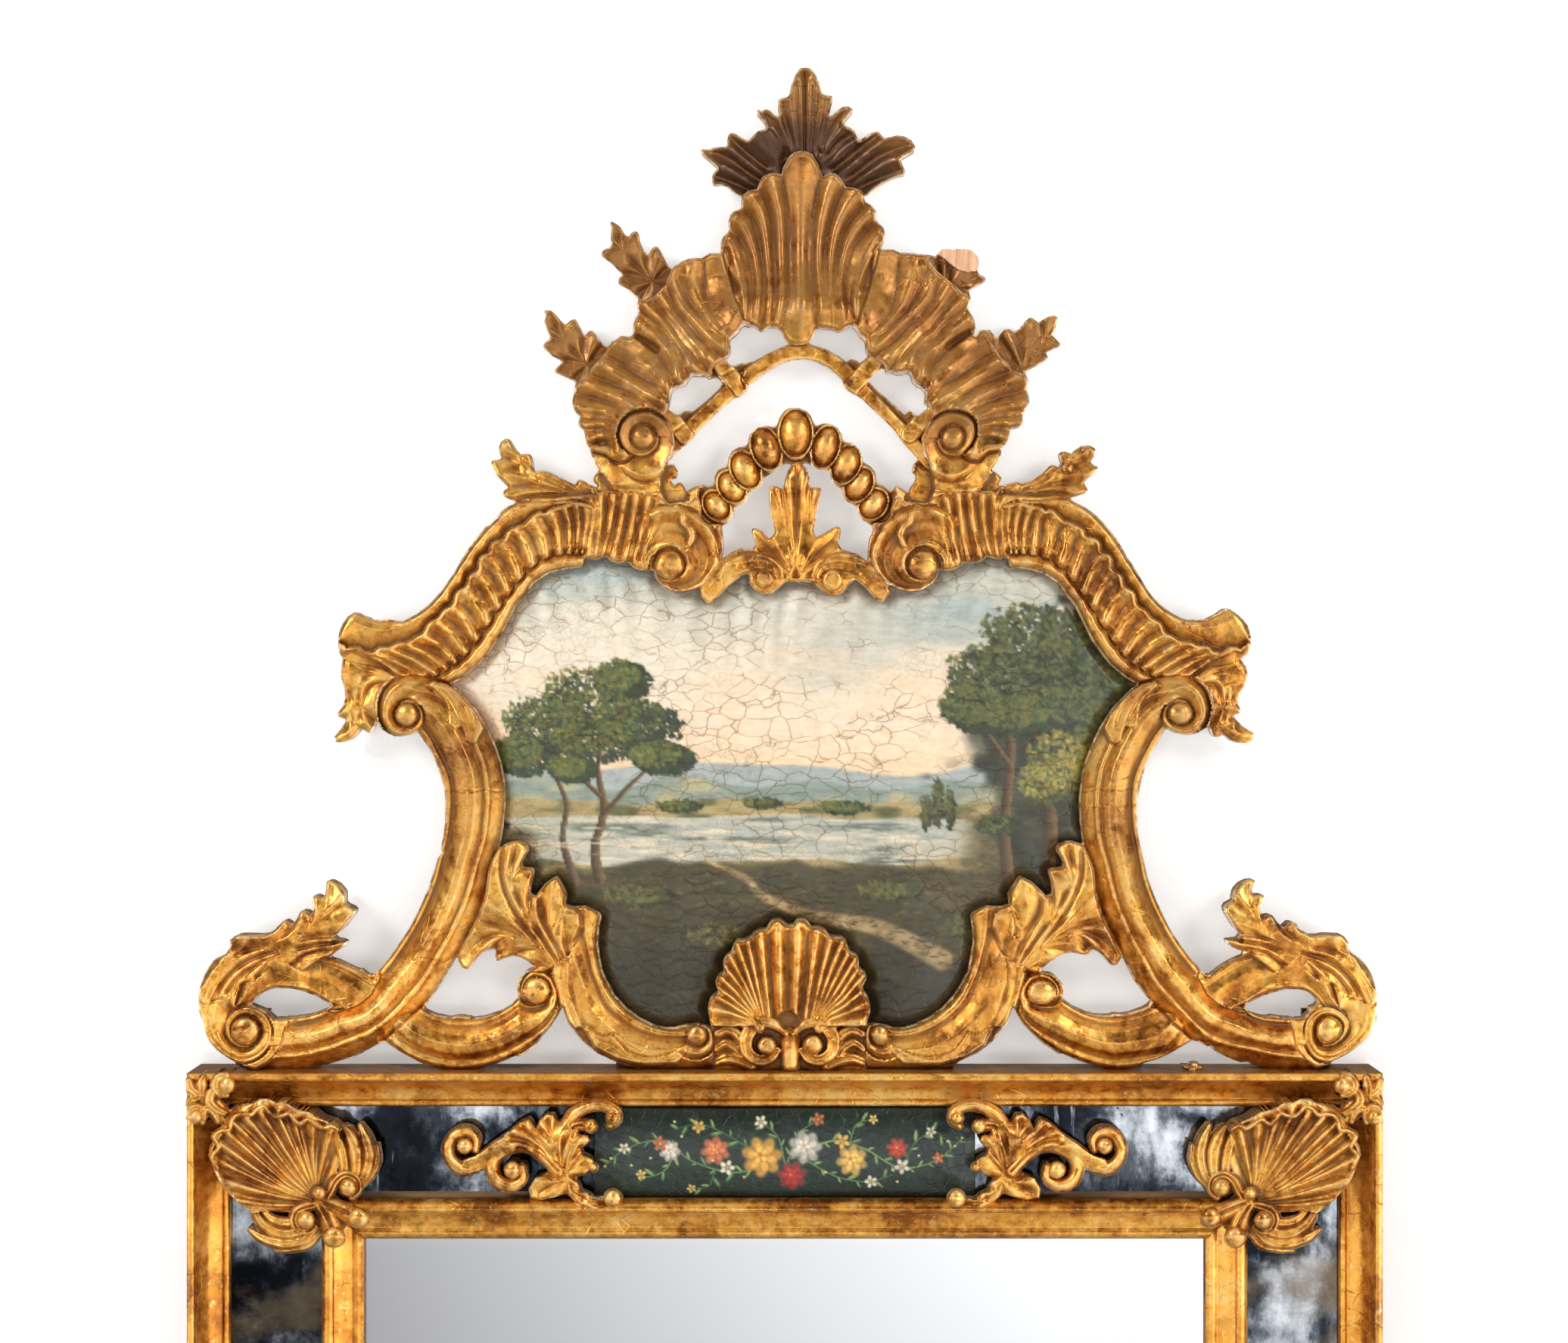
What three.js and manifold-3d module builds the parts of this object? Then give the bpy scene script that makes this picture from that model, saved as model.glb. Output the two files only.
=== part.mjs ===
// Carved giltwood trumeau mirror: an upright mirror with an antiqued mirror border, and a tall
// carved crest that frames a painted canvas. Millimetres, +Z up, the front faces -Y, the wall is y = 0.
// The model is laid out flat: local x to the right, local y up, local z = distance from the wall.
// The root group turns that layout upright.
import * as THREE from "three";
import { mergeVertices } from "three/addons/utils/BufferGeometryUtils.js";
import Module from "manifold-3d";

const wasm = await Module();
wasm.setup();

// ---------------------------------------------------------------- driving dimensions (mm)
const HALF_WIDTH = 633; // half the outer width of the lower frame
const TOP = 60.5; // top of the ledge above the origin
const BOTTOM = -1300; // bottom edge of the lower frame
const OUTER_W = 40; // outer moulding, face width
const STRIP_W = 98; // visible width of the mirror border
const INNER_W = 45; // inner moulding, face width
const OUTER_H = 75; // highest point of the outer moulding above the wall
const CARCASE_T = 30; // front of the rails and stiles
const STILE_BACK = 8; // stiles stand 8 mm off the wall, room for the hanging rings
const GLASS_T = 3.9;
const GAP = 0.3; // clearance between touching pieces
const LIP = 8; // how far a plate runs under a moulding
const PANEL_HALF = 203.5; // half length of the painted border panel
const PANEL_CROWN = 46; // its convex front above the wall
const RING_WIRE = 3.8, RING_W = 44, RING_DROP = 34; // hanging ring
const RING_Z = -250, RING_X = 542, RING_T = 3.9; // hanging ring hinge
const CANVAS_T = [21, 30.3, 44]; // back, edge and crown of the canvas panel

// the outlines below are control points in a flat drawing grid, turned to millimetres here
const GRID = 0.8, EYE = 2875, FRONT = 75, X0 = -0.8, Z0 = 486, GX = 1036, GY = 887, TREF = 50;
const K = (GRID * (EYE - TREF)) / (EYE - FRONT);
const mm = ([x, y]) => [X0 + (x - GX) * K, Z0 - (y - GY) * K];

// ---------------------------------------------------------------- helpers
function toManifold(geo) {
  const g = geo.index ? geo.toNonIndexed() : geo.clone();
  const p = new THREE.BufferGeometry().setAttribute("position", g.getAttribute("position"));
  const m = mergeVertices(p, 1e-3);
  return new wasm.Manifold(
    new wasm.Mesh({ numProp: 3, vertProperties: new Float32Array(m.attributes.position.array), triVerts: new Uint32Array(m.index.array) }),
  );
}
function toGeometry(solid) {
  const m = solid.getMesh();
  const pos = new Float32Array(m.numVert * 3);
  for (let i = 0; i < m.numVert; i++) for (let k = 0; k < 3; k++) pos[3 * i + k] = m.vertProperties[m.numProp * i + k];
  const g = new THREE.BufferGeometry();
  g.setAttribute("position", new THREE.BufferAttribute(pos, 3));
  g.setIndex(new THREE.BufferAttribute(new Uint32Array(m.triVerts), 1));
  g.computeVertexNormals();
  return g;
}
// keeps the largest body of a solid
function largest(solid) {
  const b = solid.decompose();
  return b.reduce((a, c) => (c.volume() > a.volume() ? c : a));
}
const area = (p) => p.reduce((s, a, i) => { const b = p[(i + 1) % p.length]; return s + a[0] * b[1] - b[0] * a[1]; }, 0) / 2;
const ccw = (p) => (area(p) < 0 ? p.slice().reverse() : p);
// moves a closed outline inwards by d (outwards when d < 0), mitred
function inset(pts, d) {
  const p = ccw(pts), n = p.length;
  return p.map((b, i) => {
    const a = p[(i + n - 1) % n], c = p[(i + 1) % n];
    const u = norm([b[0] - a[0], b[1] - a[1]]), v = norm([c[0] - b[0], c[1] - b[1]]);
    const m = norm([-(u[1] + v[1]), u[0] + v[0]]);
    const k = Math.max(0.5, m[0] * -v[1] + m[1] * v[0]);
    return [b[0] + (m[0] * d) / k, b[1] + (m[1] * d) / k];
  });
}
function norm([x, y]) { const l = Math.hypot(x, y) || 1; return [x / l, y / l]; }
function prism(pts, t0, t1) {
  const s = new THREE.Shape(ccw(pts).map(([x, y]) => new THREE.Vector2(x, y)));
  const g = new THREE.ExtrudeGeometry(s, { depth: t1 - t0, bevelEnabled: false, steps: 1 });
  g.translate(0, 0, t0);
  return g;
}
function box(x0, x1, y0, y1, t0, t1) {
  const g = new THREE.BoxGeometry(x1 - x0, y1 - y0, t1 - t0);
  g.translate((x0 + x1) / 2, (y0 + y1) / 2, (t0 + t1) / 2);
  return g;
}
// a straight member with a carved profile and mitred ends; profile is [s, t], s = inwards from the outer edge
// side: 0 top, 1 right, 2 bottom, 3 left; (hw, top, bottom) is the rectangle its outer edge runs along
function member(profile, side, hw, top, bottom, endGap) {
  const p = ccw(profile), n = p.length;
  const tri = THREE.ShapeUtils.triangulateShape(p.map(([s, t]) => new THREE.Vector2(s, t)), []);
  const mid = (top + bottom) / 2, hh = (top - bottom) / 2;
  const place = (s, t, e) => {
    // e = -1 or +1 end; runs along the side clockwise
    const half = (side % 2 ? hh : hw) - s - endGap;
    const u = e * half;
    if (side === 0) return [u, top - s, t];
    if (side === 1) return [hw - s, mid - u, t];
    if (side === 2) return [-u, bottom + s, t];
    return [-hw + s, mid + u, t];
  };
  const v = [];
  const A = p.map(([s, t]) => place(s, t, -1)), B = p.map(([s, t]) => place(s, t, 1));
  const quad = (a, b, c, d) => v.push(...a, ...b, ...c, ...a, ...c, ...d);
  for (let i = 0; i < n; i++) { const j = (i + 1) % n; quad(A[i], B[i], B[j], A[j]); }
  for (const [a, b, c] of tri) { v.push(...A[a], ...A[b], ...A[c]); v.push(...B[a], ...B[c], ...B[b]); }
  let g = new THREE.BufferGeometry().setAttribute("position", new THREE.BufferAttribute(new Float32Array(v), 3));
  if (toManifold(g).volume() < 0) {
    const w = [];
    for (let i = 0; i < v.length; i += 9) w.push(...v.slice(i, i + 3), ...v.slice(i + 6, i + 9), ...v.slice(i + 3, i + 6));
    g = new THREE.BufferGeometry().setAttribute("position", new THREE.BufferAttribute(new Float32Array(w), 3));
  }
  g.computeVertexNormals();
  return g;
}
function flipX(solid) { return solid.mirror([1, 0, 0]); }
function flipY(solid, at) { return solid.translate([0, -at, 0]).mirror([0, 1, 0]).translate([0, at, 0]); }

// ---------------------------------------------------------------- materials
const mat = (color, roughness, metalness) => new THREE.MeshStandardMaterial({ color, roughness, metalness });
const GILT = mat(0xb98a3e, 0.42, 0.75);
const GILT_DARK = mat(0x9c7233, 0.5, 0.7);
const PINE = mat(0xa98458, 0.8, 0);
const GLASS_OLD = mat(0x56616b, 0.25, 0.6);
const GLASS = mat(0xbfc4c6, 0.05, 1);
const GREEN = mat(0x2b3a2c, 0.35, 0);
const CANVAS = mat(0xb9a98a, 0.6, 0);
const IRON = mat(0x3a3733, 0.55, 0.8);

const root = new THREE.Group();
const frame = new THREE.Group();
frame.rotation.x = Math.PI / 2; // lays local z (distance from the wall) along -Y
root.add(frame);
function add(name, geometry, material) {
  const m = new THREE.Mesh(geometry, material);
  m.name = name;
  frame.add(m);
  return m;
}

// ---------------------------------------------------------------- lower frame: mouldings
const OUTER = [[0, 2], [0, 67], [1.5, 72], [4.5, 75], [7.5, 73.8], [9, 70], [10.5, 66], [13.5, 58], [18.5, 49.5], [25, 44], [31, 41.8], [33, 43.4], [35.5, 44.6], [38.5, 43], [OUTER_W, 39.5],
  [OUTER_W, CARCASE_T + GLASS_T + 0.7], [OUTER_W - LIP + 0.5, CARCASE_T + GLASS_T + 0.7], [OUTER_W - LIP + 0.5, CARCASE_T + 0.4], [6.5, CARCASE_T + 0.4], [6.5, 2]];
const INNER = [[0, CARCASE_T + GLASS_T + 0.7], [0, 44], [2.5, 50], [6, 54], [10, 55], [13, 53], [14.5, 49.5], [19, 45.5], [25, 42], [31, 40], [34, 40.8], [37, 42], [40, 41], [43, 37.5], [INNER_W, 34], [INNER_W, CARCASE_T + 0.7], [6.4, CARCASE_T + 0.7], [6.4, CARCASE_T + GLASS_T + 0.7]];
const IN_HW = HALF_WIDTH - OUTER_W - STRIP_W, IN_TOP = TOP - OUTER_W - STRIP_W, IN_BOT = BOTTOM + OUTER_W + STRIP_W;
const OPEN_HW = IN_HW - INNER_W, OPEN_TOP = IN_TOP - INNER_W, OPEN_BOT = IN_BOT + INNER_W;
const SIDES = ["top", "right", "bottom", "left"];
const MID = (TOP + BOTTOM) / 2;

// crest straps (iron) and battens are let into the back of the top rail and moulding
const STRAP_X = [-568, 574], STRAP_HALF = [13, 16];
const BATTEN_X = 150, BATTEN_HALF = 32;
const housings = [
  ...STRAP_X.map((x, i) => box(x - STRAP_HALF[i] - 0.4, x + STRAP_HALF[i] + 0.4, -40.4, 200, 9.2, 16)),
  ...[-1, 1].map((s) => box(s * BATTEN_X - BATTEN_HALF - 0.4, s * BATTEN_X + BATTEN_HALF + 0.4, -70.4, 200, 2.6, 15.8)),
].map(toManifold).reduce((a, b) => a.add(b));
// the back of the housings is open to the wall side in the batten width
const openBack = [-1, 1].map((s) => toManifold(box(s * BATTEN_X - BATTEN_HALF - 0.4, s * BATTEN_X + BATTEN_HALF + 0.4, -70.4, 200, -1, 3)))
  .concat(STRAP_X.map((x, i) => toManifold(box(x - STRAP_HALF[i] - 0.4, x + STRAP_HALF[i] + 0.4, -40.4, 200, -1, 10))))
  .reduce((a, b) => a.add(b));
const cutCrest = housings.add(openBack);

SIDES.forEach((side, i) => {
  let g = member(OUTER, i, HALF_WIDTH, TOP, BOTTOM, 0.15);
  if (i === 0) g = toGeometry(largest(toManifold(g).subtract(cutCrest)));
  add("outer_moulding_" + side, g, GILT);
});
SIDES.forEach((side, i) => add("inner_moulding_" + side, member(INNER, i, IN_HW, IN_TOP, IN_BOT, 0.15), GILT));

// carcase: two rails that bear on the wall, two stiles that stand off it
const RAIL_IN_TOP = OPEN_TOP + LIP, RAIL_IN_BOT = OPEN_BOT - LIP, STILE_IN = OPEN_HW + LIP;
const C_HW = HALF_WIDTH - 6.9;
add("top_rail", toGeometry(largest(toManifold(box(-C_HW, C_HW, RAIL_IN_TOP, TOP - 6.9, 0, CARCASE_T)).subtract(cutCrest))), PINE);
add("bottom_rail", box(-C_HW, C_HW, BOTTOM + 6.9, RAIL_IN_BOT, 0, CARCASE_T), PINE);
add("stile_left", box(-C_HW, -STILE_IN, RAIL_IN_BOT + GAP, RAIL_IN_TOP - GAP, STILE_BACK, CARCASE_T), PINE);
add("stile_right", box(STILE_IN, C_HW, RAIL_IN_BOT + GAP, RAIL_IN_TOP - GAP, STILE_BACK, CARCASE_T), PINE);
add("back_board", box(-STILE_IN + 0.4, STILE_IN - 0.4, RAIL_IN_BOT + 0.4, RAIL_IN_TOP - 0.4, 19.5, 26), PINE);
add("main_mirror_plate", box(-STILE_IN + 1, STILE_IN - 1, RAIL_IN_BOT + 1, RAIL_IN_TOP - 1, 26.4, 30.3), GLASS);

// mirror border, in strips, and the painted panels at the middle of the top and bottom bands
const G0 = CARCASE_T + 0.35, G1 = G0 + GLASS_T;
const B_OUT = HALF_WIDTH - OUTER_W + 6, B_IN = IN_HW - 6; // strip edges left to right
const T_OUT = TOP - OUTER_W + 6, T_IN = IN_TOP + 6, BT_IN = IN_BOT - 6, BT_OUT = BOTTOM + OUTER_W - 6;
add("border_mirror_top_left", box(-B_OUT, -PANEL_HALF - 0.6, T_IN, T_OUT, G0, G1), GLASS_OLD);
add("border_mirror_top_right", box(PANEL_HALF + 0.6, B_OUT, T_IN, T_OUT, G0, G1), GLASS_OLD);
add("border_mirror_bottom_left", box(-B_OUT, -PANEL_HALF - 0.6, BT_OUT, BT_IN, G0, G1), GLASS_OLD);
add("border_mirror_bottom_right", box(PANEL_HALF + 0.6, B_OUT, BT_OUT, BT_IN, G0, G1), GLASS_OLD);
add("border_mirror_left", box(-B_OUT, -B_IN, BT_IN + 0.5, T_IN - 0.5, G0, G1), GLASS_OLD);
add("border_mirror_right", box(B_IN, B_OUT, BT_IN + 0.5, T_IN - 0.5, G0, G1), GLASS_OLD);
function panel(y0, y1) {
  // convex front: an arc section run along x
  const sec = [];
  for (let i = 0; i <= 12; i++) { const f = i / 12; sec.push([y0 + (y1 - y0) * f, 36 + (PANEL_CROWN - 36) * Math.sin(Math.PI * f)]); }
  sec.push([y1, G0], [y0, G0]);
  const s = new THREE.Shape(ccw(sec).map(([a, b]) => new THREE.Vector2(a, b)));
  const g = new THREE.ExtrudeGeometry(s, { depth: 2 * PANEL_HALF, bevelEnabled: false, steps: 1 });
  // shape x -> local y, shape y -> local z, depth -> local x
  g.applyMatrix4(new THREE.Matrix4().set(0, 0, 1, -PANEL_HALF, 1, 0, 0, 0, 0, 1, 0, 0, 0, 0, 0, 1));
  return g;
}
add("floral_panel_top", panel(IN_TOP + 0.5, TOP - OUTER_W - 0.5), GREEN);
add("floral_panel_bottom", panel(BOTTOM + OUTER_W + 0.5, IN_BOT - 0.5), GREEN);

// ---------------------------------------------------------------- applied carving on the lower frame
const GROW = 0.35;
const ringOuter = SIDES.map((_, i) => toManifold(member(inset(OUTER, -GROW), i, HALF_WIDTH, TOP, BOTTOM, -0.2))).reduce((a, b) => a.add(b));
const ringInner = SIDES.map((_, i) => toManifold(member(inset(INNER, -GROW), i, IN_HW, IN_TOP, IN_BOT, -0.2))).reduce((a, b) => a.add(b));
const panelCut = toManifold(box(-PANEL_HALF - GROW, PANEL_HALF + GROW, IN_TOP, TOP - OUTER_W, G0 - 1, PANEL_CROWN + GROW));
const CORNER = [[248,1421],[262,1420],[283,1424],[300,1425],[312,1436],[311,1448],[334,1454],[355,1450],[378,1456],[409,1468],[425,1482],[448,1490],[462,1498],[478,1499],[487,1510],[495,1530],[494,1550],[478,1562],[472,1578],[489,1600],[490,1612],[478,1617],[455,1616],[450,1640],[436,1648],[415,1646],[395,1651],[355,1650],[330,1632],[334,1612],[320,1595],[293,1568],[280,1545],[273,1526],[270,1490],[252,1484],[249,1470],[262,1462],[270,1450],[262,1440],[249,1438]];
const CLASP = [[590,1515],[592,1500],[605,1494],[625,1497],[640,1512],[657,1503],[672,1499],[676,1488],[690,1480],[702,1480],[714,1475],[731,1471],[745,1478],[752,1470],[762,1461],[789,1455],[810,1460],[822,1472],[820,1487],[806,1492],[788,1497],[782,1510],[780,1526],[788,1535],[786,1550],[792,1570],[806,1569],[822,1576],[824,1588],[812,1596],[789,1595],[770,1588],[756,1580],[735,1586],[705,1588],[695,1578],[700,1564],[680,1568],[662,1564],[650,1550],[636,1547],[615,1545],[597,1540]];
const K2 = (GRID * (EYE - 66)) / (EYE - FRONT); // these stand further forward
const mm2 = ([x, y]) => [X0 + (x - GX) * K2, Z0 - (y - GY) * K2];
const applied = (pts, t1) => largest(toManifold(prism(pts.map(mm2), G1 + 0.35, t1)).subtract(ringOuter).subtract(ringInner).subtract(panelCut));
const corner = applied(CORNER, 88), clasp = applied(CLASP, 80);
add("corner_shell_top_left", toGeometry(corner), GILT);
add("corner_shell_top_right", toGeometry(flipX(corner)), GILT);
add("corner_shell_bottom_left", toGeometry(flipY(corner, MID)), GILT);
add("corner_shell_bottom_right", toGeometry(flipX(flipY(corner, MID))), GILT);
add("clasp_top_left", toGeometry(clasp), GILT);
add("clasp_top_right", toGeometry(flipX(clasp)), GILT);
add("clasp_bottom_left", toGeometry(flipY(clasp, MID)), GILT);
add("clasp_bottom_right", toGeometry(flipX(flipY(clasp, MID))), GILT);

// ---------------------------------------------------------------- crest
// name: [back, front, [outline, hole...]] in the drawing grid
const CARVED = {
  crown_shell: [24, 60, [[1053,456],[1052,456],[1042,454],[1027.1,431.9],[1014.4,432.4],[1005.2,437.4],[996.9,430.1],[981,424],[980,423],[979,422],[953,337],[952,336],[952.5,318.5],[963.2,304.2],[964.1,286.1],[969.3,279.3],[979.1,274.1],[981,258],[988.6,251.6],[999,250],[1001,248],[1007,234],[1008,233],[1009,232],[1018,228],[1019,228],[1030,229],[1033,228],[1041.8,207.8],[1049.6,200.6],[1061,198],[1062,198],[1072,202],[1073,203],[1074,204],[1086,229],[1089,231],[1096.2,228.2],[1104.1,228.9],[1111.1,234.9],[1117,246],[1118,247],[1137,250],[1138,251],[1139,252],[1142,257],[1144,266],[1156.8,277.2],[1158.6,291.4],[1168.1,302.9],[1168.9,314.9],[1164.9,326.6],[1166,331],[1166,332],[1165,333],[1164,334],[1136,430],[1135,431],[1134,432],[1125.6,429.7],[1107.9,437.9],[1082.6,432.6],[1068,453]]],
  plume: [14, 50, [[1137,250],[1118,247],[1117,246],[1111.1,234.9],[1104.1,228.9],[1096.2,228.2],[1089,231],[1086,229],[1074,204],[1073,203],[1072,202],[1062,198],[1061,198],[1049.6,200.6],[1041.8,207.8],[1033,228],[1030,229],[1019,228],[1018,228],[1009,232],[1008,233],[1007,234],[1001,248],[999,250],[988.6,251.6],[981,258],[959.7,246.3],[942.4,242.6],[941.3,232.3],[947.3,220.6],[929.3,203.7],[927.7,198.5],[959,193],[962.3,179.3],[965.6,175.6],[987.9,184.7],[1001.9,172.9],[1010,170],[1011.5,163.5],[1004.1,152.9],[1004,148.9],[1013.7,144.3],[1025.9,153],[1028.6,152.5],[1028.9,132.9],[1042.5,125.5],[1051.1,98.1],[1058.4,88.4],[1063.1,86.2],[1068.7,88.3],[1078.2,98.8],[1086.3,122.7],[1099.4,128.6],[1096.3,152.5],[1114.7,140.7],[1126,142.9],[1115.4,162.7],[1128.2,171.8],[1134.9,183.9],[1158.8,173.2],[1169.3,181.6],[1186.1,178.4],[1196.7,180.3],[1208.9,191.1],[1207.6,197.6],[1190.6,209.6],[1195.7,224.3],[1194.6,229.6],[1164.4,243.4],[1147.1,257],[1142,257],[1139,252],[1138,251]]],
  sprig_upper_left: [16, 38, [[874.7,380.7],[863.1,392.1],[853,396],[852,396],[847,395],[818.8,375.2],[817.2,370.2],[820.5,360.4],[795.6,337.4],[796.8,330.8],[807.6,323.6],[808.4,295.4],[817.1,296.9],[828.5,311.3],[837.6,305.6],[842.6,306.4],[847.7,323.3],[854.9,335],[863.9,325.9],[869.6,326.4],[886,357]]],
  sprig_lower_left: [16, 38, [[797.7,467.7],[764,506],[734.8,492.2],[733.7,487.6],[741,480.1],[741,476.9],[718.6,459.4],[718.9,454.9],[726.6,445],[719.5,427.6],[720,410.9],[728.7,410.3],[746.3,427.5],[756.7,421.8],[761,422],[771.4,441.6],[783.1,437],[801,460]]],
  sprig_lower_right: [16, 38, [[1312,449],[1318.7,445.5],[1328.6,434.6],[1343.6,436.5],[1360.6,419.6],[1372.1,425.3],[1386.3,417.3],[1396.6,418.3],[1397.5,422.6],[1391,442.7],[1399.6,452.3],[1400,456.1],[1383.5,465.4],[1384.3,472.5],[1380.1,477.1],[1351,493],[1339.9,488.1],[1322.3,470.7],[1314.1,457.9]]],
  sprig_upper_right: [16, 38, [[1277,387],[1271.3,385.7],[1240.3,359.7],[1232.9,351.1],[1231,343],[1247.2,328.2],[1271.8,328.2],[1287.7,333.3],[1293.5,343.4],[1291.8,358.5],[1302.4,368.8]]],
  pearl_arch: [22, 50, [[923,654],[925,644],[928.5,640.7],[934.6,642.2],[942.1,639.1],[947.1,623.1],[960.7,613.7],[966.9,596.9],[973.5,591.5],[986.6,587.6],[991.1,574.1],[997.3,567.3],[1011.3,562.3],[1024.4,563.4],[1037.8,541.8],[1052,538],[1067.7,544.3],[1077.9,561],[1093.7,559.3],[1106.7,565.3],[1114.8,582.2],[1128.3,586.7],[1135.1,592.9],[1141,610],[1155.9,622.1],[1159.9,638.1],[1175,647.8],[1183,649],[1183,651],[1183,656],[1174,686],[1173,687],[1172,688],[1155,691],[1154,692],[1148.7,692.2],[1141.9,688.1],[1130.4,668.6],[1116.3,660.7],[1111.3,645.7],[1099.1,636.9],[1095.1,621.9],[1081.5,620.5],[1067.4,611.6],[1058,610],[1047,612],[1046,613],[1037.2,613.3],[1010.7,630.7],[1006.1,641.1],[990.2,650.2],[985.2,663.2],[972.2,670.2],[969.4,681.4],[964.2,688.2],[954,694],[938.5,692.5],[931,689],[930,688],[929,687],[924,659]]],
  rocaille_left: [16, 68, [[788,646],[789,641.3],[784.2,632.1],[791,620.6],[774.3,584.7],[771.2,568.8],[764.8,561.2],[766.2,550.4],[759.1,541.9],[756.4,533.6],[759.4,512.4],[764,506],[797.7,467.7],[801,460],[808.8,450.8],[819.9,443.9],[830.9,444.6],[836,442],[837.5,426.5],[842.8,413.8],[842.4,399.4],[847,395],[852,396],[853,396],[863.1,392.1],[874.7,380.7],[886,357],[891.9,350.9],[908.7,341.7],[926.7,340.6],[939.2,334.2],[952,336],[953,337],[979,422],[980,423],[981,424],[976.1,434.1],[964.9,444.9],[964.1,464.1],[956,474],[942.9,481.9],[939,496],[914.6,493.7],[904.1,506.1],[889.9,511.9],[886.5,516.5],[881,541],[880,542],[878,546],[878,547],[889.7,572.3],[889,596],[882.1,612.9],[891.6,614.4],[896,625],[894.6,630.6],[888,633.9],[888.4,637.7],[892,640.3],[900.1,638],[908.3,648],[920.3,642.4],[925,644],[923,654],[920,657],[911,663],[910,663],[903,663],[902,663],[884.3,664.6],[864.3,652.7],[850.3,651.7],[841,648],[840,648],[793,650],[790,649],[789,648]]],
  rocaille_right: [16, 68, [[1319,648],[1318,649],[1317,650],[1315,650],[1268,648],[1267,648],[1257.7,651.7],[1243.7,652.7],[1231.5,657.5],[1222.7,664.6],[1205,663],[1204,663],[1198,663],[1196,663],[1186,655],[1183,651],[1183,649],[1182.7,644.5],[1185.9,642.5],[1197.7,649.9],[1200.1,649],[1208.7,634.7],[1206.3,619.3],[1208,613],[1212,611],[1219.7,617.3],[1227,619],[1228,618],[1229,616],[1221.5,600.5],[1218,580],[1218,578],[1233,547],[1233,546],[1230,540],[1229,539],[1222.4,528.7],[1222.9,515.1],[1207.3,502.7],[1202.6,491.4],[1173.2,490.5],[1170,484],[1167.1,478.9],[1151,469],[1145.2,462.8],[1143.4,447.6],[1133.9,437.1],[1134,432],[1135,431],[1136,430],[1164,334],[1165,333],[1166,332],[1166,331],[1178.9,329.1],[1191.2,333.8],[1224.8,336.2],[1231,343],[1232.9,351.1],[1240.3,359.7],[1271.3,385.7],[1277,387],[1282.6,393.4],[1279.3,407.9],[1287.8,424.2],[1288,442],[1290.2,442.8],[1297.7,435.7],[1305.8,436.5],[1312,449],[1314.1,457.9],[1322.3,470.7],[1339.9,488.1],[1351,493],[1358.5,501.4],[1356.3,514],[1359.8,532.8],[1351.8,546.5],[1350.9,559.9],[1335,568],[1333.2,580.2],[1323.9,592.9],[1321,605],[1311.8,619.4],[1323.2,630.7],[1320,639.3],[1322,644]]],
  strap_lattice: [18, 34, [[1091.3,460.7],[1118.3,477.3],[1125.9,474.2],[1137.5,478.3],[1151,469],[1167.1,478.9],[1170,484],[1149.9,499.9],[1149.6,505.4],[1155.8,512.2],[1194.5,547.3],[1202.8,543.6],[1212.7,548.6],[1229,539],[1230,540],[1233,546],[1233,547],[1218,578],[1218,580],[1221.5,600.5],[1229,616],[1228,618],[1227,619],[1219.7,617.3],[1212,611],[1210.6,603.3],[1177.2,562.8],[1138.7,526.3],[1120.3,514.7],[1105.2,494.8],[1079.6,478.4],[1063,474.3],[1035.4,479.4],[1005,497],[989.8,507.8],[981.7,520.7],[956.8,536.8],[924.8,566.8],[909.7,584.7],[894.1,597],[889,596],[889.7,572.3],[878,547],[878,546],[880,542],[881,541],[895.1,547.7],[905.1,543.1],[917.7,542.7],[953.1,509.1],[950.7,501.3],[941.5,499.3],[939,496],[942.9,481.9],[956,474],[967.5,483.3],[985.5,480.1],[996.9,476.9],[1042,454],[1052,456],[1053,456],[1068,453]]],
  palmette: [20, 56, [[1174,773],[1176.4,782.4],[1165.1,795.5],[1157.3,791.7],[1130.8,766],[1112.7,783.7],[1103.7,786.7],[1087.7,781.3],[1075.4,770.6],[1066,769],[1037.4,769.4],[1021.1,783.1],[1010.1,784.9],[996.9,779.1],[990.6,770.4],[989.5,759.6],[986.4,758.5],[977.9,761.9],[936.8,796.6],[927.5,788.5],[926,775],[927,774],[954,739],[966.5,729.5],[977.7,724.7],[995.1,724.1],[998.3,718.9],[993.3,702.8],[995.5,697.7],[1006.1,700.9],[1016.3,711],[1022.1,706.1],[1023.5,701.4],[1016.2,666.8],[1016.4,645.4],[1024,642],[1034.4,645.7],[1039.9,624.9],[1046,613],[1047,612],[1058,610],[1066.6,620.4],[1070.6,642.4],[1082.4,644.6],[1085.5,648.2],[1075.3,699.3],[1076.4,705.6],[1082.4,707.4],[1102.2,696.2],[1108.4,695.6],[1110.9,702.9],[1106.9,715.9],[1111.5,724.5],[1132.5,731.5],[1145.7,741],[1151,741],[1152,742],[1159.4,757.6]]],
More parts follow.
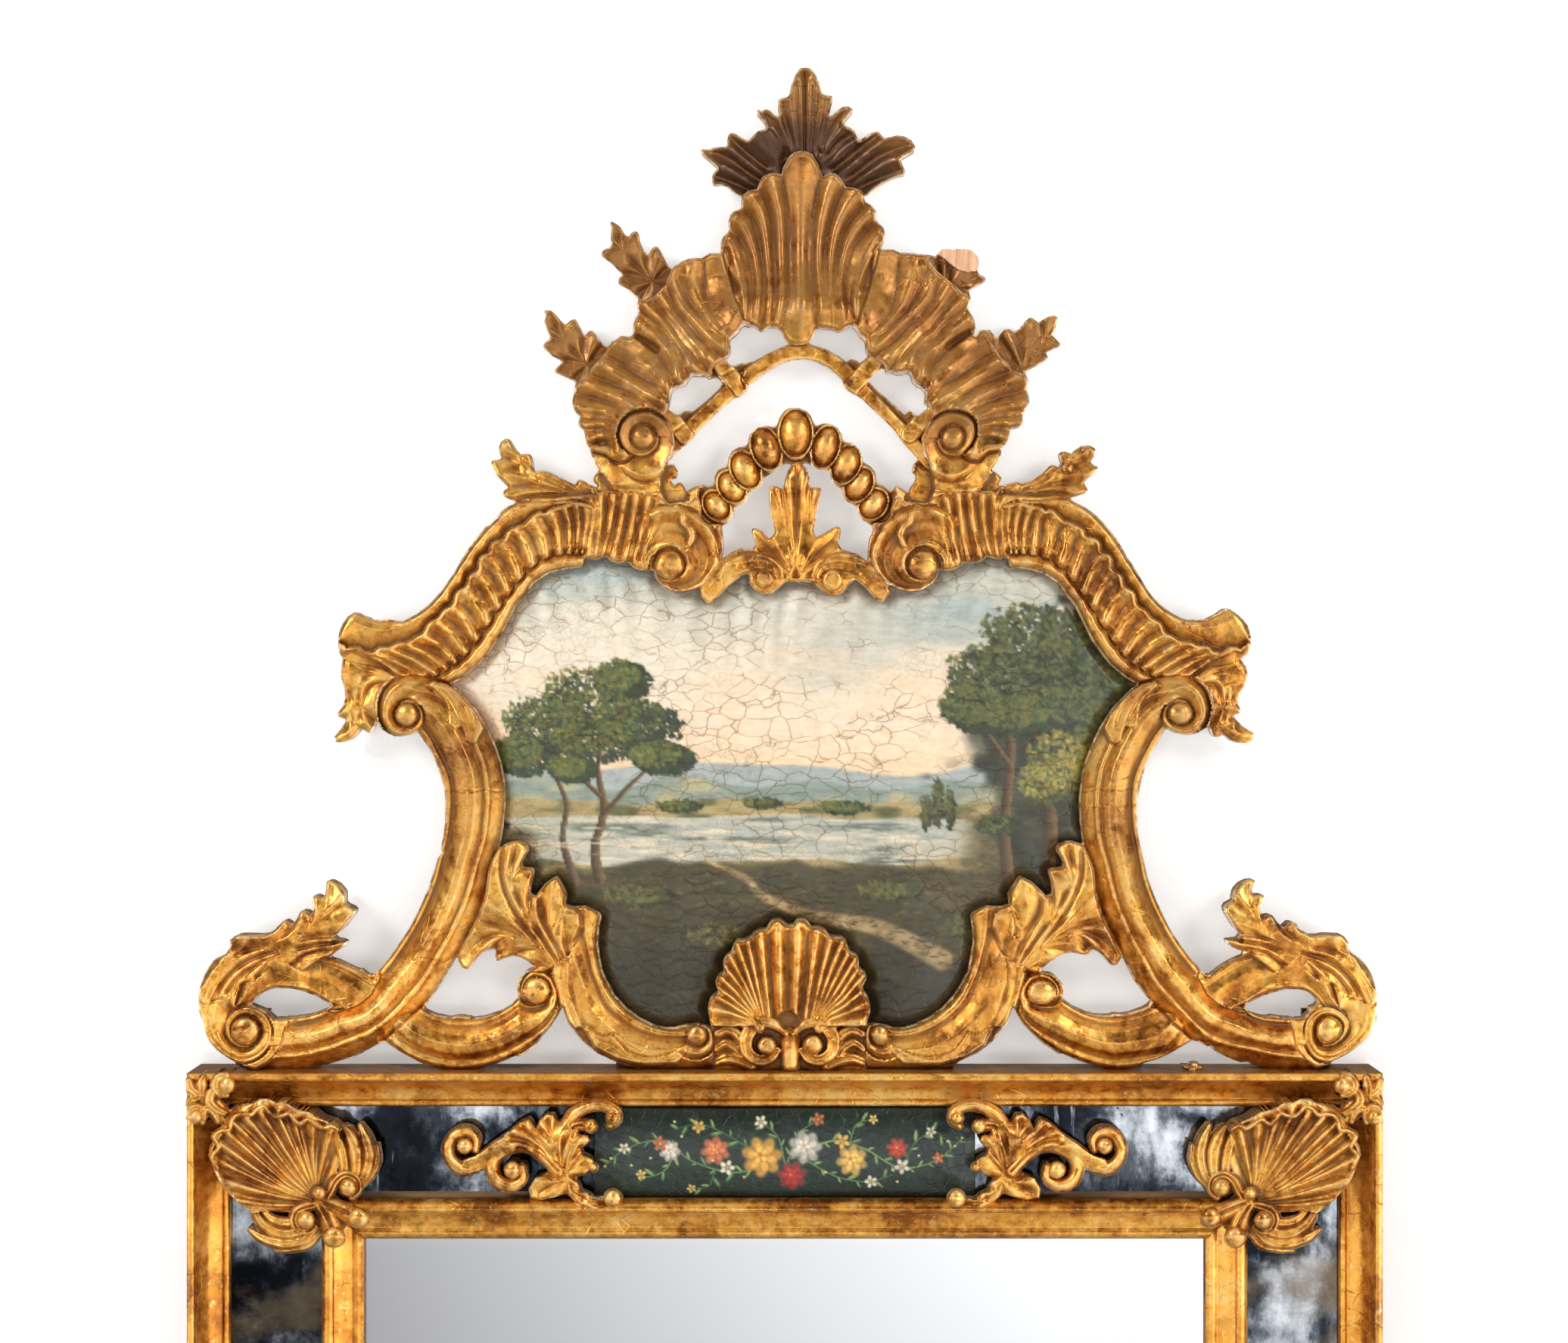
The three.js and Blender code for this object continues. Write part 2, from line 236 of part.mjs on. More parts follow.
  c_scroll_left: [16, 64, [[577.6,1307.6],[558,1333],[511,1375],[435.8,1412.8],[324,1413],[319.4,1411.6],[319,1407],[334.6,1402.6],[356.1,1385.1],[362.7,1373.7],[364.8,1360.9],[363,1352],[376.5,1345.5],[413.1,1340.1],[439,1328],[465.4,1321.4],[482,1309],[483,1308],[484,1307],[491,1292],[520.8,1256.8],[540.5,1226.5],[557,1194],[578.4,1134.4],[584.2,1126.6],[582.4,1120.2],[588,1084],[587.8,1052.2],[583,1027],[575,1005],[560,978],[550,966.7],[533.7,972.7],[519.9,972.1],[504.8,963.2],[498,952],[495.2,929.2],[502,906],[503,905],[526,893],[540,891],[563.6,891.4],[593,901],[594,902],[609.7,915.3],[628.6,936.4],[652.7,979.3],[662.3,1006.7],[668,1060],[659,1120],[645.7,1147.7],[640.5,1184.5],[632.6,1206.6],[604,1264]]],
  c_scroll_right: [16, 64, [[1431,1115],[1426,1056],[1433.5,1007.5],[1453.7,960.7],[1468.6,937.6],[1505,902],[1506,901],[1516.2,896.2],[1541,891],[1571.7,892.3],[1587.6,899.4],[1598.1,906.9],[1602.7,920.3],[1603.7,932.7],[1598,958],[1582.3,968.3],[1571.8,970.8],[1557.7,969.3],[1543.7,962.4],[1539.4,964.4],[1520.3,997.3],[1511.9,1017.9],[1503.3,1056.3],[1502.1,1074],[1504.3,1100.7],[1511.4,1137.6],[1528.7,1191.3],[1558.4,1246.6],[1595,1292],[1602.9,1308.1],[1615.4,1318.6],[1642,1327],[1643,1328],[1658.7,1340.3],[1673.1,1343.8],[1681.9,1342.2],[1706.7,1345.3],[1721,1352],[1719.2,1361.9],[1723,1380],[1733.4,1392.6],[1748.2,1402.8],[1756,1405],[1757.3,1410.4],[1752.9,1412.9],[1658.2,1412.8],[1651.4,1404.6],[1631.1,1400.9],[1606.1,1388.9],[1600.2,1382.2],[1571,1374],[1529.7,1335.3],[1520,1332],[1520.9,1323.1],[1499.4,1295.6],[1482,1263],[1458.9,1213.1],[1449.3,1183.7],[1445.3,1147.7]]],
  fluted_scroll_left: [16, 60, [[593,901],[563.6,891.4],[540,891],[526,893],[503,905],[502,906],[495.2,929.2],[498,952],[488.5,967.3],[478.3,963.7],[460.3,978.3],[447.1,980.9],[441.9,977.1],[442,972.9],[456.5,952.9],[446.5,943.8],[453.6,931.6],[456,921],[450.4,890.8],[452.7,870.1],[447.1,855.9],[447.3,840.3],[451,827],[458.3,815.3],[469.2,808.5],[499.3,819.3],[533.3,820.2],[552.1,810.1],[579.7,784.7],[636.3,702.3],[655.7,685.7],[664.3,673.3],[680.2,663.6],[666,655],[665.6,649.6],[670.9,642.7],[655.9,628.1],[649.5,613.6],[651.4,608.4],[662.2,604.6],[659.1,592.1],[662.8,582.8],[671.4,579.6],[685.9,598.1],[700.2,600.8],[707.6,622.3],[724.5,622.5],[758.3,639.3],[767.5,633.5],[788,646],[789,648],[790,649],[793,650],[840,648],[841,648],[850.3,651.7],[864.3,652.7],[884.3,664.6],[902,663],[903,663],[910,663],[911,663],[920,657],[924,659],[929,687],[930,688],[931,689],[938.5,692.5],[954,694],[956,721],[954,739],[927,774],[926,775],[902.8,780.8],[886.3,779.7],[869.8,768.2],[862.5,753.5],[846.5,753.5],[830.5,743.5],[814.5,743.5],[800.8,735.5],[786.9,738.9],[773.5,736.9],[767.4,749.4],[726.5,756.5],[705,770],[680.4,802.4],[657.6,845.6],[639.7,869.7],[613.1,894.1],[600.4,901.4],[594,902]]],
  fluted_scroll_right: [16, 60, [[1342.4,636.5],[1351.9,637.8],[1363.6,634.6],[1388.6,614.6],[1399.2,616.8],[1402.6,609.9],[1400.4,600.3],[1403.6,596.6],[1416.5,598.3],[1431.2,588.2],[1439.6,588.4],[1446.2,591.8],[1446.7,599.7],[1441.8,610.6],[1449.6,616.4],[1450.3,620.4],[1433,636.9],[1436.7,645.3],[1435.6,650.6],[1417.6,656.6],[1415.8,659.6],[1442.1,675.9],[1460.7,693.3],[1475.6,711.4],[1524.3,789.7],[1545.2,807.8],[1567.5,818.2],[1591.4,818.4],[1618.5,803.7],[1624.7,804.3],[1638.7,814.3],[1649.8,828.2],[1652.8,841.1],[1651.7,857.7],[1648.7,864.7],[1640,871.8],[1646.4,880.6],[1648.7,893.7],[1636.3,923.3],[1639.3,940.5],[1630.7,946],[1640.3,957.7],[1655.6,967.4],[1655.3,976.5],[1650.5,980.5],[1640.1,981.9],[1628.1,978.9],[1617.5,970.7],[1606.4,973.6],[1602.5,970.5],[1598,958],[1603.7,932.7],[1602.7,920.3],[1598.1,906.9],[1587.6,899.4],[1571.7,892.3],[1541,891],[1516.2,896.2],[1506,901],[1505,902],[1497.9,901.1],[1483.4,891.6],[1458.9,867.1],[1443,845],[1421.6,801.4],[1399,770],[1377.5,756.5],[1337.6,749.4],[1330.8,736.8],[1318.1,738.9],[1304.2,735.5],[1290.5,743.5],[1273.6,743.6],[1267.5,749.5],[1257.5,753.5],[1241.5,753.5],[1233.7,768.7],[1216.7,779.7],[1199.3,780.7],[1174,773],[1159.4,757.6],[1152,742],[1151,741],[1147.1,728.1],[1154,692],[1155,691],[1172,688],[1173,687],[1174,686],[1183,656],[1186,655],[1196,663],[1198,663],[1204,663],[1205,663],[1222.7,664.6],[1231.5,657.5],[1243.7,652.7],[1257.7,651.7],[1267,648],[1268,648],[1315,650],[1317,650],[1318,649],[1319,648],[1322,644]]],
  foot_scroll_left: [16, 58, [[572.9,1340.1],[594.1,1344.8],[609,1343],[624.7,1345.5],[657.3,1338.3],[673.6,1329.6],[681.7,1321.7],[685.1,1316.7],[683,1304],[685.5,1294.5],[694.9,1283.9],[707,1278],[721.4,1279.6],[733.6,1290.4],[740.9,1306.1],[742,1329],[731.2,1351.2],[709.7,1378.7],[690,1394],[670.9,1403.9],[661.8,1412.8],[568.4,1412.6],[514.1,1379.9],[511,1375],[558,1333]]],
  foot_scroll_right: [16, 58, [[1529.7,1335.3],[1571,1374],[1568.5,1378.5],[1544.7,1392.7],[1510.9,1404.9],[1505.6,1412.6],[1436.4,1412.6],[1431.5,1405.5],[1399.7,1393.3],[1370.8,1372.2],[1350.1,1350.9],[1344.5,1340.5],[1342,1326],[1344.2,1307.2],[1350.4,1294.4],[1359,1285],[1373,1279],[1377.5,1284.5],[1391.9,1288.1],[1401.1,1295.9],[1405.7,1306.3],[1405.9,1321.1],[1418.7,1330.3],[1437.6,1338.4],[1457.1,1341.9],[1481.9,1340.9],[1520,1332]]],
  outer_volute_left: [16, 62, [[483,1308],[482,1309],[465.4,1321.4],[439,1328],[417.3,1315.7],[395,1308],[367,1305.2],[356.5,1307.5],[342.9,1314.9],[331.9,1326.7],[351.1,1337.9],[363,1352],[364.8,1360.9],[362.7,1373.7],[356.1,1385.1],[334.6,1402.6],[319,1407],[312.9,1407],[297,1396],[278.4,1378.6],[269.7,1360.3],[262.1,1328.9],[262.4,1311.4],[270.4,1287.4],[282.3,1269.3],[299.6,1258.6],[302.9,1252.9],[303.6,1242.6],[308.6,1237.6],[315.1,1235.1],[351.5,1234.5],[364.1,1227.1],[374.6,1216.7],[387.7,1219.6],[398.5,1203.7],[411.2,1206.9],[413.8,1202.8],[415,1185],[427.6,1184.6],[431.6,1165.6],[438.3,1163.7],[445.7,1167.3],[452.1,1174.9],[456.1,1192.9],[468.6,1204],[451.7,1227.7],[440.2,1236.8],[441.6,1239.4],[454,1242],[455.7,1245.9],[451.6,1252.6],[437.2,1264.2],[478.9,1281.1],[491,1292],[484,1307]]],
  outer_volute_right: [16, 62, [[1756,1405],[1748.2,1402.8],[1733.4,1392.6],[1723,1380],[1719.2,1361.9],[1721,1352],[1733.4,1332.3],[1742.5,1324.8],[1735.7,1315.3],[1723.5,1308.5],[1692.4,1308.4],[1667.4,1316.4],[1643,1328],[1642,1327],[1615.4,1318.6],[1602.9,1308.1],[1595,1292],[1614.4,1275.4],[1645.8,1259.2],[1644.4,1256.6],[1629.1,1251.9],[1623,1246.1],[1624.9,1240.9],[1637.5,1238.5],[1641,1235.2],[1621.8,1208.2],[1619.3,1200],[1621.8,1194.8],[1630,1189],[1631.9,1178.9],[1636.9,1170.9],[1647.9,1162.9],[1654.8,1162.2],[1658.3,1164.5],[1655.4,1180.6],[1669.3,1184.6],[1666.4,1198.9],[1669.9,1211],[1681.1,1209.9],[1695.3,1224.3],[1705.5,1218.5],[1710.8,1219.2],[1719.4,1229.6],[1734.3,1236.7],[1775.5,1236.5],[1782.2,1245.8],[1783.3,1255.7],[1803.7,1273.3],[1812,1286],[1819.6,1312.4],[1820.8,1331.8],[1817.9,1349.9],[1807.2,1371.2],[1787.4,1388.4]]],
  u_scroll_left: [16, 62, [[604,1264],[632.6,1206.6],[640.5,1184.5],[645.7,1147.7],[659,1120],[669.8,1113.8],[681.1,1111.2],[696,1117],[697.5,1124.5],[689.4,1141.8],[691.5,1145.5],[704.4,1150.6],[701,1176],[703.4,1181.6],[708.3,1182.9],[721.9,1165.9],[735.5,1158.7],[748.2,1179.7],[747.4,1195.6],[754.1,1197.9],[773.5,1197.5],[793.6,1208.3],[790,1244],[795.2,1280.8],[812.1,1314.9],[828.3,1332.7],[846.3,1345.7],[876.5,1357.5],[890.8,1357.8],[921,1353],[940,1360],[942.9,1371.1],[943,1411],[936,1413],[825.6,1412.4],[817.1,1404.9],[789.4,1391.6],[770.7,1376.3],[750.4,1351.6],[742,1329],[740.9,1306.1],[733.6,1290.4],[721.4,1279.6],[707,1278],[696,1269],[681.7,1263.3],[656.6,1269.3],[654.2,1265.8],[654.6,1256.3],[652.1,1253.8],[637.9,1258.9],[617.7,1280.6],[609.3,1275.7]]],
  u_scroll_right: [16, 62, [[1431,1115],[1445.3,1147.7],[1449.3,1183.7],[1458.9,1213.1],[1482,1263],[1476.2,1273.2],[1470.2,1275.8],[1447.3,1255.8],[1433.9,1261.9],[1414.2,1258.4],[1399.7,1263.7],[1378.9,1277.9],[1373,1279],[1359,1285],[1350.4,1294.4],[1344.2,1307.2],[1342,1326],[1330.6,1351.6],[1313.1,1374.1],[1292.1,1391.1],[1266.9,1402.9],[1264.4,1412.4],[1151,1413],[1144,1411],[1146,1354],[1195.5,1357.5],[1224.3,1346.3],[1244.7,1332.7],[1261.8,1313.8],[1279.8,1280.8],[1285.9,1244.9],[1283.8,1207.8],[1303.5,1197.5],[1324.9,1197.9],[1333.6,1195.6],[1332.8,1179.7],[1348.5,1158.7],[1365.1,1165.9],[1381.8,1183],[1389.2,1181.2],[1390.8,1174.2],[1386.6,1150.6],[1390.4,1147.4],[1403.5,1145.5],[1405.6,1141.8],[1397.5,1125.5],[1398.5,1117.5],[1412.1,1111.2]]],
  bottom_shell: [16, 78, [[943,1411],[942.9,1371.1],[940,1360],[935.4,1329.4],[938.3,1320.3],[949,1312.4],[945.6,1296.4],[956.3,1285.4],[957.1,1267.1],[965.4,1259.4],[973.3,1244.3],[986,1242],[999.3,1231.3],[1012.2,1228.2],[1019.4,1217.4],[1027.1,1215.2],[1044,1222.9],[1054.2,1216.2],[1062.5,1215.5],[1072.7,1225.3],[1089.6,1229.4],[1097.2,1237.8],[1111.6,1239.4],[1117.6,1243.4],[1123.1,1257.9],[1133.9,1265.1],[1135.1,1277.9],[1144.6,1289.4],[1140.1,1306],[1149.8,1327.2],[1146,1354],[1144,1411],[1137,1413],[952,1413]]],
};
// the canvas panel and its backing share one outline, given as radii around a centre
const C_CENTRE = [1043, 970];
const C_RADII = [416.4, 442.7, 458.8, 433.1, 424.6, 420.1, 413.8, 392.5, 376.2, 332.6, 260, 247.3, 222.9, 227.1, 215, 201.9, 208.1, 210.7, 209.4, 200.4, 197.5, 227, 219.6, 214.3, 229.2, 242.4, 293.9, 343, 364, 387, 399.3, 406.3, 411.9, 420.3, 447.2, 428.8, 405, 392.3, 391.5, 400.4, 416.1, 398.3, 403.3, 371.9, 368.1, 368.6, 399, 417.4, 429.1, 431.2, 419.9, 339.8, 278.1, 261.9, 261.2, 259.3, 274.2, 307.6, 421.2, 423.9, 418.4, 406.9, 385.8, 353.5, 364.9, 365.8, 410.7, 409.2, 420.7, 408.4, 399.9, 402.2];
const canvasRing = (k, d) => C_RADII.map((r, i) => {
  const a = (i / C_RADII.length) * Math.PI * 2;
  return mm([C_CENTRE[0] + Math.cos(a) * (r * k - d / K), C_CENTRE[1] - Math.sin(a) * (r * k - d / K)]);
});
// canvas: a stretched skin over a domed panel; grow widens it and lifts its front
function canvasDome(grow, back) {
  const rings = [[1, CANVAS_T[1]], [0.9, CANVAS_T[1] + 5], [0.68, CANVAS_T[1] + 11.2], [0.36, CANVAS_T[1] + 13.3]];
  const n = C_RADII.length, v = [], idx = [];
  const put = ([x, y], z) => (v.push(x, y, z), v.length / 3 - 1);
  const loops = rings.map(([k, t]) => canvasRing(k, -grow).map((p) => put(p, t + grow)));
  const t0 = CANVAS_T[0] - back;
  const rear = canvasRing(1, -grow).map((p) => put(p, t0));
  const top = put(mm(C_CENTRE), CANVAS_T[2] + grow), bot = put(mm(C_CENTRE), t0);
  for (let i = 0; i < n; i++) {
    const j = (i + 1) % n;
    for (let r = 0; r + 1 < loops.length; r++) idx.push(loops[r][i], loops[r][j], loops[r + 1][j], loops[r][i], loops[r + 1][j], loops[r + 1][i]);
    idx.push(loops.at(-1)[i], loops.at(-1)[j], top);
    idx.push(rear[i], rear[j], loops[0][j], rear[i], loops[0][j], loops[0][i]);
    idx.push(rear[j], rear[i], bot);
  }
  const g = new THREE.BufferGeometry();
  g.setAttribute("position", new THREE.BufferAttribute(new Float32Array(v), 3));
  g.setIndex(idx);
  if (toManifold(g).volume() < 0) g.setIndex(idx.map((_, i) => idx[3 * Math.floor(i / 3) + [0, 2, 1][i % 3]]));
  g.computeVertexNormals();
  return g;
}
const canvasCut = toManifold(canvasDome(0.4, 10));
for (const [name, [t0, t1, outline, hole]] of Object.entries(CARVED)) {
  let s = toManifold(prism(inset(outline.map(mm), GAP / 2 + 0.05), t0, t1));
  if (hole) s = s.subtract(toManifold(prism(inset(hole.map(mm), -0.2), t0 - 1, t1 + 1)));
  add(name, toGeometry(largest(s.subtract(canvasCut))), GILT);
}
add("crest_canvas", canvasDome(0, 0), CANVAS);
{
  const battens = [-1, 1].map((s) => toManifold(box(s * BATTEN_X - BATTEN_HALF, s * BATTEN_X + BATTEN_HALF, -70, 560, 3, 15.4)));
  const board = toManifold(prism(canvasRing(1, 0), 15.4, 20.6));
  add("crest_backing_board", toGeometry(largest(board.add(battens[0].add(battens[1]).translate([0, 0, 0.01])))), PINE);
}
STRAP_X.forEach((x, i) => add("crest_strap_" + (i ? "right" : "left"), box(x - STRAP_HALF[i], x + STRAP_HALF[i], -40, 122, 9.6, 15.6), IRON));

// ---------------------------------------------------------------- hanging hardware
// strap plate with a rolled eye, and a D ring that turns in it; the ring hangs down at rest
function circle(r, n = 12) { return Array.from({ length: n }, (_, i) => [r * Math.cos((2 * Math.PI * i) / n), r * Math.sin((2 * Math.PI * i) / n)]); }
for (const s of [-1, 1]) {
  const side = s < 0 ? "left" : "right", cx = s * RING_X;
  // eye: a tube along x round the ring's bar
  const eyeShape = new THREE.Shape(circle(3.4, 16).map(([a, b]) => new THREE.Vector2(a, b)));
  eyeShape.holes.push(new THREE.Path(circle(2.35, 16).reverse().map(([a, b]) => new THREE.Vector2(a, b))));
  const eye = new THREE.ExtrudeGeometry(eyeShape, { depth: 20, bevelEnabled: false, steps: 1 });
  eye.applyMatrix4(new THREE.Matrix4().set(0, 0, 1, cx - 10, 1, 0, 0, RING_Z, 0, 1, 0, RING_T, 0, 0, 0, 1));
  const plate = box(cx - 10, cx + 10, RING_Z - 72, RING_Z - 2.2, 6.2, 7.7);
  add("hanger_strap_" + side, toGeometry(toManifold(eye).add(toManifold(plate)).add(toManifold(box(cx - 10, cx + 10, RING_Z - 4, RING_Z + 0.4, 6.4, 7.1)))), IRON);
  // ring: straight bar and a bow
  const rad = RING_WIRE / 2, hw = RING_W / 2 - rad, dr = RING_DROP - rad;
  const pts = [[hw, 0.2], [hw, -8], [hw * 0.93, -15], [hw * 0.74, -23], [hw * 0.42, -dr + 2.2], [0, -dr], [-hw * 0.42, -dr + 2.2], [-hw * 0.74, -23], [-hw * 0.93, -15], [-hw, -8], [-hw, 0.2]];
  const path = new THREE.CatmullRomCurve3(pts.map(([a, b]) => new THREE.Vector3(cx + a, RING_Z + b, RING_T)));
  const sec = new THREE.Shape(circle(rad, 8).map(([a, b]) => new THREE.Vector2(a, b)));
  const bow = new THREE.ExtrudeGeometry(sec, { steps: 16, bevelEnabled: false, extrudePath: path });
  const bar = new THREE.CylinderGeometry(rad, rad, 2 * hw + RING_WIRE * 0.9, 12);
  bar.rotateZ(Math.PI / 2);
  bar.translate(cx, RING_Z, RING_T);
  add("hanger_ring_" + side, toGeometry(toManifold(bow).add(toManifold(bar))), IRON);
}

export default root;
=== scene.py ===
"""Looks of the carved and gilded wall mirror: fine relief for every carved piece, swept mouldings, painted surfaces, glass and old wood.

All lengths in the carving part are drawing units of 0.8 mm, seen from the front; place() turns them into millimetres.
"""
import math

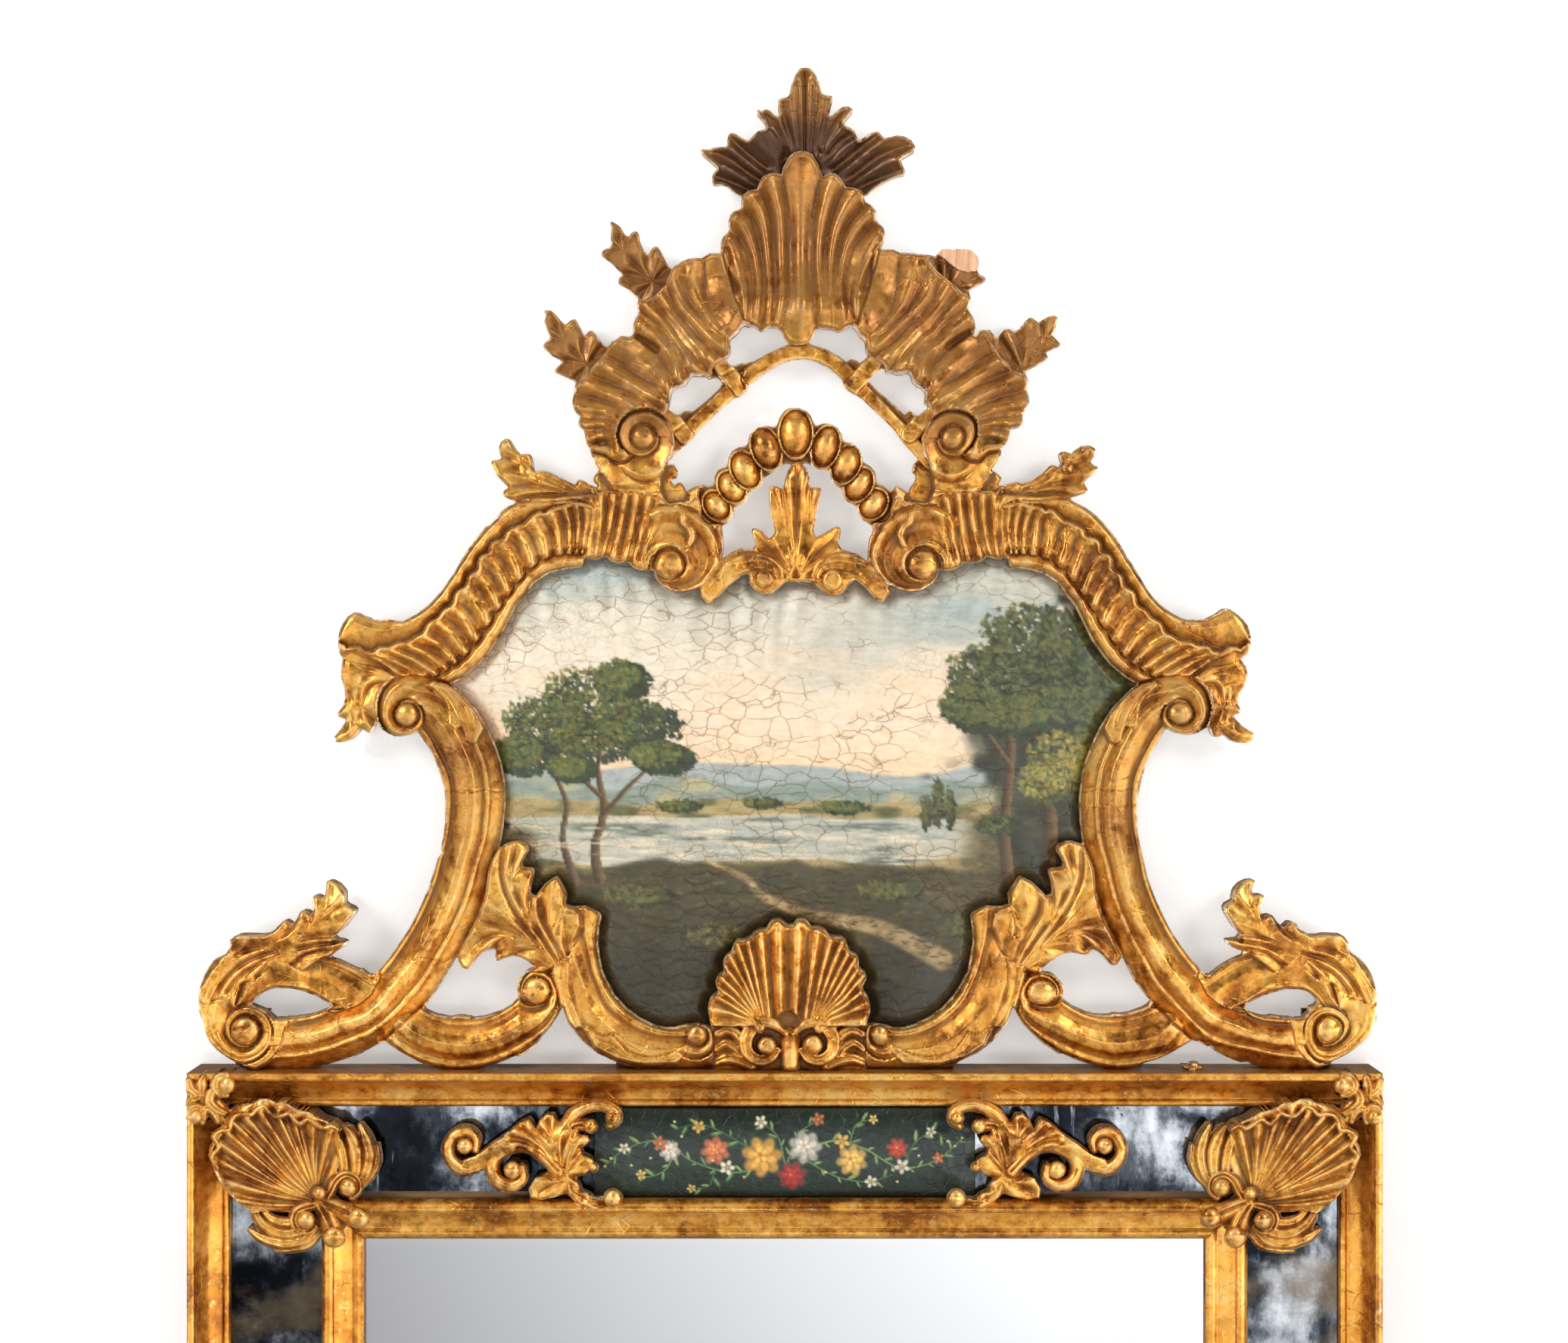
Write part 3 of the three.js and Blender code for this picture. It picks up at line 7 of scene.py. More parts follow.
import bpy
import numpy as np
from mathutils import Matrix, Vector


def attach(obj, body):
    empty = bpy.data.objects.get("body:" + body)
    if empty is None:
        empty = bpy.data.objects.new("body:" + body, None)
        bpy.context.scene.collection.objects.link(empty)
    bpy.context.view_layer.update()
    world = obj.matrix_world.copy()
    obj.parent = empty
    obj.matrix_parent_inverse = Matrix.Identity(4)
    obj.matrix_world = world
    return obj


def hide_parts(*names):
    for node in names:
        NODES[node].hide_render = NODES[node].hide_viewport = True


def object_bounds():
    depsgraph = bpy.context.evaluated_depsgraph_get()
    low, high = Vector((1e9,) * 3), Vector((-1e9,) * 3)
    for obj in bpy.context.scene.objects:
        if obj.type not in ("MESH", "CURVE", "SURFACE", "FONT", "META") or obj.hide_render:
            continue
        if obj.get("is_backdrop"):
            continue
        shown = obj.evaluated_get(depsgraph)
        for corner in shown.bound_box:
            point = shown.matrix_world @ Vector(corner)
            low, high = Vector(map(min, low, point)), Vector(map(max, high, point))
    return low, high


# outlines of the carved pieces, front view
OUTLINES = {
    "crown_shell": [
        "1063.6,198.4 1073.2,202.8 1081.3,216.7 1086.8,232.1 1087.8,232.4 1095.2,228.2 1103.6,228.4 1111.2,234.8 1117.6,246.4 1127.8,247.2 1138.2,250.8 1141.6,256.4 1141.6,260.7 1143.8,266.2 1151.7,271.3 1157.6,278.4 1158.2,290.8 1167.3,300.7 1168.9,306.1 1169,315 1167.6,320.6 1164.6,327.2 1165.8,330.9 1164.2,334.2 1159.6,354.6 1156.2,364.2 1149.6,388.6 1135.2,430.2 1132.1,431.8 1128.6,429.4 1126.4,429.4 1119.7,431.7 1110.6,437.6 1108,438 1104.4,437.6 1101.6,435.4 1096.8,434.2 1083.2,432.2 1078.4,436.4 1074.6,444.6 1068.6,452.6 1061.8,454.8 1053,456 1041.3,452.7 1036.4,446.6 1031.2,435.8 1026.6,431.4 1014.2,432.2 1007.2,437.2 1005.1,437.8 1002.8,436.2 997.6,430.4 982.4,425.6 978.8,421.2 974.9,408.1 967.4,388.6 956.2,350.8 952.2,334.9 952.9,331 952,321 953.1,316.1 955.4,312.4 961.7,306.7 963.6,303.6 962.2,292.2 965.4,283.4 969.8,278.8 976.6,276.6 979.6,273.6 980.2,263.2 981.8,256.8 988.4,251.4 1000.4,249.4 1003,242 1007.4,233.4 1009,232 1018.1,228.1 1026.8,228.2 1032.6,230.2 1034.4,221.4 1040.8,208.8 1048.8,200.8 1057.4,198.4",
    ],
    "plume": [
        "1064,86.1 1067,87 1074.6,93.4 1079,100 1082.6,108.4 1084.2,117.8 1086.3,122.7 1088.4,124.6 1097.8,126.2 1099.6,127.4 1099.8,131.8 1095.2,149.2 1096.3,152.7 1098.2,153.1 1107.8,144.8 1112.4,141.4 1115.4,140.4 1120.8,140.2 1126.2,142.8 1126.6,145.6 1116.4,158.4 1115.2,162.8 1117.4,165.6 1123.6,168.4 1128.7,172.3 1133,182 1134.8,184.2 1137.2,184.2 1151.7,174.7 1158,173 1161.2,173.8 1166.8,180.2 1169.2,181.8 1186.9,178.2 1197.6,180.4 1204.2,184.8 1209.6,192.4 1208.6,197.6 1193.4,206.4 1190.2,210.2 1190.4,212.6 1195.8,224.2 1195.6,229.6 1193.8,230.8 1186.4,232.4 1174,238 1158.4,247.4 1147.2,257.2 1142.8,258.8 1141.6,260.8 1143.4,265.6 1149.2,269.8 1149.8,271.1 1149.2,273.2 1147.6,274.6 1143.1,274.9 1134.4,271.6 1130.8,269.2 1127.5,264.5 1125.6,263.4 1115.2,262.8 1109.4,260.6 1105.4,257.6 1098.5,245.6 1090.6,248.6 1087,249 1081.4,247.6 1076.4,244.6 1071.7,238.3 1068.6,228.4 1064.6,219.4 1061.6,215.4 1058.2,215.2 1053,220 1050.4,225.4 1047.6,236.6 1043.6,242.6 1039.3,245.3 1033.9,246.9 1030.2,246.8 1022.8,244.2 1020.4,244.4 1018.4,247.4 1015.3,256.3 1012.2,261.2 1006.6,264.6 996.4,267.4 992.2,273.2 988,276 982.8,277.8 980.4,277.6 979.2,275.9 979.9,262.1 978.2,258.8 966.4,251.6 960.6,246.4 953.8,244.2 947.2,244.8 942.4,243.6 941.4,242.6 941.2,232.2 943.4,227.4 947.6,223.6 947.6,220.4 942.7,215.3 929.3,203.7 926.4,199.6 926.5,197.4 929.1,196.1 937.8,196.8 943.1,194.1 958.6,193.6 960.8,190.8 961.2,183.2 962.4,178.4 966.2,175.2 970.3,175.7 985.4,184.6 988,184.9 990.7,183.7 995.8,177.8 1001.8,172.8 1010.2,170.2 1011.8,167.8 1011.6,163.4 1009.2,158.8 1000.8,149.2 1000.4,145.4 1002.9,144.2 1007,146.6 1010.4,144.4 1013.8,144.2 1017.2,145.8 1025.8,153.2 1027,153.6 1028.7,152.7 1029.9,149 1028.1,139.9 1028.4,132.4 1032.4,129.4 1040.6,127.6 1042.6,125.6 1043.8,122.8 1045.2,112.2 1050.7,98.7 1057.8,88.8 1061.4,86.4",
    ],
    "sprig_upper_left": [
        "809.6,292.4 817.7,297.3 820.2,299.8 825.8,309.2 828.4,311.6 831.2,311.2 834.8,306.8 837.4,305.4 840.8,305.2 842.7,306.3 844.6,310.4 845.2,316.8 847.4,322.6 851.4,331.6 854.8,335.2 856,335.6 857.7,334.7 859.8,329.8 863.8,325.8 866,325.1 868.6,325.4 870.6,327.4 881.4,347.6 886.2,353.7 888.2,354.1 893.2,350.2 896.6,350.4 898,352 898.9,356.9 896.6,365.6 886,386 869,403 853,408.9 843.3,405.7 842,402 843.4,394.8 842.7,393.2 831.2,382.8 817.4,374.6 817.4,368.4 821.5,363.6 820.6,360.4 808.7,348.3 795.4,337.6 795.1,334.1 796.3,331.3 799.4,328.4 806.2,326.2 807.8,323.8 807,313 807.7,300 806.1,295 807.4,292.5",
    ],
    "sprig_lower_left": [
        "725.9,409.1 728.2,409.8 733.8,414.2 741.3,423.7 746.2,427.8 748.6,427.6 753.4,423.4 757.4,421.4 761.2,421.8 771.3,441.7 773.6,442.5 778.8,436.8 782.6,436.4 787.2,440.8 794.8,452.2 800.3,458.4 803.2,457.2 808.4,451.4 810.6,451.4 812.6,453.4 813.8,457.2 813.8,460.8 808.6,473.6 794.8,488.8 780.7,507.7 775.2,513.2 766.6,519.6 762,520.9 759.4,519.6 759.1,512.1 760.4,505.8 758.2,502.8 733.8,492.2 733.1,490 733.4,487.4 741.2,480.2 741.6,477.4 739.6,475.4 729.8,470.2 718.4,459.6 718.1,457 718.8,454.8 720.8,451.8 726.2,447.2 726.9,445 721.4,433.6 719.2,426.8 719.2,424.2 721.4,417.8 719.2,412.8 719.4,410.4 720.4,409.4",
    ],
    "sprig_lower_right": [
        "1395.2,416.8 1397.2,418.8 1397.9,421 1394.9,432.9 1390.6,442.8 1400.2,452.8 1400.9,455 1400.2,457.2 1383.3,465.3 1382.5,467.6 1384.6,470.4 1384.8,472.8 1380.2,477.2 1355.8,490.8 1355.4,493.6 1358.9,503 1358.6,505.6 1357.6,506.6 1354.1,506.9 1350.1,505.9 1333.4,498.6 1312.3,477.7 1304.4,465.6 1302.1,460.9 1297.2,443.8 1297.4,436.4 1300,435.1 1303.2,436.4 1307.6,435.4 1315.3,444.7 1317.8,446.4 1324.3,438.3 1328.4,434.4 1332.8,434.2 1340.3,437.6 1343.6,436.6 1349.7,430.7 1354.8,423.8 1360.4,419.4 1362.8,419.2 1365,420 1372,425.7 1385.4,417.4 1391.4,416.4",
    ],
    "sprig_upper_right": [
        "1252.9,328.1 1258.1,329.8 1265,328 1280.8,329.2 1286.2,331.8 1292.3,338.7 1293.9,345 1291.5,358.6 1295.4,362.6 1300.7,365.3 1302.8,368.9 1300.6,371.6 1283.4,381.4 1280.8,383.8 1280.4,385.7 1283,395 1281.9,399.9 1280.6,401.6 1276.4,401.6 1264.8,396.2 1253.2,384.8 1234.3,370.7 1227.8,364.2 1221.7,356.3 1217.2,340.8 1217.9,336.9 1220.1,336.1 1227.9,336.1 1235.6,338.5 1245.4,328.4",
    ],
    "pearl_arch": [
        "1055.8,538.2 1066.6,543.4 1071.6,549.4 1075.8,559.2 1078.4,561.6 1080.8,561.8 1087.2,559.2 1092.9,559.1 1099.3,560.7 1106.2,564.8 1112,573 1113.2,579.8 1114.8,582.2 1117.2,583.8 1124.8,585.2 1128.3,586.7 1135.2,592.8 1138.6,599.4 1140.8,610.2 1150.2,615.8 1156,622 1157.8,627.2 1158.2,634.8 1160.3,638.7 1168.2,641.8 1175.6,648.3 1176.7,648.4 1180.1,646.2 1182.1,646.9 1184.4,652.6 1189.2,657.8 1189.8,659.9 1186.2,672.2 1184.6,682.6 1180.6,690.6 1177.2,694.2 1165.8,698.8 1154.9,698.1 1152.9,695.1 1140.8,687.2 1137,682 1130.5,668.5 1119,663 1115.8,660.2 1111.5,645.5 1101.4,639.6 1099,637 1096.8,625.2 1095.4,621.6 1081.4,620.6 1066.2,611.5 1061.2,613.2 1058.6,615.6 1049,617.9 1045.9,617.1 1044.7,613.2 1038.3,612.6 1010.1,631.1 1006.7,640.7 990.1,650.1 986.6,661.6 985.2,663.2 971.6,670.6 969.2,682.2 961.2,691.2 954.6,694.6 953.8,698.8 952.6,700.6 936.4,700.6 929.4,697.6 922.8,692.2 918.2,682.8 918.5,669.2 916.2,661.1 922.6,653.6 926.9,639.9 929.6,639.4 933.8,642.4 941.2,640.2 943.6,636.6 944.2,629.2 947.4,622.4 950.4,619.4 958,616 961.2,613.2 962.4,605.4 966.4,597.4 968.8,594.8 974.1,591.1 984.8,588.8 986.7,587.7 988.6,584.6 989.2,579.2 991,574 999,566 1005.4,563.4 1012.1,562.1 1021.1,563.9 1025.2,563.2 1026.9,560.9 1030.4,550.4 1035.4,543.4 1039.4,540.4 1044.4,538.4",
    ],
    "rocaille_left": [
        "957.2,325.8 961.6,331.4 977.4,386.6 983.6,402.4 987.4,414.6 989.9,419.1 991.5,426.6 989.9,427.8 983.9,426.2 981.8,426.8 978.4,430.4 975.2,436.2 964.8,444.8 964,448 964.9,453.1 964.9,460.9 963,467 958.2,472.2 950.8,475.8 942.8,481.8 940.4,485.4 940.8,489.9 938.2,497.2 935.4,497.6 930.8,494.2 914.4,493.4 904.2,506.2 891.7,510.7 888.3,513.3 886.2,517.2 883.6,532.6 881.3,539.3 877.6,546.2 885,560 889.6,571.4 890.9,581.1 890.8,585.8 887.8,599.8 881.6,613.2 883.1,613.9 889,613.1 891.2,613.8 895.9,622.1 895.6,630.6 893.8,631.8 888.8,632.8 887.4,634.4 887.4,636.6 892,640.6 896.4,637.4 899.6,637.4 903.2,640.8 906.4,646.6 908.2,648.4 920.7,641.7 922.9,641.2 924.1,641.9 924.9,645 923,654 924.8,662.2 924.6,664.6 918.6,669.6 911.8,672.8 900,672 884,674 878,672 870.6,665.4 861.6,661.4 848.2,660.8 839.8,657.2 829.1,657.1 819,659 806.9,657.1 801.1,657.1 792.8,660.8 789.2,660.8 786.3,659.7 783.4,657.6 778.4,649.6 776.1,643 776.9,640.9 779,640.1 783.6,641.4 786.4,643.5 789.1,642.2 788.7,640.2 784.4,636.6 784.1,632.1 785.4,628.4 791.4,621.2 785.4,611.6 778.6,592.4 774.4,585.6 771.3,568.7 769.7,566.3 765.8,563.2 764.4,560.6 764.2,558.2 766.5,550.4 759.8,543.2 757.4,538.6 756.1,531 758.8,518.8 759.4,510.4 771.2,500.2 784.8,481.8 798.2,467.2 802.4,458.4 809.3,450.3 813.6,448.6 821.2,443.2 830.9,444.8 836.2,442.2 836.9,440 836.1,435 837.2,427.2 839.7,419.7 842.8,414.8 842.1,400.1 843.9,394.9 845.9,394.2 852.8,396.4 863.7,391.7 875.6,379.6 885,362 887.8,354.8 891.8,350.8 896.2,349.2 900.8,344.8 910.2,341.2 920,340 926.8,340.8 938.2,334.2 950.6,334.6 952.8,331.8 952.2,327.1 953.4,325.4",
    ],
    "rocaille_right": [
        "1164.6,321.5 1165.5,322.4 1164.6,327.7 1166.4,329.5 1179.9,329.1 1190.2,333.8 1206.9,334.1 1214.1,335.8 1217.9,335.2 1228.1,336.9 1232.4,350.6 1238.8,358.2 1260.2,374.8 1271.8,386.2 1276.6,387.4 1282.6,392.4 1282.8,396.8 1279.1,408 1281.4,412.6 1285,417 1287.8,424.2 1289,432 1287.2,440.1 1287.8,442.2 1289.2,443.4 1290.2,443.1 1294.3,437.3 1298.4,435.4 1300.8,435.2 1303.3,436.4 1308.1,436.9 1313.4,456.6 1321.8,470.2 1339.8,488.2 1355,495 1357.3,497.7 1358.9,504 1356.1,514 1359.8,524.2 1359.9,532.9 1358.7,535.7 1354.9,538.8 1354.6,542.6 1351.5,546.4 1351.6,558.6 1350.2,561.2 1348,563 1337.1,566.1 1334.8,567.8 1333.3,580.3 1329.2,587.2 1323.4,593.4 1322.8,599.8 1321.3,604.3 1317.6,611.6 1311.5,619.4 1312.3,621.7 1319.2,625.8 1323.3,630.7 1323.6,633.6 1319.6,639.2 1320.3,640.7 1321.8,641.4 1329.9,640.1 1332.1,640.9 1332.8,642.1 1329.2,650.2 1323.7,656.7 1319.3,659.3 1314.2,659.8 1306,657 1289,659 1278.9,657.1 1269.2,657.2 1259.8,660.8 1246.4,661.4 1236.4,665.4 1229.6,671.6 1223,674 1207,672 1195.2,672.8 1189.8,670.2 1181.4,662.6 1181.2,660.2 1183.7,652 1182.1,645 1182.9,641.9 1185.6,641.4 1198.8,650.4 1200.6,648.6 1202.8,642.8 1208.6,635.6 1209.6,629.3 1206.4,623.6 1206,621 1207.9,611.9 1210,611.1 1212.6,611.4 1218.4,616.6 1223.2,618.8 1226.8,618.8 1229.4,617.5 1229.3,615.7 1221.4,600.6 1218.1,577.1 1233.4,546.2 1229.7,539.3 1227.6,533.4 1222.4,529.6 1223.8,517.9 1223,515 1218.2,509.8 1213.4,507.6 1206.8,502.2 1202.7,491.3 1200.8,490.2 1198,490 1192.8,491.8 1186,492 1178.9,490.1 1173,490.9 1170.9,490.1 1169.8,482.2 1168.2,479.8 1162.6,475.4 1155.4,472.6 1147.4,466.6 1144.2,459.8 1143.6,447.4 1136.8,441.2 1130.2,430.8 1126.5,427.6 1126.4,425.4 1139.6,386.6 1146.4,361.4 1149.6,352.6 1155.1,329.1 1162.4,321.4",
    ],
    "strap_lattice": [
        "1069.6,453.4 1074.4,455.6 1091.3,460.7 1108.6,470.4 1116.4,476.6 1119,477.7 1123.4,474.4 1126,474.1 1131.3,475.7 1135.4,478.6 1138.2,478.2 1148.4,468.8 1145.1,462 1145.8,459.8 1148.2,458.2 1151.8,458.2 1155.6,459.4 1160.4,463.6 1168.2,466.8 1172.7,470.3 1178.6,476.4 1179.9,481.1 1179.6,488.6 1177.8,489.8 1172.2,490.8 1168.8,487.2 1165.8,486.9 1157.8,491.8 1150.3,499.3 1149.2,501.2 1149.2,504.8 1156.3,512.7 1185.2,537.8 1194.4,547.6 1196.6,547.6 1199.8,543.8 1202,543.1 1204.2,543.8 1209.4,548.6 1213.6,548.6 1225.6,539.6 1225.6,537.4 1222.2,528.8 1223.9,522.9 1227,522.1 1230.9,523.1 1235.7,527.3 1242.6,541.4 1243.9,547 1242.3,552.3 1237,561 1228.3,579 1231.4,597.6 1238.3,610.7 1239.9,616 1238.6,621.6 1233.2,627.2 1228.8,628.8 1221.2,628.8 1213.4,625.6 1208.8,621.2 1207.2,618.8 1207.2,613.2 1209.8,609.8 1211.5,604.4 1193.8,585.2 1189.4,579.6 1184.2,570.8 1172.2,557.8 1138.7,526.3 1121.3,515.7 1116.4,510.6 1111.2,500.8 1104.7,494.3 1094.6,486.4 1079,478 1070.8,475.2 1063,474.1 1044.2,476.2 1028.4,482.4 1019.4,487.4 1004.4,497.4 996.6,504.6 990.8,506.8 988.4,509.4 987.2,515.2 981.7,520.7 977.6,523.6 970.8,525.8 957.8,535.8 923.8,567.8 917.8,574.8 916.2,578.2 909.7,584.7 896.8,594.8 890.2,601.2 886.8,602.8 883.2,608.2 881.1,608.8 878.8,607.2 877.1,601 880.8,583.8 879.8,575.2 876.3,565.7 869,553 867.4,548.6 867.2,545.2 868.7,540.7 871.8,535.8 876.3,531.3 881.9,529.2 883.1,529.9 883.8,531.9 881.8,539.6 893.4,547.6 897.6,547.6 903.4,543.4 909.2,542.2 915.8,543.8 939.2,524.2 951.2,512.2 953.9,507 953.2,503.8 949.2,499.8 946,499.1 940.4,500.6 934.8,497.2 930.4,492.6 930.1,485.1 931.4,480.4 933.8,476.8 939.8,470.8 946.4,466.4 952.1,464.1 956.1,463.1 960.3,463.7 962.2,464.8 962.8,466.9 958.5,472.4 958.7,474.3 963.3,480.7 968.9,483.8 980.4,479.4 984.8,480.4 990.4,478.4 995.6,477.6 1013.3,467.3 1042.2,454.2 1045.8,454.2 1052.8,456.5 1067.4,453.4",
    ],
    "palmette": [
        "1058.6,610.4 1060.8,614.2 1066,619 1069.8,631.2 1070.6,643.4 1082.8,644.2 1084.2,644.8 1085.6,647.4 1075.2,699.2 1075.8,705.2 1078.4,707.6 1081.8,707.8 1095.6,700.6 1101.4,696.4 1106,695.1 1109.2,695.8 1110.8,698.2 1110.8,704.8 1109.6,711.6 1106.6,715.8 1111.8,725.2 1132.6,731.4 1146.2,741.3 1146.9,739.9 1147.4,728.4 1150,727.1 1153.6,728.4 1158,733 1166.8,752.2 1173.8,760.2 1181.6,767.4 1183.6,771.4 1183.5,773.6 1181.9,774.8 1176.9,773.2 1174.9,773.8 1174.4,775.7 1176.8,780.2 1176.6,782.6 1169.2,793.2 1165.9,795.8 1157.8,792.2 1144.2,776.8 1130.8,765.6 1125.8,768.8 1121.3,773.3 1113.2,784.2 1103.8,786.8 1099.2,786.8 1096.3,785.7 1085.8,780.2 1075.6,770.4 1068,769 1037.2,769.2 1020.6,783.6 1009.1,784.9 1001.7,782.3 996.8,779.2 990.4,770.6 989.8,759.2 987.2,758.2 980.8,759.8 967.8,769.8 941.2,795.2 936.8,796.8 933.4,796.6 927.1,787.9 925.2,779.9 925.1,775.8 923.1,775.2 918.1,776.8 916.5,775.6 916.4,773.4 918.4,769.4 925.2,763.2 943.2,740.2 946.8,733.8 951.4,729.4 953.6,729.5 954.6,730.4 954.1,737 954.8,738.3 966.4,729.4 978.4,724.4 984.9,724.1 993.2,725.4 994.7,724.7 998.7,719 993.2,702.8 993.2,700.2 994.8,697.8 997.6,697.4 1006.2,700.8 1016.2,711.4 1022.2,706.2 1023.8,702.1 1016.1,666.9 1016.2,644.2 1018.2,642.2 1025.9,642.1 1034.6,646.2 1037.4,632.4 1041.3,621.3 1046.3,613.3 1052.4,610.4",
    ],
    "c_scroll_left": [
        "561.9,891.1 583.6,896.4 593.6,901.4 607.7,913.3 628.2,935.8 641.6,957.4 653.6,981.4 662.6,1007.4 666.9,1033.1 668,1061 664.8,1092.8 661.8,1110.8 659.2,1118.8 659.8,1119.4 665.9,1117.2 667.1,1117.9 667.8,1119.9 657,1141 653.4,1150.4 648.8,1185.8 638.6,1213.6 617.3,1256.3 610.6,1267.6 608.1,1268.8 604.2,1264.9 602.3,1265.3 597.6,1274.6 577.6,1307.6 560.2,1330.2 530.7,1357.7 510.2,1375.2 504.7,1376.7 478.3,1391.3 453.7,1402.7 447.3,1407.3 442.4,1408.4 440.6,1410.2 441.5,1414.6 439.8,1415.8 316.4,1415.6 311.4,1408.6 310.2,1403.9 311.3,1401.3 314.4,1399.4 331.2,1395.2 345.5,1385.5 352.6,1376.6 354.8,1371.8 356.5,1360.8 354.1,1352 355.8,1346.8 358,1346.1 361.8,1347.4 366,1346 372,1346.7 377.2,1345.2 391.9,1343.9 410.8,1340.8 430.6,1333.6 436.2,1330.2 438.3,1327.8 434.4,1324.6 434.4,1322.4 435.8,1320.8 459.6,1314.6 464.6,1312.6 477.2,1302.2 484.8,1288.8 486.9,1288.2 489.8,1289.4 492.8,1288.8 494.8,1285.8 501.7,1280.7 514.6,1265.6 540.6,1226.6 552.6,1203.6 560.6,1185.6 565.9,1172.9 578.4,1134.4 584.6,1126 582.1,1121 585.8,1103.8 587.9,1086.9 588,1053 586.8,1042.2 582.8,1026.2 577.6,1011.4 570.6,995.4 563.6,983.4 553.7,969.3 550,966.4 542.6,970.6 531,973 521.2,972.8 514.4,969.6 505.8,964.2 502.4,960.6 498.4,951.6 495.1,934.9 495.1,929.1 497.2,916.2 502.3,906.3 505.4,903.4 515.4,897.4 527.4,892.4 536.4,891.4",
    ],
    "c_scroll_right": [
        "1561,891 1571.8,892.2 1587.6,899.4 1598.6,907.4 1602.8,920.2 1604,931 1598.6,956.6 1594.2,961.2 1583.7,967.7 1578.8,969.8 1571.9,970.9 1565.1,970.9 1555.4,968.6 1543.8,962.2 1540.3,963.3 1520.7,996.7 1514.4,1010.4 1511.4,1019.4 1506.2,1040.2 1503.1,1057.1 1502.9,1067.9 1502,1074 1502.9,1080.1 1503.1,1092.9 1506.2,1113.8 1517.2,1160.8 1528.4,1190.6 1545.4,1225.6 1558.4,1246.6 1573.8,1267.2 1582.2,1275.8 1585.3,1280.7 1592.5,1287.5 1596.2,1289.4 1599.1,1288.2 1601.7,1289.3 1608.8,1302.2 1618.8,1311.2 1623.1,1313.9 1644.6,1319.4 1649.2,1321.8 1649.5,1324.6 1645.8,1327.8 1644.6,1330.2 1646.8,1333.2 1656.4,1339.6 1672.2,1343.8 1675.8,1343.8 1682,1342.1 1692.1,1343.9 1706.8,1345.2 1714.2,1347.4 1718.1,1346.1 1723.7,1346.4 1726.1,1345.2 1728.2,1345.8 1729.6,1348.4 1729.9,1351.9 1727.3,1361 1728.2,1369.8 1730,1376 1737.5,1385.5 1743.8,1390.2 1751.7,1395.3 1760.1,1397.9 1760.8,1400.8 1758.4,1404.4 1758.2,1407.8 1759.8,1410.2 1764.5,1412.4 1764.5,1414.6 1763.6,1415.6 1579.4,1415.6 1578.4,1414.6 1578.2,1412.2 1578.9,1410.9 1581.1,1410.1 1599,1410 1612,1411 1619,1410 1650.9,1409.9 1653.7,1408.7 1654.1,1406.8 1650.8,1404.2 1646,1403.1 1640.2,1403.8 1631.1,1400.9 1610.4,1391.6 1604.3,1387.7 1599.8,1381.6 1595.4,1382.6 1583.6,1376.4 1576.7,1374.4 1572.4,1374.6 1555.3,1359.7 1529.2,1334.8 1520.3,1331.7 1519.2,1329.1 1521.7,1325 1520.6,1322.4 1510.8,1311.2 1499.4,1295.6 1484.6,1266.4 1483.2,1265.6 1478,1267.9 1475.4,1266.6 1451.4,1216.6 1441.2,1185.8 1437.6,1150.4 1433.3,1138.7 1425.6,1121.4 1422.2,1115.9 1423.4,1113.5 1429,1114.7 1430.7,1113 1427.1,1085.9 1426,1055 1428.2,1033.2 1433.2,1008.2 1443.4,981.4 1454.7,958.7 1470.3,935.3 1490.8,913.8 1505.4,901.4 1515.4,896.4 1536.4,891.4",
    ],
    "fluted_scroll_left": [
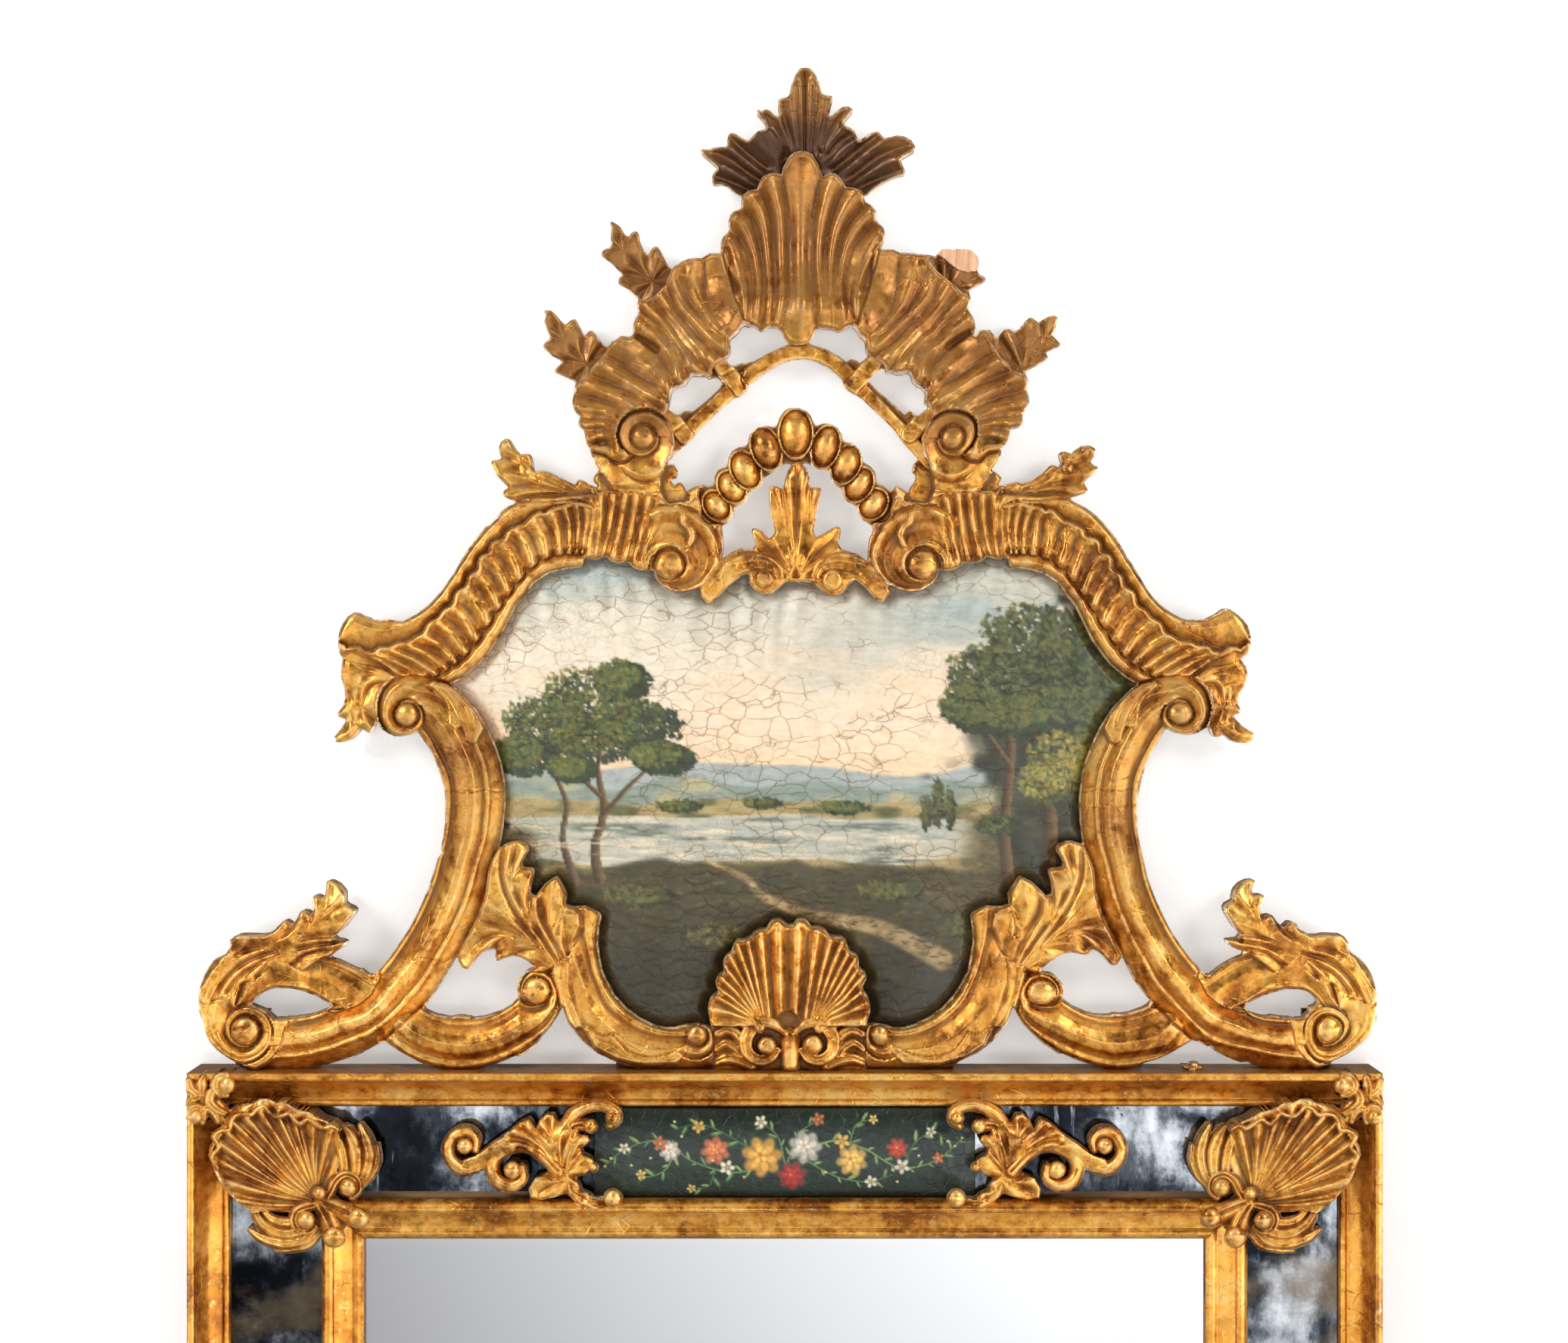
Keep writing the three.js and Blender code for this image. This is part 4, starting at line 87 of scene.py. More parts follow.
        "670.9,579.1 673.2,579.8 680.4,591.6 686.4,598.6 689.1,599.8 696,599 700.2,599.8 702.8,606.2 704.4,617.6 705.4,620.6 707.4,622.6 709.8,622.8 717,621 724.6,622.4 758.3,639.6 760.7,638.7 763.8,633.8 767.6,633.4 772.6,635.4 777,639 784.2,641.8 791.1,651.6 798.1,648.1 808.9,648.1 819,649.9 827.1,648.1 841.8,648.2 850.2,651.8 863.6,652.4 875.6,657.4 882.8,664.2 885,664.9 897.1,663.1 910.8,663.4 920.4,656.4 922.6,656.5 923.8,658.2 926.8,668.2 926.2,680.8 929.4,687.6 934,691 938.4,692.6 950.8,692.2 952.7,693.3 953.8,695.2 955.9,717.1 955.9,724.9 953.8,738.8 951,745 932.2,769.2 928.2,773.2 917.6,777.6 902.9,780.9 895.1,780.9 885.4,779.6 872.4,771.6 866.4,763.6 864.6,755.4 862.8,753.2 854,754 846.4,753.6 836.4,749.6 830.8,743.2 815.2,743.8 806.4,740.6 800.9,735.2 787.9,738.9 782.2,738.8 773.4,736.5 772.2,738.2 769.6,747.6 767.6,749.6 749.2,751.2 725.7,756.7 704.4,770.4 690.2,790.2 680.4,802.4 666,831 655.6,848.6 645.2,863.2 632.7,877.7 612.6,894.6 600.6,901.6 595.7,902.5 595.6,903.5 603.2,909.8 603.8,911.9 602.6,913.6 599,914.9 593.2,913.8 577.6,907.4 559.9,903.1 540.1,903.1 527.4,905.4 519,909 512.4,913.4 509.4,918.4 508.2,922.2 507.1,932.9 508.8,939.2 510.9,953 509.6,957.6 507.7,960.7 505,961.9 502.9,961.1 499.6,954.4 497.2,952.6 495.4,954.4 493.3,961.3 489.6,967.6 486.4,967.6 479.6,963.5 478.3,963.4 475.8,964.8 467.2,974.2 463.7,976.7 451.8,980.8 444.4,980.6 442.4,978.6 441.4,973.4 450.2,963.2 456.8,952.9 455.2,949.8 447.4,946.6 446.1,944 447.4,940.4 453.3,932.3 455.9,922.9 455.9,916.1 454.8,909.2 451.2,896.8 450.1,890 452.8,869.2 448.7,863.3 447,856 447.2,840.2 450.4,828.4 453,823 459.3,814.3 469.1,808.2 473.6,809.4 476.4,811.6 486.6,815.4 490.2,817.8 495.8,818.2 500,819.7 514,818.1 532.7,820.6 552.2,810.2 567.7,797.7 579.7,784.7 585.6,777.6 600.6,755.6 608.4,741.4 619.4,724.4 635.8,702.8 641.8,695.8 646.2,694.2 656.2,685.2 661.8,675.8 664.3,673.3 671,669 678.6,665.6 680.5,663.6 680.2,661.8 678.6,660.4 669.4,657.6 665.8,655.2 665.1,652.9 665.4,648.4 670.2,645.2 671.4,643.2 655.8,628.2 649.2,612.8 649.2,610.2 650.4,608.4 653.2,607.2 659.8,606.8 662.5,604.6 659.2,595.8 659.2,590.2 661.8,583.8 667.4,579.4",
    ],
    "fluted_scroll_right": [
        "1439.8,588.2 1444.6,590.4 1447.2,592.8 1447.8,594.9 1445.9,602.9 1441.4,610 1444.4,613.6 1450.1,615.9 1450.8,619.8 1442.7,628.7 1437.8,631.8 1432.5,637.4 1432.5,638.6 1436.8,645.2 1436.8,648.8 1435.7,650.7 1417.4,656.4 1415.8,657.8 1415.5,659.6 1417.4,661.6 1435,671 1442.2,675.8 1451.7,683.3 1461.2,693.8 1475.6,711.4 1489.4,735.6 1497.6,747.4 1515.4,777.6 1524.3,789.7 1532.8,798.2 1546.4,808.6 1558.7,815.3 1568.2,818.5 1577,818.1 1580.8,819.4 1593.8,817.8 1608.6,810.6 1618.4,803.4 1624.8,804.2 1637.7,813.3 1643.2,818.8 1649.6,827.4 1652.9,841 1652.2,845.9 1652.9,851.9 1651.8,857.8 1648.7,864.7 1639.6,871.2 1646.6,880.4 1648.8,889.2 1648.8,893.8 1645.6,905.6 1640,914 1636.2,923.2 1636.2,930.8 1638.9,936.1 1639.6,940.6 1637.6,942.6 1632.4,943.4 1630.4,946 1632.8,950.2 1640.8,958.2 1648.4,963.6 1656.2,967.8 1656.9,970 1655.6,973.3 1655.8,976.8 1654,979 1645.8,981.8 1638.2,981.8 1628,979 1621.2,972.8 1616.9,970.2 1610.6,973.6 1605.4,973.6 1602.4,970.6 1598.6,961.4 1596.8,959.6 1590.6,963.6 1586.9,963.1 1586.1,960.9 1586.2,956.2 1591.7,931 1590.8,922.2 1587.7,914.3 1574.6,906.4 1568.8,904.2 1559.9,903.1 1540.1,903.1 1519.1,908.1 1504.8,914.8 1499.2,914.8 1496.4,913.6 1495.2,911.9 1495.8,909.8 1503.3,903.6 1503.1,902.8 1498.4,901.6 1487.4,894.6 1468.8,879.2 1458.8,867.2 1443.4,845.6 1421.6,801.4 1409.4,785.6 1399.6,770.4 1378.3,756.7 1354.8,751.2 1336.4,749.6 1334.4,746.6 1332.6,738.4 1330.9,736.4 1322.8,738.8 1318,739 1304.1,735.2 1298.6,740.6 1289.8,743.8 1273.4,743.4 1268.2,749.2 1257.6,753.6 1250,754 1241.2,753.2 1239.4,755.4 1237.6,763.6 1231.6,771.6 1217.6,779.6 1202,781 1186.2,777.8 1177.6,773.4 1173.4,772.6 1166.3,765.7 1157.8,755.2 1150.6,738.4 1147.8,735.2 1147.1,732.9 1148.2,715.2 1150.1,708.1 1152.8,703.8 1153.9,698 1153.2,693.1 1153.8,691.8 1156.4,690.4 1163.8,690.8 1170.6,688.6 1173.6,686.6 1176.8,679.8 1177.8,675.9 1177.2,672.1 1180.1,663.1 1182,658 1183.8,655.8 1185.9,655.2 1187.2,655.8 1196.4,663.5 1209.9,663.1 1222,664.9 1224.2,664.2 1231.4,657.4 1244.4,652.4 1257.8,651.8 1266.2,648.2 1280.9,648.1 1289,649.9 1299.1,648.1 1309.9,648.1 1316.6,650.5 1323.8,641.8 1326.4,640.4 1344,636.1 1349.2,637.8 1352.8,637.8 1358.6,636.6 1365,634 1377.2,625.2 1388.4,614.4 1392.8,614.2 1398.2,617.4 1399.2,617.1 1401.3,614.3 1402.8,609.9 1400.1,601 1401.8,596.8 1406.9,596.1 1414.4,598.6 1416.6,598.6 1421.4,593.4 1429.4,588.4",
    ],
    "foot_scroll_left": [
        "713.9,1278.1 721.6,1279.4 733.6,1290.4 740.6,1304.4 741.8,1310.2 742.9,1320.9 740.8,1334.8 738.6,1339.6 727.6,1356.6 716.8,1368.8 710.7,1377.7 700.2,1387.2 688.2,1395.2 670.8,1403.8 666.6,1410.2 667.8,1413.9 666.6,1415.6 565.2,1415.8 563.2,1413.9 564.4,1410.2 563.2,1408.8 559.4,1407.6 554.6,1403.4 532.4,1391.6 508.6,1376.4 505.4,1376.4 500.9,1378.8 498.4,1377.6 498.2,1375.2 500,1370 501.8,1366.8 505.8,1362.8 523.7,1347.7 550.8,1322.8 557.2,1320.2 561.3,1320.7 563.8,1323.2 563.6,1325.6 559.4,1332 562.4,1335.6 574.4,1340.6 593.2,1344.8 603.1,1343.1 611,1343 615.3,1344.4 619.8,1344.2 623.9,1345.8 638.8,1343.8 661.6,1336.6 674.2,1329.2 685.1,1317.2 683.2,1308.8 683,1303 685.4,1294.4 694.8,1283.8 704.4,1278.4",
    ],
    "foot_scroll_right": [
        "1373.6,1279.4 1377.4,1284.6 1390.6,1287.4 1396.2,1290.8 1403.2,1298.8 1405.6,1305.4 1405.9,1311.9 1404.1,1318 1405.3,1320.7 1418,1330 1438.2,1338.8 1441.8,1339.2 1446.2,1340.8 1457,1342 1467.9,1341.9 1473,1340.1 1483.8,1340.8 1494.6,1338.6 1511,1333 1518.7,1328.7 1521.6,1325.6 1522.4,1322.4 1524.2,1321.2 1527.6,1321.4 1535.6,1324.4 1562.3,1349.7 1582.2,1366.8 1584.6,1370.4 1584.8,1373.8 1584.1,1375.1 1582,1375.9 1575.4,1374.5 1544.7,1392.7 1528.6,1399.6 1511.4,1404.4 1508.9,1406.8 1508.9,1408.2 1512.1,1409.9 1527.9,1410.1 1533,1411 1561,1411 1567,1410.1 1574,1411 1579.1,1410.1 1586.9,1410.1 1589.6,1411.4 1589.6,1414.6 1587.8,1415.8 1585,1416 1402.4,1415.6 1401.2,1413.1 1403.2,1411.2 1409.1,1410.1 1431.7,1409.4 1433.1,1408.2 1433.1,1406.8 1429.6,1404.4 1412.4,1399.6 1400.3,1393.7 1378.8,1379.2 1371.3,1372.7 1351.3,1352.7 1344.2,1339.8 1342,1318 1345.4,1303.4 1350.4,1294.4 1356.2,1287.2 1364.4,1281.4 1369.4,1279.4",
    ],
    "outer_volute_left": [
        "436,1163.1 439.9,1164.1 446.7,1168.3 453.6,1177.4 454.9,1182.1 455.2,1190.8 456.4,1193.6 458.4,1195.6 465.2,1198.8 468.2,1201.8 468.9,1204 467.2,1208.2 451.7,1227.7 447.2,1232.2 439.9,1236.8 439.9,1238.2 442.2,1239.8 454.6,1241.4 455.8,1243.2 455.9,1245.9 451.7,1252.7 437.8,1261.8 436.6,1263.2 436.9,1264.2 438.4,1265.6 446.3,1267.7 469.4,1278.6 474.2,1280.4 478.3,1280.7 489.3,1289.4 492.8,1288.8 494.8,1285.8 498.8,1282.8 501.6,1282.4 503.6,1284.4 504.9,1289.1 503.3,1296.3 493.2,1315.2 475.6,1329.6 467.6,1333.6 441.9,1339.9 438.2,1339.8 432.1,1337.9 430.2,1335.9 431.3,1333.3 436.2,1330.2 438.2,1327.4 417.3,1315.7 395.8,1308.2 385.9,1306.1 372.1,1305.9 366.1,1305.1 356.4,1307.4 343.4,1314.4 332.8,1323.8 331.6,1326.2 332.8,1328.2 346.6,1334.4 357.2,1342.8 361.2,1347.4 365.1,1346.1 372,1346.7 379.9,1345.1 382.1,1345.9 382.6,1348.6 381,1353 377.2,1358.2 374.8,1375.8 372.6,1382.6 361.2,1398.2 356.6,1402.6 337.6,1414.6 332,1416 316.4,1415.6 311.4,1408.6 309.7,1404.3 295.8,1395.2 287.8,1389.2 282.8,1384.2 276,1375 270.1,1361.9 267.6,1349.4 263.2,1336.8 262,1328 262.2,1312.2 263.4,1306.4 269.7,1288.7 277.4,1275.4 282.2,1269.2 287.4,1265.4 297,1261 299.2,1259.2 302.8,1253.8 303.9,1248 303.4,1242.4 310.4,1236.4 315,1235 343,1236 351.6,1234.6 359.6,1230.6 364.2,1227.2 374.4,1216.4 377.6,1216.4 384.4,1220.6 387.2,1220.2 390.6,1216.6 396.4,1205.4 398.4,1203.4 403.8,1204.2 410.2,1207.4 411.2,1207.1 413.2,1205.2 413.9,1202.9 413.5,1184.4 414.4,1183.4 417,1183 419.6,1183.4 424.2,1185.8 427.7,1184.7 429.6,1181.6 430.8,1175.8 431.2,1166.2 433.4,1163.4",
    ],
    "outer_volute_right": [
        "1656.8,1162.2 1658.8,1164.2 1657.9,1168.9 1654.2,1178.1 1655.3,1180.7 1658.1,1181.9 1668.8,1182.2 1670.5,1183.4 1670.6,1185.6 1666.2,1198.1 1667.2,1207.8 1669.8,1211.2 1671.7,1211.6 1676.2,1209.2 1681.6,1209.4 1688.3,1218.7 1692.8,1223.2 1695.3,1224.6 1697.2,1224.2 1705.4,1218.4 1710.9,1219.1 1714.2,1221.8 1715.8,1226.2 1718.8,1229.2 1722.4,1231.6 1727.3,1232.7 1734.2,1236.8 1742.9,1236.9 1754,1235 1771.9,1235.1 1775,1236 1777.2,1237.8 1782.6,1246.4 1782.1,1253 1782.8,1255.2 1787.8,1260.2 1796.2,1265.8 1804.7,1274.3 1812.3,1286.7 1817.8,1303.2 1819.9,1314.1 1820.1,1323.9 1820.9,1328.1 1818.8,1346.8 1815.6,1356.6 1808.2,1370.2 1797.2,1381.2 1785.6,1389.6 1771.3,1397.3 1761.4,1401.4 1759.3,1403.3 1758.2,1405.2 1758.2,1407.8 1759.8,1410.2 1763.5,1412.4 1763.5,1414.6 1762.6,1415.6 1747.4,1415.6 1743,1414 1733.4,1407.6 1725.8,1402.2 1720.8,1397.2 1711.4,1384.6 1709.4,1379.6 1708.1,1372.9 1706.8,1357.2 1703.4,1349.6 1703.4,1346.4 1706,1345.1 1714.2,1347.4 1718.1,1346.1 1724.2,1346.1 1732.1,1337.2 1732.8,1331.8 1739.2,1329.2 1742.6,1325.6 1742.6,1323.4 1741.2,1320.8 1730.6,1311.4 1723.6,1308.4 1715,1307 1699.1,1307.1 1685.4,1310.4 1667.4,1316.4 1646.8,1326.8 1644.6,1330.7 1649.2,1334.8 1649.8,1336.9 1647.6,1339.6 1643.1,1339.9 1617.4,1333.6 1611.8,1331.2 1592.8,1315.2 1581.7,1294.3 1580.2,1289.8 1580.2,1287.2 1581.4,1283.4 1583.4,1281.4 1586.2,1281.8 1592.5,1287.5 1596.8,1289.4 1614.4,1275.4 1626.4,1268.4 1641.3,1262.3 1646.1,1259.2 1646.1,1257.8 1644.6,1256.4 1635.4,1254.6 1628.4,1251.6 1622.4,1245.6 1622.4,1242.4 1624,1241 1637.6,1238.6 1640.2,1237.2 1641.4,1235.2 1633.8,1227.2 1626.4,1215.6 1620.7,1206.3 1619.1,1200 1621.8,1194.8 1630.2,1189.2 1632.1,1178.1 1636.8,1170.8 1641.4,1166.4 1649.4,1162.4",
    ],
    "u_scroll_left": [
        "685.6,1111.4 694.6,1115.4 696.8,1118.2 697.6,1124.6 691.7,1134.7 689.1,1141 690.6,1145.4 702.6,1147.4 704.6,1150.4 704.8,1154.8 702.2,1164.2 701.1,1174.1 701.1,1178.9 702.1,1180.9 706.7,1183.3 708.5,1183.3 711.8,1177.8 721.3,1166.3 732.8,1158.8 734.9,1158.2 737.6,1160.4 748.6,1180.4 746.6,1195.4 753.1,1197.9 772.8,1197.2 792.6,1206.4 794.8,1210.9 791.2,1226.2 790,1246 792.2,1264.8 795.2,1280.8 801,1295 812.4,1315.6 828.3,1332.7 845.7,1345.3 862.4,1353.6 877.2,1357.8 890.9,1357.9 906.2,1354.2 922.9,1353.1 937.6,1358.4 940.2,1360.8 941.8,1364.2 943,1371 943,1412 942.1,1415.1 938,1416 822.4,1415.6 821.2,1413.1 822.5,1409.4 820.2,1406.8 789.4,1391.6 773.8,1379.2 766.8,1372.2 750,1351 743.9,1331.1 742.8,1330.3 741.6,1330.6 740.6,1335.6 738.9,1336.8 736.8,1336.2 734,1333 733.1,1330 734.7,1320 733.8,1312.2 732.6,1306.4 726.6,1294.4 718.6,1287.4 706.2,1285.8 702.8,1284.2 701.4,1282.6 701.5,1280.4 706.3,1277.2 696.6,1269.4 686.6,1264.4 679,1263 664.1,1267.1 659.6,1269.6 656.4,1269.6 654.8,1268.2 654.1,1265.9 654.8,1256.2 653.7,1254.3 652.2,1253.6 644.4,1255.4 637.8,1258.8 628.3,1268.3 622.2,1277.2 618.6,1280.6 615.4,1280.6 610.8,1278.2 606.4,1270.6 604.4,1262.4 610.3,1252.3 630.3,1212.3 639.6,1187.6 641.8,1177.8 645.2,1149.2 648.4,1140.4 657,1123 659.3,1120.3 669.7,1113.7 679.4,1111.4",
    ],
    "u_scroll_right": [
        "1414.9,1111.1 1420.8,1112.2 1431.2,1115.8 1433.3,1118.7 1441.6,1137.4 1445.8,1149.2 1449.4,1184.6 1459.4,1214.6 1481.8,1262.2 1481.6,1265.6 1476.2,1274.2 1471.9,1275.9 1467.8,1275.2 1460.7,1266.3 1454.7,1260.3 1450,1257 1445,1255.1 1442.3,1256.3 1439.6,1260.6 1435.8,1261.8 1430.2,1261.8 1425.8,1260.2 1415,1258.1 1406.4,1260.4 1396.4,1265.4 1382.8,1274.8 1375.8,1280.8 1375.1,1286.1 1366.7,1289.7 1361.3,1293.3 1353.4,1305.4 1350.1,1319.1 1352,1334 1351.6,1337.6 1350.2,1340.2 1347.8,1341.8 1344.9,1341.1 1343.4,1336.6 1338.3,1330.8 1330.6,1351.6 1312.7,1374.7 1303.2,1383.2 1292.2,1391.2 1272,1400 1267.4,1402.4 1264.9,1404.8 1264.6,1405.8 1265.8,1407.2 1270.6,1408.4 1273.4,1410.6 1280.6,1411.5 1281.8,1413.9 1280.6,1415.5 1149,1416 1144.9,1415.1 1144,1412 1144,1368 1145.2,1356.2 1146.3,1354.3 1149.1,1353.1 1156.9,1353.1 1165.8,1354.2 1181.1,1357.9 1194.8,1357.8 1209.6,1353.6 1225.7,1345.7 1244.7,1332.7 1260.6,1315.6 1270,1301 1279.6,1281.6 1285.9,1245.9 1284.9,1226.1 1282.2,1210.9 1284.4,1206.4 1304.2,1197.2 1325.9,1197.9 1334.4,1195.4 1332.4,1180.4 1345.8,1160.8 1349.1,1158.2 1365.2,1165.8 1379.7,1180.3 1381.6,1183.4 1383.6,1183.6 1389.9,1180.9 1391,1177 1389.9,1165.1 1386.4,1154.6 1386.2,1151.2 1389.4,1147.4 1402.9,1145.9 1404.8,1144.8 1405.8,1141.8 1405.6,1139.4 1402.6,1133.4 1397.7,1126.3 1397.2,1120.2 1399.8,1115.8 1410.4,1111.4",
    ],
    "bottom_shell": [
        "1030.6,1215.4 1040.4,1222.6 1044,1223 1048.4,1222.4 1052.4,1216.4 1058.1,1215.1 1063.3,1215.7 1067.7,1218.3 1072.4,1225.6 1081.8,1226.2 1090.6,1229.4 1096.4,1237.6 1100.2,1238.8 1110.9,1239.1 1113.2,1239.8 1118.6,1244.4 1120.4,1252.6 1123.4,1258.6 1131,1262 1133.6,1264.4 1134.9,1268.1 1134.7,1277.3 1138.3,1282.7 1143.6,1286.4 1144.8,1288.2 1144.8,1293.8 1140.4,1302.4 1140.2,1308.8 1147,1318 1149.9,1327.1 1149.8,1336.8 1146.2,1350.2 1144.1,1367.1 1144,1412 1143.6,1414.6 1142.6,1415.6 948,1416 945.2,1415.8 943.4,1414.6 942.9,1370.1 937.2,1345.8 935.1,1331 937.8,1320.8 940.8,1317.8 946.6,1314.6 949.6,1311.9 946.4,1303.6 945.2,1297.1 947.8,1291.8 956.6,1285.6 955.4,1270.4 958.3,1265.3 965.6,1259.6 968.7,1249.7 972.8,1243.8 975.1,1243.1 984.6,1242.6 992.2,1238.2 994.4,1234.4 996.7,1232.7 1004.2,1229.2 1012.4,1228.4 1015.4,1222.4 1019.3,1217.3 1025.4,1215.4",
    ],
    "canvas": [
        "806.6,722.4 818.4,729.6 835.8,730.2 849.6,739.4 862.9,739.1 870,741 874.9,745.1 881.3,759.7 889.8,765.2 900.8,766.8 924.8,761.2 931.6,763.4 943.1,770.6 948.1,769.1 972.4,748.4 988,744.1 993.8,745.2 999.6,748.4 1002.8,754.2 1005.5,765.5 1012.1,769.6 1016.5,768.5 1026.9,758.9 1033.7,755.7 1067,755 1082,758 1095.5,769.5 1101.8,770.7 1106.6,768.6 1120.9,754.9 1130.1,751.3 1138.9,754.1 1156.4,766.6 1161.2,766.1 1169.7,760.7 1176.9,759.2 1192.3,764.7 1206.7,766.7 1214.9,764.9 1221.6,760.6 1229.5,744.5 1236.2,740.2 1254.4,739.4 1268.4,730.4 1275.1,729.1 1287.4,729.4 1295.7,723.7 1302.3,721.4 1319.1,724.7 1334.3,722.7 1341.1,725.9 1349.2,735.8 1382.6,743.4 1409.2,759.8 1432.6,792.4 1454.1,835.9 1469.4,857.6 1491.9,880.1 1514.1,893.9 1517.7,903.1 1515.3,911.3 1497.3,927.3 1479.2,947.2 1464,971 1447.1,1011.1 1442.3,1035.3 1440.1,1058.1 1441.1,1082.9 1444.7,1112.1 1442.3,1121.3 1437.9,1125.9 1425.2,1130.2 1421.5,1133.5 1416.3,1153.3 1404.9,1163.8 1404.5,1182.5 1402.3,1188.3 1398.9,1191.9 1386.3,1197.3 1378.7,1197.3 1371.9,1194.1 1361.1,1181.9 1354.6,1180.6 1349.2,1185.2 1348.3,1198.3 1342.9,1206.9 1328.7,1211.7 1306.4,1212.4 1301.4,1215.4 1299.1,1222.1 1299.7,1248.7 1292.6,1286.6 1281.3,1309.3 1272.4,1323.4 1252.6,1344.6 1235.9,1355.9 1217.3,1365.3 1196.7,1371.7 1179.2,1371.8 1163.7,1368.3 1145.3,1367.6 1139.4,1365.6 1135.1,1361.9 1132.3,1354.7 1135.9,1330.1 1126.7,1312.3 1126.4,1291.6 1118.9,1275.1 1106.7,1257.3 1102.2,1253.8 1088.1,1248.9 1078.4,1240.6 1069.7,1239.3 1058.8,1235.3 1043,1237 1030.1,1234.4 1018.3,1241.3 1007.2,1244.2 997.6,1251.6 983.5,1258.5 972.5,1273.5 969.8,1289.8 962.6,1301.6 963.7,1312 962.6,1317.6 959.6,1322.6 952.4,1328.4 950.4,1332.4 953.9,1357 952.6,1363.6 949.1,1369.1 939,1372.7 918.9,1367.2 891.9,1371.9 872.9,1371.1 856.7,1366.3 834.2,1354.8 818.3,1342.7 801.1,1323.9 788.4,1300.6 780.8,1281.2 776.1,1246.9 777.6,1220.1 775.2,1214.8 769.8,1212.2 749.5,1211.5 740,1208 735.5,1204.5 730.6,1195.4 726.4,1192.6 721.6,1192.6 712.8,1196.8 707.1,1197.7 699,1195 690.5,1189.5 687.2,1180.8 687.4,1163.6 678.4,1152.6 673.5,1136.5 668.4,1132.6 659.3,1132.6 652.7,1130.3 648.5,1126.5 645.7,1120.3 651.8,1082.8 653.9,1052.1 649.1,1011.9 640.8,987.2 631.3,967.7 617.1,944.9 601.2,926.8 584.5,912.5 581.7,906.3 581.7,900.7 586.4,892.4 608.1,880.1 620.7,869.7 634.1,854.1 646.9,835.9 669.5,793.5 695.9,758.9 721.4,743.4 754.8,735.8 763.4,726.4 769.2,723.2 774.9,722.3 785.9,724.7 797.5,721.5",
    ],
    "canvas_opening": [
        "802.1,735.9 806.5,740.5 816.5,744.3 830.7,743.3 836.5,749.5 847.8,754.1 863.3,753.7 866.5,763.5 871.4,770.6 885.4,779.6 900.8,781.4 924.5,775.6 927.5,788.5 934.9,797.3 941.7,794.7 977.8,761.8 987.9,758.3 989.6,759.4 990.3,769.7 992.8,774.2 998.4,780.6 1009.2,785.3 1021.1,783.1 1037.3,769.3 1067,769 1075.5,770.5 1086.4,780.6 1101.5,787.3 1113.1,784.1 1121.8,772.8 1130.8,765.8 1144.7,777.3 1157.3,791.7 1166.7,796.2 1177.2,781.4 1174.6,775.7 1175.5,773.6 1186.2,777.8 1201.5,781.3 1216.8,779.8 1232.1,771.1 1237.5,763.5 1239.5,755.5 1241.3,753.3 1256.2,754.1 1268.1,749.1 1273.5,743.5 1289.2,744.1 1298.5,740.5 1304.2,735.4 1318,739 1330.9,736.6 1336.4,749.6 1354.8,751.2 1377.6,756.4 1399.1,769.9 1421.6,801.4 1443,845 1458.8,867.2 1470.3,880.7 1482.8,891.2 1498.4,901.6 1502.9,902.9 1469.8,935.8 1455,958 1443.4,981.4 1433.2,1008.2 1427.1,1042.1 1426,1067 1430.4,1113.5 1428.3,1114.4 1412.2,1110.7 1398.2,1117.2 1396.6,1124.6 1403.3,1134.7 1405.7,1141.8 1403.6,1145.6 1390.3,1147.3 1385.6,1151.4 1389.8,1164.2 1390.3,1180.3 1382.3,1183.5 1365.2,1165.8 1348.3,1157.8 1332.7,1179.7 1334.6,1194.1 1333.7,1195.7 1325,1198 1304.2,1197.2 1284.9,1205.9 1282.3,1210.9 1284.9,1226.1 1285.9,1245.9 1279.6,1281.6 1270,1301 1260.6,1315.6 1244.2,1333.2 1227.6,1344.6 1212.3,1352.3 1194.8,1357.8 1181.1,1357.9 1165.8,1354.2 1146.6,1353 1149.9,1335.9 1149.8,1326.2 1147,1318 1140,1307 1140.4,1302.4 1144.8,1293.8 1144.7,1288.3 1135.4,1278.6 1134.3,1265.7 1131.8,1262.2 1123.4,1258.6 1117.7,1243.3 1111.7,1239.3 1097.2,1237.8 1091.1,1229.9 1085.6,1227.4 1072.5,1225.5 1067.4,1217.6 1061.9,1215.1 1052.5,1216.5 1048.3,1222.3 1044,1223 1039.8,1222.2 1029.1,1214.7 1019.3,1217.3 1012.3,1228.3 1003.4,1229.4 997.3,1232.3 991.6,1238.6 985.3,1242.3 972.9,1243.9 968.7,1249.7 965.5,1259.5 957.4,1266.4 955.2,1272 956.4,1285.5 947.9,1291.9 945.3,1297.1 949.4,1311.9 938.1,1320.1 935.2,1330.2 939.3,1358.1 921.2,1352.6 890.9,1357.9 876.4,1357.6 861.7,1353.3 846.3,1345.7 828.8,1333.2 812.8,1316.2 805,1303 795.4,1281.6 792.1,1263.9 790,1239 794.7,1210.9 792.1,1205.9 772.8,1197.2 754,1198 747.3,1195.7 746.4,1194.1 748.5,1180.4 735.7,1157.8 721.3,1166.3 708.4,1183.2 701.7,1180.3 702.1,1165.1 705.4,1151.4 702.5,1147.5 691.4,1145.6 689.3,1141.8 697.5,1124.6 696.3,1116.7 683.2,1110.6 670.4,1113.4 661.7,1118.4 659.8,1117.7 665.9,1084.9 668,1049 662.8,1008.2 653.6,981.4 642,958 628.2,935.8 614.7,920.3 595.9,903.2 617.2,891.2 630.8,879.8 645.2,863.2 658,845 680.4,802.4 705.4,769.4 726.4,756.4 749.2,751.2 767.7,749.7 773.5,736.7 787,739 799.4,735.5",
    ],
}


